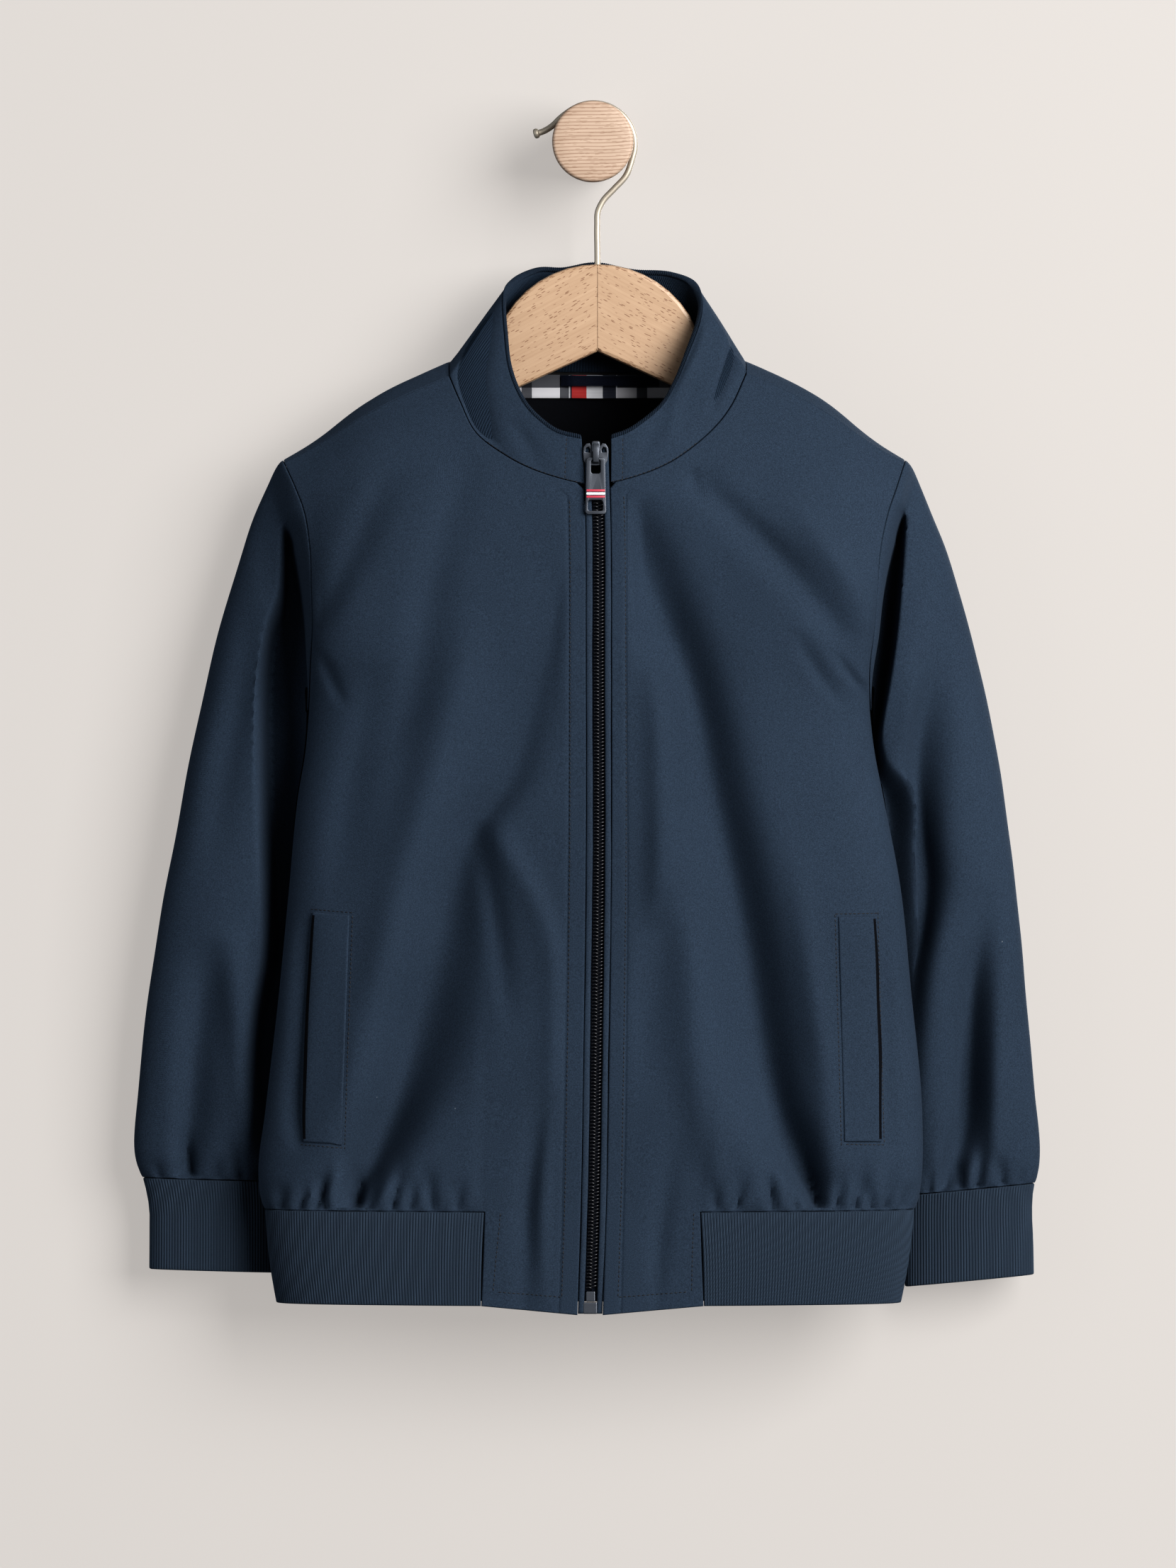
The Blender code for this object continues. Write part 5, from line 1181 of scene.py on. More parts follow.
# %% Striped label
LABEL, tree, shader = material("striped label", Roughness=0.5, Sheen_Weight=0.2)
u, v = axes(tree, cloth_map(tree))[:2]
navy, white, red = (0.010, 0.014, 0.03), (0.50, 0.51, 0.54), (0.36, 0.02, 0.02)
stops = ((0.0, white), (0.03, navy), (0.06, red), (0.366, white), (0.70, navy), (0.975, white))
across = mathn(tree, "DIVIDE", u, 0.0262)
link(tree, stepped(tree, across, stops), shader.inputs["Base Color"])
bumped(tree, shader, wave(tree, v, 0.0005), 0.5, 0.0001)
print("label has", len(stops), "bands")

# %% [markdown]
# ## Wood and metal
# The hanger is beech: pale pink-brown, with short dark flecks that follow the grain, and the two
# boards meet in a mitre, so their grain makes a wide V. The peg shows its side grain as gently
# sloping growth lines.

# %% Wood grain
GRAIN, given, result = group(
    "beech grain",
    [
        ("Angle", "Float", 0.0),
        ("Light", "Color", (0.58, 0.40, 0.26, 1)),
        ("Dark", "Color", (0.46, 0.29, 0.17, 1)),
        ("Flecks", "Float", 1.0),
        ("Rings", "Float", 0.2),
    ],
    [("Colour", "Color"), ("Height", "Float"), ("Fleck", "Float")],
)
turn = {"Vector": object_place(GRAIN), "Angle": given["Angle"]}
turned = node(GRAIN, "ShaderNodeVectorRotate", turn, rotation_type="Y_AXIS").outputs[0]


def drawn_out(scale):
    """The wood's own place, drawn out along the grain."""
    return node(GRAIN, "ShaderNodeMapping", {"Vector": turned, "Scale": scale}).outputs[0]


streaks = noise(GRAIN, drawn_out((30.0, 260.0, 420.0)), 1.0, 4.0, Roughness=0.6)
bent = noise(GRAIN, turned, 14.0, 1.0)
growth = wave(GRAIN, mathn(GRAIN, "MULTIPLY_ADD", bent, 0.0060, axes(GRAIN, turned)[2]), 0.0019)
growth = mathn(GRAIN, "POWER", mathn(GRAIN, "MULTIPLY_ADD", growth, 0.5, 0.5), 6.0)
tone = mathn(GRAIN, "MULTIPLY_ADD", growth, given["Rings"], times(GRAIN, streaks, 0.75))
base = over(GRAIN, tone, given["Light"], given["Dark"])
pores = spots(GRAIN, drawn_out((250.0, 900.0, 1400.0)), 1.0, 0.35, 0.42, 1)
fleck = times(GRAIN, pores, given["Flecks"])
spotted = over(GRAIN, times(GRAIN, fleck, 0.75), base, (0.15, 0.07, 0.035, 1))
link(GRAIN, spotted, result["Colour"])
link(GRAIN, mathn(GRAIN, "SUBTRACT", times(GRAIN, streaks, 0.5), fleck), result["Height"])
link(GRAIN, fleck, result["Fleck"])
print("grain group ready")

# %% Beech of the hanger and the peg
def wood(name, angle, light, dark, flecks, rings, roughness, coat):
    made, tree, shader = material(
        name, Roughness=roughness, Coat_Weight=coat, Coat_Roughness=0.35
    )
    tones = {"Light": (*light, 1), "Dark": (*dark, 1), "Flecks": flecks, "Rings": rings}
    grain = use(tree, GRAIN, {"Angle": math.radians(angle), **tones})
    link(tree, grain["Colour"], shader.inputs["Base Color"])
    bumped(tree, shader, grain["Height"], 0.25, 0.00012)
    return made


def dress(node_name, finish):
    """A finish for a solid that stays as it is."""
    slots = NODES[node_name].data.materials
    slots.clear()
    slots.append(finish)


GRAIN_ANGLE = {"left": 28, "right": -28}
BOARD = (0.45, 0.325, 0.225), (0.29, 0.185, 0.115), 1.0, 0.12, 0.45, 0.15
PEG = (0.50, 0.39, 0.31), (0.25, 0.165, 0.115), 0.35, 0.6, 0.55, 0.0
BEECH = {side: wood("beech " + side, angle, *BOARD) for side, angle in GRAIN_ANGLE.items()}
PEG_WOOD = wood("peg beech", 3, *PEG)
for side in SIDES:
    dress("hanger_arm_" + side, BEECH[side])
print("beech for", len(BEECH), "boards and a peg ready")

# %% Metal and enamel
def metal(name, colour, roughness, metallic):
    """Brushed along its length, and a little uneven in tone."""
    made, tree, shader = material(name, Metallic=metallic)
    place = object_place(tree)
    long = node(tree, "ShaderNodeMapping", {"Vector": place, "Scale": (1500.0, 1500.0, 60.0)})
    brushed = noise(tree, long.outputs[0], 1.0)
    rough = mathn(tree, "MULTIPLY_ADD", brushed, 0.1, roughness)
    link(tree, rough, shader.inputs["Roughness"])
    tone = mathn(tree, "MULTIPLY_ADD", noise(tree, place, 160.0, 3.0), 0.16, 0.92)
    link(tree, toned(tree, colour, tone), shader.inputs["Base Color"])
    return made


WIRE_FINISH = metal("champagne wire", (0.43, 0.39, 0.33), 0.46, 0.6)
ZIP_METAL = metal("zip metal", (0.080, 0.088, 0.104), 0.36, 0.6)
COIL = metal("zip coil", (0.014, 0.015, 0.019), 0.22, 0.2)
ENAMEL = {
    "red": metal("red enamel", (0.42, 0.06, 0.09), 0.3, 0.0),
    "white": metal("white enamel", (0.75, 0.75, 0.76), 0.3, 0.0),
}
for name in ("zip_slider", "zip_pin", "zip_box"):
    dress(name, ZIP_METAL)
print("metals and enamels ready")

# %% [markdown]
# ## Fronts
# Each front is one cut of twill that goes on below the hem seam as its own block beside the zip.
# The grid is closer at its edges and where the stitch line runs beside the zip, so that the
# stitches can sit in a shallow groove.

# %% Folds, puff and ripple of the body
STITCH_IN = {"left": 9.2, "right": 8.4}  # stitch line from the front edge
BLOCK_STITCH_IN = 6.3  # stitch line from the edge of the block
BODY_FOLDS, SLEEVE_FOLDS = 1.5, 1.3  # how much deeper than their tables the folds are
RIPPLE = 0.22


def body_columns(long, step, marks):
    at = spaced(long, step)
    for mark in marks:
        at = at[np.abs(at - mark) > 1.1]
        at = np.append(at, mark + np.array([-0.9, -0.45, 0.0, 0.45, 0.9]))
    return np.sort(at)


def ripple(at, much):
    """A slight unevenness that no real cloth is without."""
    x, z = at[..., 0], at[..., 2]
    waves = np.sin(x / 11.0 + z / 37.0 + 1.3) * np.sin(z / 19.0 - x / 53.0)
    waves = waves + 0.6 * np.sin(x / 6.1 - z / 23.0) * np.sin(z / 13.0 + 0.7 + x / 29.0)
    return much * waves


def smoothed(at, t, f):
    """Rows taken gently past the underarm and the neck, where the cut changes its course."""
    before_end = ease((1 - f) / 0.06)
    near = bell(t - ARM_T, 0.045) * before_end
    near = np.maximum(near, 0.8 * bell(t - NECK_T, 0.03) * ease((f - 0.12) / 0.25) * before_end)
    for _ in range(60):
        at[1:-1] += (at[:-2] + at[2:] - 2 * at[1:-1]) / 2 * near[1:-1, :, None]
    return at


def body_folds(face, side, at, t, f):
    """How far the folds, gathers and puff of the body move each point out."""
    name = "front_" + side if face == "front" else "back"
    above = at[..., 2] - HEM_SIDE_Z
    gathered, edge = 1.0, 1.0
    if face == "front":
        gathered = ease((f - BLOCK_SHARE) / 0.05)
        edge = ease((f - 0.045) / 0.06)
    by_side = ease((1 - f) / 0.05)
    still = by_side * ease((1 - t) / 0.08) * edge
    neck = ease(f / 0.12 + ease((NECK_T - t) / 0.05))
    seam = 1 - gathered * (1 - ease(above / 2))
    deep = BODY_FOLDS * fold_depth(FOLDS[name], at[..., 0], at[..., 2]) * still * neck * seam
    pinch = gather_depth(GATHERS[name], at[..., 0], np.maximum(above, 0)) * gathered * by_side
    out = puff(above, HEM_PUFF) * gathered - (deep + pinch)
    return out + ripple(at, RIPPLE) * still * ease(above / 20)


print("fold tools ready")

# %% Fronts with their folds
FRONT_WIDE = 166.0
FRONT_LOW, BACK_LOW, BODY_HIGH = 391.0, 455.0, 96.0  # hem to neck, and neck to shoulder
NEARLY_ONE = 0.9996  # the top row stops just short of the shoulder seam
BLOCK_END = BLOCK_SHARE + 1e-6
FLATTER = (1, 1, 0.2)  # the normals of the hem block hardly lean


def body_rows(low_long, low_step, high_step):
    """Rows t of the body, close together at the hem and at the shoulder."""
    low = spaced(low_long, low_step)[:-6] / low_long * NECK_T
    high = NECK_T + (1 - NECK_T) * spaced(BODY_HIGH, high_step)[6:] / BODY_HIGH
    return np.clip(np.append(low, high), 0, NEARLY_ONE)


def body_cloth(face, side, t, f, sign):
    """The smooth base of a front or half the back, moved by its folds."""
    grid_t, grid_f = np.meshgrid(t, f, indexing="ij")
    base = smoothed(body_base(face, side, grid_t, grid_f), grid_t, grid_f)
    out = normals(base, sign)
    return base + out * body_folds(face, side, base, grid_t, grid_f)[..., None]


def hem_block(side, f, sign):
    """The part of a front below the hem seam, from its foot up."""
    down = spaced(1.0, 0.045, (0.0, 0.004, 0.009, 0.016, 0.026))[::-1]
    block = np.stack([band("front", side, f, share) for share in down[:-1]])
    low_f = np.tile(f, (len(block), 1))
    out = unit(normals(block, sign) * FLATTER)
    move = body_folds("front", side, block, 0 * low_f, np.minimum(low_f, BLOCK_SHARE))
    return block + out * move[..., None]


def front_edges(side, at, rows, t, f):
    """How far each point falls back: turned edges and the groove of the stitch line."""
    distance, corner = f[None, :] * FRONT_WIDE, FRONT_WIDE * BLOCK_SHARE
    along, fallen = lengths(at)
    back = rolled(distance + 0 * at[..., 0], 0.9)
    back = np.maximum(back, rolled(along[:, -1:] - along, 0.6))
    back = np.maximum(back, rolled(fallen[-1:] - fallen, 0.5))
    block_side = rolled(np.maximum(corner - distance, 0), 0.5) * (f <= BLOCK_END)
    back[: rows + 1] = np.maximum(back[: rows + 1], block_side)
    back[:rows] = np.maximum(back[:rows], rolled(fallen[:rows], 0.7))
    above_hem = (fallen - fallen[rows])[rows:]
    back[rows:] = np.maximum(back[rows:], rolled(above_hem, 0.7) * (f > BLOCK_SHARE))
    groove = 0.45 * bell(distance - STITCH_IN[side], 0.6) * np.ones((len(at), 1))
    groove[rows:] *= (t < NECK_T)[:, None]
    return back + groove


def front(side):
    marks = STITCH_IN[side], FRONT_WIDE * BLOCK_SHARE - BLOCK_STITCH_IN, FRONT_WIDE * BLOCK_SHARE
    f = body_columns(FRONT_WIDE, 2.0, marks) / FRONT_WIDE
    t = np.unique(body_rows(FRONT_LOW, 2.4, 2.3))
    sign = -SIDES[side]
    block = hem_block(side, f, sign)
    rows = len(block)
    at = np.concatenate([block, body_cloth("front", side, t, f, sign)])
    keep = np.ones((len(at) - 1, len(f) - 1), bool)
    keep[:rows, f[1:] > BLOCK_END] = False
    out = normals(at, sign)
    out[:rows] = unit(out[:rows] * FLATTER)
    at = at - out * front_edges(side, at, rows, t, f)[..., None]
    name = "twill_front_" + side
    made = shell(name, at, out, CLOTH, TWILL, "navy_twill", keep=keep, lining=LINING_AND_PAINTED_SHADE)
    PIECES[name].update(rows=rows, f=f, t=t)
    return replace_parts(made, "front_" + side)


fronts = {side: front(side) for side in SIDES}

# %% [markdown]
# ## Back
# The back is one wide cut that reaches forward over the shoulders. The two halves share their
# middle column up to the neck, and part there to go round it.

# %% Back
BACK_WIDE = 172.0


def back():
    f = spaced(BACK_WIDE, 3.2)[5:] / BACK_WIDE
    f[0] = 0.0
    t = np.unique(np.append(body_rows(BACK_LOW, 3.0, 2.4), NECK_T))
    left = body_cloth("back", "left", t, f[::-1], SIDES["left"])
    right = body_cloth("back", "right", t, f, SIDES["right"])
    at = np.concatenate([left, right], axis=1)
    out = np.concatenate([normals(left, 1.0), normals(right, 1.0)], axis=1)
    middle = len(f)
    joined = int((t <= NECK_T).sum())
    mean = unit(out[:joined, middle - 1] + out[:joined, middle])
    out[:joined, middle - 1] = out[:joined, middle] = mean
    along, _ = lengths(at)
    edge = edge_distance(at)
    neck = np.abs(along - along[:, middle - 1 : middle])
    edge[joined:] = np.minimum(edge[joined:], neck[joined:])
    at = at - out * rolled(edge, 0.5)[..., None]

    def same(index):
        index[:joined, middle] = index[:joined, middle - 1]
        return index

    keep = np.ones((len(t) - 1, 2 * middle - 1), bool)
    keep[:, middle - 1] = False
    weld = {"keep": keep, "same": same}
    made = shell("twill_back", at, out, CLOTH, TWILL, "navy_twill", lining=LINING_AND_PAINTED_SHADE, **weld)
    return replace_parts(made, "back")


back_piece = back()

# %% [markdown]
# ## Sleeves
# The sleeve's grid closes on itself. Rings are close together at the armhole and at the cuff,
# where the rib pinches the cloth into short gathers.

# %% Sleeves
SLEEVE_LONG = 390
SLEEVE_AROUND = 124
SLEEVE_FINE = np.array([0, 0.3, 0.7, 1.2, 2.0, 3.0]) / SLEEVE_LONG


def sleeve(side):
    name, sign = "sleeve_" + side, SIDES[side]
    u = np.arange(SLEEVE_AROUND) / SLEEVE_AROUND
    v = np.append(SLEEVE_FINE, np.arange(4.5, 384, 2.5) / SLEEVE_LONG)
    v = np.append(v, 1 - SLEEVE_FINE[::-1])
    grid_v, grid_u = np.meshgrid(v, u, indexing="ij")
    base = sleeve_base(side, grid_v, grid_u)
    x, z = base[..., 0], base[..., 2]
    out = normals(base, sign, closed=True)
    above = z - cuff_seam_z(side, x)
    facing = np.sin(2 * np.pi * grid_u)  # 0 at the two outlines of the sleeve
    deep = SLEEVE_FOLDS * fold_depth(FOLDS[name], x, z)
    deep = np.where(grid_u <= 0.5, deep, -0.4 * deep) * np.abs(facing)
    deep = deep * ease((grid_v - FIRST_RING) / 0.1) * ease(above / 3)
    deep = deep + gather_depth(GATHERS[name], x, above) * facing**2
    still = ease(grid_v / 0.05) * ease(above / 20)
    move = puff(above, CUFF_PUFF) - deep + ripple(base, RIPPLE) * still
    at = base + out * move[..., None]
    out = normals(at, sign, closed=True)
    at = turn_edges(at, out, 0.6, closed=True)
    made = shell("twill_" + name, at, out, CLOTH, TWILL, "navy_twill", closed=True, lining=LINING_AND_PAINTED_SHADE)
    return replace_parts(made, name)


sleeves = {side: sleeve(side) for side in SIDES}

# %% [markdown]
# ## Knitted rib
# The rib is what makes this a harrington: cuffs and hem band are knitted in columns that stand up
# and lie back every 1.6 mm. With about six hundred of them the ribs are real shape here, six
# points across each, and the rows of loops are left to the material.

# %% Ribs along a line
RIB_PITCH = 1.6
RIB_POINTS = 6
RIB_WALL = RIB - 0.2
RIB_DEEP = 0.42


def along_line(line, closed=False):
    """Even places along a line of points, a whole number of ribs long, as shares of its index."""
    if closed:
        line = np.concatenate([line, line[:1]])
    long = run(line)
    ribs = round(long[-1] / RIB_PITCH)
    at = np.linspace(0, long[-1], ribs * RIB_POINTS + 1)
    if closed:
        at = at[:-1]
    return np.interp(at, long, np.arange(len(line))), ribs


def rib_round(count):
    """Round backs with narrow valleys, from 0 to 1, at each point along the ribs."""
    return np.abs(np.sin(np.pi * np.arange(count) / RIB_POINTS)) ** 0.6


def resample(line, at, closed=False):
    if closed:
        line = np.concatenate([line, line[:1]])
    return along_at(line, np.arange(len(line)), at)


def ribbed(name, node_name, lines, deep, sign, material, closed=False):
    """A ribbed band through lines of points that run from its top to its bottom."""
    places, ribs = along_line(lines[0], closed)
    at = np.stack([resample(line, places, closed) for line in lines])
    out = normals(at, sign, closed)
    edge = edge_distance(at, closed)
    height = deep * (rib_round(at.shape[1]) - 1.0) * ease(edge / 1.2 + 0.35)
    at = at + out * (height - rolled(edge, 0.8))[..., None]
    made = shell(name, at, out, RIB_WALL, material, "navy_rib", closed=closed)
    print(name, ribs, "ribs")
    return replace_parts(made, node_name)


# %% Hem band
BAND_DOWN = (0.003, 0.008, 0.018, 0.12, 0.27, 0.42, 0.57, 0.72, 0.86, 0.96, 0.982, 0.994, 1.0)
BAND_BULGE = 1.1


def hem_line(down):
    front_f, back_f = np.linspace(BLOCK_SHARE + 0.0018, 1, 260), np.linspace(0, 1, 260)
    line = np.vstack([
        band("front", "left", front_f, down),
        band("back", "left", back_f[-2::-1], down),
        band("back", "right", back_f[1:-1], down),
        band("front", "right", front_f[::-1], down),
    ])
    around = unit((line - (0.0, -46.0, 0.0)) * (0.25, 1, 0))
    return line + around * BAND_BULGE * math.sin(math.pi * down)


lines = [hem_line(down) for down in BAND_DOWN]
hem_band = ribbed("rib_hem", "hem_rib", lines, RIB_DEEP, -1.0, RIB_KNIT)

# %% Cuffs
CUFF_DOWN = (0.15, 0.6, 1.2, 6, 13, 20, 27, 34, 41, 46.5, 48.5, 49.1, CUFF_DEEP)


def cuff(side):
    u = np.linspace(0, 1, 400, endpoint=False)
    end = sleeve_base(side, np.ones(len(u)), u)
    lines = [
        end + points(read(CUFF, side, down) * round_share(u), 0.0, -down) for down in CUFF_DOWN
    ]
    name = "cuff_" + side
    return ribbed("rib_" + name, name, lines, RIB_DEEP, SIDES[side], RIB_KNIT, closed=True)


cuffs = {side: cuff(side) for side in SIDES}

# %% [markdown]
# ## Collar
# The stand collar is two layers: shell cloth outside, rib knit inside. Where they meet, the knit
# rolls over the edge as a thin ribbed cord, which is the line seen all round the opening.

# %% Collar, outer layer
COLLAR_SOFT = [
    fold(
        (-174, -54, 1, 4, 6), (-150, -64, 4.5, 4, 9), (-127, -69, 5.5, 4, 10),
        (-105, -63, 4, 4, 8), (-84, -55, 1, 3, 5),
    ),
    fold(
        (-168, 41, 0, 4, 4), (-138, 45.5, -1.6, 4, 4), (-108, 58, -1.8, 3, 4), (-90, 61, 0, 3, 3),
    ),
    fold(
        (-150, 62, 0, 3, 3), (-134, 68, 2.4, 2.4, 4), (-114, 74.5, 2.2, 2.4, 4),
        (-102, 77, 0, 3, 3),
    ),
    fold((-174, -30, 0.5, 5, 5), (-160, -37, 1.1, 5, 5), (-148, -45, 0, 5, 5)),
    fold((-172, 26, 0.5, 4, 5), (-160, 31, 1.1, 4, 5), (-148, 36, 0, 4, 5)),
]
COLLAR_LONG = 372.0
COLLAR_STITCH_IN = 8.6


def collar_shape(s, r):
    grid_r, grid_s = np.meshgrid(r, s, indexing="ij")
    base = collar_base(grid_s, grid_r)
    out = normals(base, 1.0)
    forward = ease((-42 - base[..., 1]) / 10)
    deep = fold_depth(COLLAR_SOFT, base[..., 0], base[..., 2]) * forward
    ends = ease(grid_s / 0.03) * ease((1 - grid_s) / 0.03)
    still = ends * ease((1 - grid_r) / 0.12) * ease(grid_r / 0.12)
    return base + out * ((ripple(base, 0.2) - deep) * still)[..., None]


def collar_outer():
    s = body_columns(COLLAR_LONG, 1.8, (8.8, COLLAR_LONG - 8.4)) / COLLAR_LONG
    r = 0.004 + 0.972 * spaced(50, 1.9) / 50
    at = collar_shape(s, r)
    out = normals(at, 1.0)
    distance = np.minimum(s, 1 - s) * COLLAR_LONG
    groove = 0.18 * bell(distance - COLLAR_STITCH_IN, 0.5)
    at = turn_edges(at - out * groove[:, None], out, 0.45)
    made = shell("twill_collar", at, out, CLOTH, TWILL, "navy_twill")
    PIECES["twill_collar"]["s"] = s
    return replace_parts(made, "collar_outer")


collar_cloth = collar_outer()

# %% Collar, knitted inner layer
LAYER_GAP = 0.5  # between the two layers
INNER_FACE = CLOTH + LAYER_GAP + RIB
INNER_UP = (0.0, 0.015, 0.04, 0.15, 0.3, 0.45, 0.6, 0.75, 0.88, 0.96, 0.985, 1.0)


def collar_inside():
    s = np.linspace(0.004, 0.996, 500)
    lines = []
    for share in INNER_UP:
        r = -0.018 + 0.998 * np.full(500, share)
        near = np.stack([collar_base(s, r + d) for d in (-0.01, 0.0, 0.01)])
        lines.append(near[1] - normals(near, 1.0)[1] * INNER_FACE)
    return ribbed("rib_collar", "collar_inner", lines, 0.4, -1.0, COLLAR_KNIT)


collar_knit = collar_inside()

# %% Collar, rolled edge
EDGE_PITCH = 1.15
EDGE_WIDE, EDGE_TALL = 1.95, 1.5
EDGE_CORNERS = 14


def collar_edge():
    s = np.linspace(0, 1, 900)
    top = np.stack([collar_base(s, np.full(900, r)) for r in (0.97, 0.985, 1.0)])
    out = normals(top, 1.0)[2]
    up = unit(top[2] - top[1])
    middle = top[2] - out * 1.35 + up * 0.1
    places, ribs = along_line(middle * RIB_PITCH / EDGE_PITCH)
    middle, out, up = (resample(line, places) for line in (middle, out, up))
    index = np.arange(len(places))
    lean = 0.35 * np.sin(2 * np.pi * index / RIB_POINTS)
    end = np.minimum(np.minimum(index, index[::-1]) / 5, 1)
    swell = 0.74 + 0.30 * rib_round(len(places))
    swell = swell * np.sqrt(np.clip(1 - (1 - end) ** 2, 0.02, 1))
    turn = circle(EDGE_CORNERS)[:, None]
    across = np.cos(turn) * EDGE_WIDE * swell
    high = (np.sin(turn) * EDGE_TALL + 0.1 * lean * np.cos(turn)) * swell
    at = middle + out * across[..., None] + up * high[..., None]
    grid = np.arange(at[..., 0].size).reshape(at.shape[:2])
    quads = cells(np.concatenate([grid, grid[:1]])).reshape(-1, 4)
    faces = quads.tolist() + [grid[::-1, 0].tolist(), grid[:, -1].tolist()]
    made = mesh_object("rib_collar_edge", at.reshape(-1, 3), faces, EDGE_KNIT)
    print("collar edge:", ribs, "ribs")
    return made


collar_cord = collar_edge()

# %% [markdown]
# ## Pocket welts
# A welt is a folded strip that is sewn in on three sides and stays open along one. It lies almost
# flush with the front. Rays shot at the front find how far back each of its points is. Along its
# opening edge a strip of cells takes the near-black lining colour as painted shade of the slot.

# %% Rays that find a surface
def tree_of(made):
    data = made.data
    faces = [tuple(face.vertices) for face in data.polygons]
    return BVHTree.FromPolygons([vertex.co for vertex in data.vertices], faces)


def seat(tree, x, z):
    """Points at x and z on the first surface that a ray from the front meets."""
    flat = points(x, -200.0, z).reshape(-1, 3)
    hits = [tree.ray_cast(Vector(p) * MM, Vector((0, 1, 0)))[0] for p in flat]
    met = [n for n, hit in enumerate(hits) if hit]
    flat[:, 1] = np.interp(np.arange(len(flat)), met, [hits[n].y / MM for n in met])
    return flat.reshape(x.shape + (3,))


TREES = {side: tree_of(fronts[side]) for side in SIDES}
for side in SIDES:
    spot = seat(TREES[side], np.array([SIDES[side] * 80]), np.array([-400.0]))
    print("the", side, "front is", round(-spot[0, 1], 1), "mm from the wall")

# %% Welts
WELTS = {
    "left": ((-155.3, -538.4), (-134.8, -539.9), (-130.6, -416.6), (-150.2, -415.0)),
    "right": ((154.9, -538.4), (134.9, -538.0), (131.6, -417.3), (151.6, -417.0)),
}
WELT_WIDE, WELT_LONG = 20.0, 122.0


def welt_edge(side, j, i):
    """x and z at shares j up and i across a welt."""
    low_out, low_in, high_in, high_out = np.array(WELTS[side])
    j, i = j[..., None], i[..., None]
    at = mix(mix(low_out, high_out, j), mix(low_in, high_in, j), i)
    return at[..., 0], at[..., 1]


def welt(side):
    up = spaced(WELT_LONG, 2.4) / WELT_LONG
    across = spaced(WELT_WIDE, 1.6) / WELT_WIDE
    j, i = np.meshgrid(up, across, indexing="ij")
    x, z = welt_edge(side, j, i)
    bow = SIDES[side] * 0.5 * np.sin(np.pi * j) + 0.12 * np.sin(z / 9.0)
    smooth = seat(TREES[side], x + bow * (1 - i), z)
    for _ in range(6):
        beside = smooth[1:-1, :-2] + smooth[1:-1, 2:]
        smooth[1:-1, 1:-1] = (smooth[:-2, 1:-1] + smooth[2:, 1:-1] + beside) / 4
    out = facing_front(normals(smooth, 1.0))
    crown = 0.75 + 0.35 * np.sin(np.pi * i) + 0.15 * np.sin(z / 17.0 + 2 * i)
    loose = 1.2 * np.exp(-i / 0.2) * np.sin(np.pi * j) ** 0.4
    at = turn_edges(smooth + out * (crown + loose)[..., None], out, 0.8)
    # Painted shade: cells along the opening edge take the near-black lining, for the shadow in the
    # slot.
    dark = np.zeros((len(up) - 1, len(across) - 1), bool)
    dark[4:-4, :4] = True
    lining_and_painted_shade = {"lining": LINING_AND_PAINTED_SHADE, "dark": dark}
    made = shell("twill_welt_" + side, at, out, CLOTH, TWILL, "navy_twill", **lining_and_painted_shade)
    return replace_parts(made, "pocket_welt_" + side)


welts = {side: welt(side) for side in SIDES}

# %% [markdown]
# ## Topstitching
# Rows of machine stitches run beside the zip, round the block and the welts. Each stitch is a
# short bent thread whose ends dip into the cloth. About a thousand of them become one object.

# %% Stitches
STITCH = 1.75
STITCH_GAP = 0.75
THREAD_HALF = 0.27
STITCH_ROWS = []


def row_of_stitches(line, tree):
    """Stitches along a line of points, each set on the nearest cloth."""
    line = np.asarray(line, float)
    long = run(line)
    count = int(long[-1] / (STITCH + STITCH_GAP))
    for start in (np.arange(count) + 0.15) * (STITCH + STITCH_GAP):
        at = along_at(line, long, start + STITCH * np.array([0, 0.5, 1]))
        found = [tree.find_nearest(Vector(p) * MM) for p in at]
        spots = np.array([hit[0] for hit in found]) / MM
        out = np.array(found[1][1])
        STITCH_ROWS.append((spots, out * (-1 if out @ (0, -1, 0) < 0 else 1)))


def stitch_mesh():
    corners, rings = 6, 5
    turn = circle(corners)[:, None]
    share = np.linspace(0, 1, rings)[:, None]
    hump = np.sin(np.pi * share)
    verts, faces = [], []
    for n, (spots, out) in enumerate(STITCH_ROWS):
        along = unit(spots[2] - spots[0])
        across = unit(np.cross(along, out))
        lean = across * 0.09 * math.sin(n * 2.4) * (share - 0.5) * 2
        middle = mix(spots[0], spots[2], share) + lean + out * (0.16 * hump - 0.1)
        wheel = across * np.cos(turn) + out * np.sin(turn) * 0.8
        thick = THREAD_HALF * (0.6 + 0.4 * hump)
        faces += tube_faces(rings, corners, n * rings * corners)
        verts.append((middle[:, None] + wheel * thick[..., None]).reshape(-1, 3))
    made = mesh_object("topstitching", np.concatenate(verts), faces, THREAD)
    print("topstitching:", len(STITCH_ROWS), "stitches")
    return made


def grid_line(piece, distance, first, last):
    """A line down a front at a distance from its zip edge."""
    rows = range(first, last)
    return np.array([along_at(piece["at"][k], piece["along"][k], distance) for k in rows])


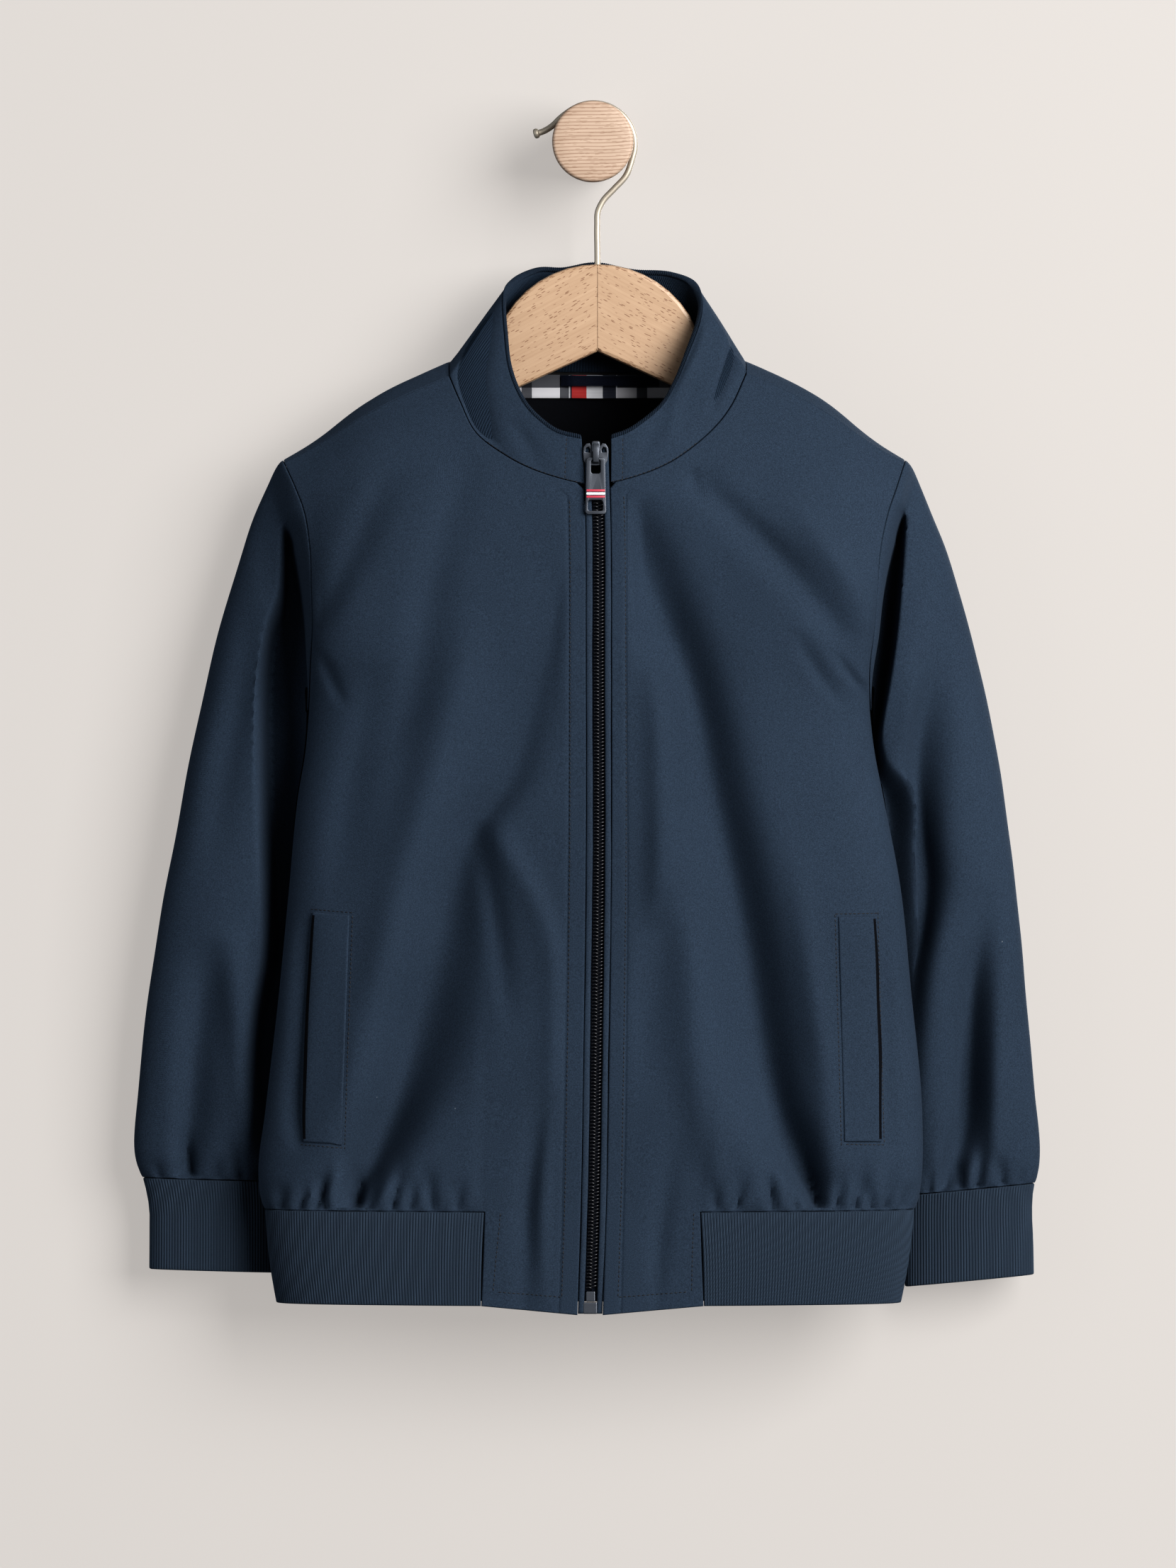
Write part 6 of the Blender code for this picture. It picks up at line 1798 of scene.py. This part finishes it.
# %% Rows of stitches on the fronts and welts
WELT_ROUND = ((0.0, 0.0), (0.0, 1.0), (1.0, 1.0), (1.0, 0.0))
for side in SIDES:
    piece, tree = PIECES["twill_front_" + side], TREES[side]
    foot = int(np.argmax(piece["down"][:, 0] > 8.4))
    block_wide = float(piece["along"][foot][piece["f"] <= BLOCK_END][-1]) - BLOCK_STITCH_IN
    neck_row = piece["rows"] + int((piece["t"] < NECK_T).sum())
    row_of_stitches(grid_line(piece, STITCH_IN[side], foot, neck_row), tree)
    row_of_stitches(grid_line(piece, block_wide, foot, piece["rows"] + 2), tree)
    places = np.linspace(STITCH_IN[side], block_wide, 40)
    row_of_stitches(along_at(piece["at"][foot], piece["along"][foot], places), tree)
    corners = WELT_ROUND + (WELT_ROUND[:1] if side == "right" else ())
    for start, end in zip(corners, corners[1:]):
        j, i = (mix(a, b, np.linspace(-0.01, 1.01, 30)) for a, b in zip(start, end))
        x, z = welt_edge(side, 0.5 + (j - 0.5) * 1.024, 0.5 + (i - 0.5) * 1.16)
        row_of_stitches(seat(tree, x, z), tree)
print(len(STITCH_ROWS), "stitches so far")

# %% Rows of stitches on the collar
collar_tree, collar_grid = tree_of(collar_cloth), PIECES["twill_collar"]
for distance, sign in ((8.8, 1), (8.4, -1)):
    from_zip = collar_grid["s"] if sign > 0 else 1 - collar_grid["s"]
    column = int(np.argmin(np.abs(from_zip * COLLAR_LONG - distance)))
    row_of_stitches(collar_grid["at"][2:-3, column], collar_tree)
    near = np.argsort(np.abs(from_zip))[: len(from_zip) // 6]
    seam = collar_grid["at"][1, np.sort(near)]
    row_of_stitches(seam[np.argsort(seam[:, 0] * sign)] + (0, 0, 0.2), collar_tree)
stitch_mesh()

# %% [markdown]
# ## Zip
# A coil zip is two rows of bent plastic loops that hook into each other half a step apart. Each
# loop is a swept tube. Folded strips of shell cloth run beside the chain, and woven tapes behind.

# %% Folded strips and tapes
ZIP_TOP, TAPE_TOP, EDGE_TOP = -174.7, -186.5, -166.0
CHAIN_FOOT, EDGE_FOOT = -618.0, -630.3
TAPE_ACROSS = (0.4, 0.8, 2.0, 3.2, 5.0, 7.5, 10.0, 12.5, 13.6, 14.0)


def swept(name, middles, sections, material):
    """Closed sections carried along points. sections is rings by corners by 3, from each point."""
    at = middles[:, None, :] + sections
    made = mesh_object(name, at.reshape(-1, 3), tube_faces(*at.shape[:2]), material)
    turn_faces_out(made.data)
    print(name, len(at), "rings")
    return made


def folded_strip(side):
    """A strip folded over on itself: a soft pillow in section, a little uneven along."""
    sign = SIDES[side]
    fine = np.array([0.0, 0.3, 0.8, 1.6])
    z = np.append(EDGE_TOP - fine, np.arange(EDGE_TOP - 4, EDGE_FOOT + 3, -3.0))
    z = np.append(z, EDGE_FOOT + fine[::-1])
    wide = 1.65 + 0.07 * np.sin(z / 23.0 + sign) + 0.05 * np.sin(z / 7.0)
    ends = np.minimum(np.abs(z - EDGE_TOP), np.abs(z - EDGE_FOOT))
    tall = np.sqrt(np.clip(1 - (1 - np.minimum(ends / 1.2, 1)) ** 2, 0.05, 1))
    turn = circle(18)
    x = np.sign(np.cos(turn)) * np.abs(np.cos(turn)) ** 0.75
    y = np.sign(np.sin(turn)) * np.abs(np.sin(turn)) ** 0.8
    shift = sign * (4.95 + 0.08 * np.sin(z / 31.0 + 2 * sign))
    sections = points(shift[:, None] + wide[:, None] * x, 0.75 + tall[:, None] * y, 0.0)
    made = swept("twill_zip_edge_" + side, zip_line(z), sections, FOLDED_EDGE)
    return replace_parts(made, "zip_edge_" + side)


def tape(side):
    z = np.append(np.arange(TAPE_TOP, CHAIN_FOOT, -6.0), CHAIN_FOOT)
    grid_z, grid_a = np.meshgrid(z, TAPE_ACROSS, indexing="ij")
    at = zip_line(grid_z) + points(SIDES[side] * grid_a, 2.7, 0.0)
    out = np.broadcast_to((0.0, -1.0, 0.0), at.shape).copy()
    made = shell("tape_" + side, at, out, 0.6, TAPE, "navy_tape")
    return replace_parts(made, "zip_tape_" + side)


strips = {side: folded_strip(side) for side in SIDES}
tapes = {side: tape(side) for side in SIDES}

# %% Loops of the coil
LOOP_STEP = 1.87
LOOP = {
    "left": table(
        "x y z",
        (-2.95, 1.9, -0.25),
        (-2.75, 0.9, -0.1),
        (-2.1, 0.42, 0.2),
        (-1.35, 0.3, 0.35),
        (-0.6, 0.34, 0.1),
        (0.1, 0.55, -0.2),
        (0.45, 1.1, -0.3),
    ),
    "right": table(
        "x y z",
        (2.95, 1.9, 0.2),
        (2.8, 0.9, 0.35),
        (2.2, 0.42, 0.2),
        (1.4, 0.3, -0.05),
        (0.7, 0.34, -0.25),
        (0.05, 0.55, -0.3),
        (-0.35, 1.1, -0.3),
    ),
}
LOOP_HALF = (0.40, 0.46, 0.50, 0.50, 0.50, 0.52, 0.40)


def coil():
    corners = 8
    turn = circle(corners)[:, None]
    verts, faces, count = [], [], 0
    for side, path in LOOP.items():
        path = points(*path.values())
        along = unit(np.gradient(path, axis=0))
        first = unit(np.cross(along, (0.0, 0.0, 1.0)))
        second = np.cross(first, along)
        wheel = first[:, None] * np.cos(turn) * 0.9 + second[:, None] * np.sin(turn)
        one = path[:, None] + wheel * np.array(LOOP_HALF)[:, None, None]
        top = ZIP_TOP - 6.0 - (0.0 if side == "left" else LOOP_STEP / 2)
        for z in np.arange(top, CHAIN_FOOT + 0.8, -LOOP_STEP):
            verts.append((one + zip_line(z)).reshape(-1, 3))
            faces += tube_faces(len(path), corners, count * len(path) * corners)
            count += 1
    made = mesh_object("zip_coil", np.concatenate(verts), faces, COIL, angle=80)
    turn_faces_out(made.data)
    print("zip coil:", count, "loops")
    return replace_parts(made, "zip_chain")


coil()

# %% [markdown]
# ## Slider and pull tab
# Both are die-cast and plated dark. A flat outline made as a curve, filled, extruded and beveled,
# gives plates with holes and evenly rounded rims. The tab hangs in the slider's bridge and turns
# on it, so it rides on its own body.

# %% Plates from outlines
PULL_AXIS = (1.7, -87.3, -171.8)
CORNER_STEPS = 5
WELD = 2e-6  # points nearer than this, in metres, become one


def rounded(x0, x1, z0, z1, radius, low=0.0):
    """Outline of a rectangle with round corners; its lower end is wider by `low` on each side."""
    outline = []
    for x, z, first in ((x1, z1, 0), (x0, z1, 90), (x0, z0, 180), (x1, z0, 270)):
        wide = low if z == z0 else 0.0
        x_out = x + (wide if x == x1 else -wide)
        cx = x_out - radius if x == x1 else x_out + radius
        cz = z - radius if z == z1 else z + radius
        for n in range(CORNER_STEPS + 1):
            angle = math.radians(first + 90 * n / CORNER_STEPS)
            outline.append((cx + radius * math.cos(angle), cz + radius * math.sin(angle)))
    return outline


def filled(name, outlines, thick, rim):
    """The mesh of a flat plate with beveled rims; outlines inside the first one are holes."""
    curve = bpy.data.curves.new(name, "CURVE")
    curve.dimensions = "2D"
    curve.fill_mode = "BOTH"
    curve.extrude = (thick / 2 - rim) * MM
    curve.bevel_depth = rim * MM
    curve.bevel_resolution = 2
    curve.offset = -rim * MM
    for outline in outlines:
        spline = curve.splines.new("POLY")
        spline.points.add(len(outline) - 1)
        for point, (x, z) in zip(spline.points, outline):
            point.co = (x * MM, z * MM, 0, 1)
        spline.use_cyclic_u = True
    flat = in_scene(name, curve)
    graph = bpy.context.evaluated_depsgraph_get()
    data = bpy.data.meshes.new_from_object(flat.evaluated_get(graph))
    bpy.data.objects.remove(flat, do_unlink=True)
    data.name = name
    return data


def plate(
    name, outlines, front, back, rim, material=ZIP_METAL, body="jacket", turned=False
):
    """A beveled plate between y = front and y = back from the pull's axis."""
    data = filled(name, outlines, back - front, rim)
    mesh = bmesh.new()
    mesh.from_mesh(data)
    bmesh.ops.remove_doubles(mesh, verts=mesh.verts[:], dist=WELD)
    middle = (front + back) / 2 * MM
    axis = [value * MM for value in PULL_AXIS]
    for vert in mesh.verts:
        x, z, y = vert.co
        if turned:
            x, y, z = y, x, z
        else:
            y = y + middle
        vert.co = (axis[0] + x, axis[1] + y, axis[2] + z)
    bmesh.ops.recalc_face_normals(mesh, faces=mesh.faces[:])
    mesh.to_mesh(data)
    mesh.free()
    data.materials.clear()
    data.materials.append(material)
    data.shade_smooth()
    data.set_sharp_from_angle(angle=math.radians(35))
    made = in_scene(name, data)
    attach(made, body)
    return made


print("a corner has", CORNER_STEPS + 1, "points")

# %% Pull tab
TAB = [
    rounded(-5.1, 4.9, -29.7, 0.7, 1.6, low=0.6),
    rounded(-2.7, 2.5, -7.9, -0.5, 1.3),
    rounded(-4.3, 3.7, -27.9, -22.1, 1.2, low=0.1),
]
STRIPES = (
    ("stripe_upper", -16.4, -17.6, "red"),
    ("stripe_middle", -18.05, -19.25, "white"),
    ("stripe_lower", -19.7, -20.9, "red"),
)
tab = plate("pull_tab_plate", TAB, -0.6, 0.6, 0.28, body="pull_tab")
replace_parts(tab, "zip_pull")
for name, high, low, paint in STRIPES:
    outline = rounded(-5.15, 4.85, low, high, 0.3)
    plate(name, [outline], -0.75, -0.5, 0.09, ENAMEL[paint], body="pull_tab")
print("pull tab with", len(STRIPES), "stripes ready")

# %% Slider
WINGS = [
    (-6.6, -1.0), (-7.0, 3.4), (-6.6, 6.4), (-5.2, 8.2), (-3.4, 8.5), (-2.4, 6.9), (2.4, 6.9),
    (3.4, 8.5), (5.2, 8.1), (6.4, 6.2), (6.7, 3.4), (6.2, -1.0), (4.6, -3.6), (-4.8, -3.6),
]
NOTCH_LEFT = [(-5.8, 3.6), (-5.4, 5.9), (-4.0, 6.4), (-3.0, 5.0), (-3.2, 3.4)]
NOTCH_RIGHT = [(5.6, 3.6), (3.2, 3.4), (3.0, 5.0), (3.9, 6.3), (5.2, 5.9)]
FLOOR, CROWN = rounded(-3.0, 2.9, -3.2, 7.6, 1.2), rounded(-2.3, 2.2, 3.2, 9.6, 1.1)
BRIDGE = [
    (1.6, 8.6), (-0.2, 8.4), (-1.4, 7.2), (-1.9, 5.0), (-1.9, 0.6), (-1.3, -1.6), (0.4, -2.6),
    (1.6, -2.8),
]
BRIDGE_HOLE = [
    (1.2, 3.0), (0.2, 3.0), (-0.75, 2.2), (-0.95, 0.8), (-0.6, -0.8), (0.4, -1.5), (1.2, -1.6),
]
slider = [
    plate("slider_front", [WINGS, NOTCH_LEFT, NOTCH_RIGHT], 1.2, 2.3, 0.35),
    plate("slider_floor", [FLOOR], 2.2, 5.2, 0.3),
    plate("slider_crown", [CROWN], -0.4, 2.4, 0.8),
    plate("slider_bridge", [BRIDGE, BRIDGE_HOLE], -1.6, 1.6, 0.4, turned=True),
]
for piece in slider:
    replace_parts(piece, "zip_slider")
print("slider of", len(slider), "plates ready")

# %% [markdown]
# ## Inside the neck
# A facing of check cotton covers the back neck, and it carries a plain striped label and the tape
# loop that the jacket hangs by on a peg. Each is a thin sheet that lies where its solid lies.

# %% Facing, label and loop
def inside_sheet(name, node_name, x, z, thick, lift, material, slot, tree=None):
    """A sheet over the solid of a node: rays find how far back it lies."""
    at = seat(tree or tree_of(NODES[node_name]), x, z) - (0, lift, 0)
    out = facing_front(normals(at, 1.0))
    made = shell(name, turn_edges(at, out, 0.3), out, thick, material, slot)
    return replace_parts(made, node_name)


FACING_FOOT = -137.5
x, share = np.meshgrid(np.linspace(-45.6, 42.6, 60), np.linspace(0.02, 0.98, 16))
top = neck_line(x) - 1.2 - 1.8 * ease((np.abs(x + 1.5) - 33) / 9)
z = top + (FACING_FOOT - top) * share
facing = inside_sheet("check_facing", "neck_facing", x, z, 0.7, 0.3, CHECK, "check_cotton")
x, z = np.meshgrid(np.linspace(-13.0, 13.2, 24), np.linspace(-124.8, -137.2, 10))
under = tree_of(facing)
label = inside_sheet(
    "striped_label", "neck_label", x, z, 0.5, 0.55, LABEL, "label_satin", under
)
x, z = np.meshgrid(np.linspace(-17.4, 35.4, 60), np.linspace(-124.8, -130.8, 8))
loop = inside_sheet("tape_loop", "hanging_loop", x, z, 0.9, 0.0, LOOP_TAPE, "navy_tape")

# %% [markdown]
# ## Hook and peg
# The wire is bent over the peg and its end is upset to a small button. The peg is turned, so a
# profile carried round its axis makes it.

# %% Hook
HOOK_SHANK = [
    (2.5, -77.5), (2.5, -60.0), (2.4, -44.0), (2.7, -37.5), (5.4, -31.6), (11.4, -25.0),
    (18.0, -17.6),
]
HOOK_TIP = [(-17.4, 13.4), (-22.0, 9.0), (-26.6, 6.2), (-32.0, 4.6)]
HOOK_X, HOOK_Z, HOOK_RADIUS = 0.5, -0.85, 22.15
WIRE = 1.65  # half its thickness
WIRE_RINGS = 150
BOARD_Y = -37.0
# The button, ring by ring: how far each is from the tip, and half its thickness.
BUTTON_FROM_TIP = np.array([3.1, 2.9, 2.6, 2.0, 1.4, 0.8, 0.35, 0.1, 0.0])
BUTTON_HALF = (1.7, 2.05, 2.45, 2.7, 2.7, 2.6, 2.2, 1.5, 0.6)
BUTTON_LONG = 3.4


def hook():
    arc = [math.radians(angle) for angle in range(-20, 126, 12)]
    arc = [(HOOK_X + HOOK_RADIUS * math.cos(a), HOOK_Z + HOOK_RADIUS * math.sin(a)) for a in arc]
    corners = np.array(HOOK_SHANK + arc + HOOK_TIP)
    long = run(corners)
    line = {"s": long, "x": corners[:, 0], "z": corners[:, 1]}
    s = np.linspace(0, long[-1] - BUTTON_LONG, WIRE_RINGS)
    s = np.append(s, long[-1] - BUTTON_FROM_TIP)
    half = np.append(np.full(WIRE_RINGS, WIRE), BUTTON_HALF)
    at = points(read(line, "x", s), BOARD_Y, read(line, "z", s))
    back = np.array([0.0, 1.0, 0.0])
    side = unit(np.cross(unit(np.gradient(at, axis=0)), back))
    turn = circle(20)[:, None]
    wheel = side[:, None] * np.cos(turn) + back * np.sin(turn)
    made = swept("wire_hook", at, wheel * half[:, None, None], WIRE_FINISH)
    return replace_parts(made, "hanger_hook")


hook()

# %% Peg
# Its profile from the front to the wall: radius, and height above the wall.
PEG_PROFILE = (
    (12, 55), (20.0, 55), (20.9, 54.75), (21.5, 54.2), (21.8, 53.5), (21.9, 52.6), (21.9, 48.5),
    (21.7, 47.5), (21.1, 46.7), (19.9, 45.9), (19.4, 45.3), (19.2, 44.6), (19.2, 20), (19.2, 0),
)
PEG_CORNERS = 96


def peg():
    turn = circle(PEG_CORNERS)
    radius, height = (column[:, None] for column in np.array(PEG_PROFILE).T)
    at = points(radius * np.cos(turn), -height, radius * np.sin(turn)).reshape(-1, 3)
    faces = tube_faces(len(PEG_PROFILE), PEG_CORNERS)
    made = mesh_object("turned_peg", at, faces, PEG_WOOD, angle=50)
    turn_faces_out(made.data)
    print("the peg stands out", PEG_PROFILE[0][1], "mm")
    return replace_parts(made, "wall_peg")


peg()

# %% Glue line of the hanger's mitre
low, high = (2.37, -42.7, -112.2), (2.63, -39.3, -66.8)
corners = list(itertools.product(*zip(low, high)))
box = [(0, 1, 3, 2), (4, 6, 7, 5), (0, 4, 5, 1), (2, 3, 7, 6), (0, 2, 6, 4), (1, 5, 7, 3)]
mesh_object("mitre_glue", corners, box, BEECH["left"])
print("the mitre is", round(high[2] - low[2], 1), "mm long")

# %% [markdown]


# %% [markdown]
# ## Wall, floor, lights and camera
# The jacket hangs in front of a pale wall. One soft light from the upper right gives the long
# shadow to the left, and an even pale surround fills the rest. The wall and the floor also glow
# evenly, painted light that lifts the jacket's shadows on them. They show from the front alone, so
# the object can be looked at from behind as well. The wall, the floor and the lights are placed in
# metres.

# %% Wall and floor
WALL_Y, FLOOR_Z = 0.0012, -1.6
WIDE, HIGH = 20, 15
# Painted light: the wall and the floor glow evenly in this colour, which lifts the jacket's shadows
# on them.
GLOW = (1.0, 0.95, 0.91, 1.0)


def backdrop(name, corners, colour, roughness, glow):
    data = bpy.data.meshes.new(name)
    data.from_pydata(corners, [], [(0, 1, 2, 3)])
    paint, tree, shader = material(
        name,
        Roughness=roughness,
        Specular_IOR_Level=0.1,
        Emission_Strength=glow,
        Emission_Color=GLOW,
    )
    tone = mathn(tree, "MULTIPLY_ADD", noise(tree, object_place(tree), 3.0), 0.03, 0.985)
    link(tree, toned(tree, colour, tone), shader.inputs["Base Color"])
    clear = node(tree, "ShaderNodeBsdfTransparent").outputs[0]
    behind = node(tree, "ShaderNodeNewGeometry").outputs["Backfacing"]
    seen = node(tree, "ShaderNodeMixShader", {0: behind, 1: shader.outputs[0], 2: clear})
    link(tree, seen.outputs[0], tree.nodes["Material Output"].inputs[0])
    data.materials.append(paint)
    made = in_scene(name, data)
    made.visible_diffuse = made.visible_glossy = False
    made.visible_transmission = made.visible_shadow = False


foot = [(-WIDE, WALL_Y, FLOOR_Z), (WIDE, WALL_Y, FLOOR_Z)]
wall_corners = [*foot, (WIDE, WALL_Y, HIGH), (-WIDE, WALL_Y, HIGH)]
floor_corners = [(-WIDE, -WIDE, FLOOR_Z), (WIDE, -WIDE, FLOOR_Z), *foot[::-1]]
backdrop("wall", wall_corners, (0.165, 0.159, 0.154), 0.9, 0.352)
backdrop("floor", floor_corners, (0.165, 0.160, 0.155), 0.8, 0.345)
print("wall and floor ready, the floor", FLOOR_Z, "m below the peg")

# %% Lights
HANGS_AT = Vector((0.0, -0.04, -0.33))


def soft_light(name, at, size, energy, colour):
    made = in_scene(name, bpy.data.lights.new(name, "AREA"))
    made.location = at
    made.data.energy = energy
    made.data.size = size
    made.data.color = colour
    made.rotation_euler = (HANGS_AT - made.location).to_track_quat("-Z", "Y").to_euler()
    return made


key = soft_light("key", (1.95, -2.45, 0.65), 2.2, 172, (1.0, 0.985, 0.965))
fill = soft_light("fill", (-2.8, -1.3, 0.0), 2.4, 20, (0.95, 0.98, 1.0))
rear = soft_light("rear", (1.4, 3.2, 0.5), 2.6, 70, (1.0, 0.99, 0.98))
surround = bpy.data.worlds.new("surround")
bpy.context.scene.world = surround
surround.use_nodes = True
background = surround.node_tree.nodes["Background"]
background.inputs[0].default_value = (0.93, 0.96, 1.0, 1)
background.inputs[1].default_value = 0.17
bpy.context.scene.view_settings.view_transform = "Standard"
bpy.context.scene.view_settings.look = "High Contrast"
for lamp in (key, fill, rear):
    print(lamp.name, "light:", lamp.data.energy, "W,", round(lamp.data.size, 1), "m wide")

# %% Camera
FRAME_WIDE = 630.4  # of what the camera sees at the jacket, in millimetres
FAR = 7000.0
SENSOR = 36.0
camera = in_scene("camera", bpy.data.cameras.new("camera"))
camera.data.sensor_fit = "HORIZONTAL"
camera.data.sensor_width = SENSOR
camera.data.lens = SENSOR * FAR / FRAME_WIDE
camera.data.clip_end = 100.0
camera.location = (-2.6 * MM, (-85.0 - FAR) * MM, -346.1 * MM)
camera.rotation_euler = (math.radians(90), 0, 0)
bpy.context.scene.camera = camera
print("lens:", round(camera.data.lens), "mm, as the jacket is seen from", FAR * MM, "m away")
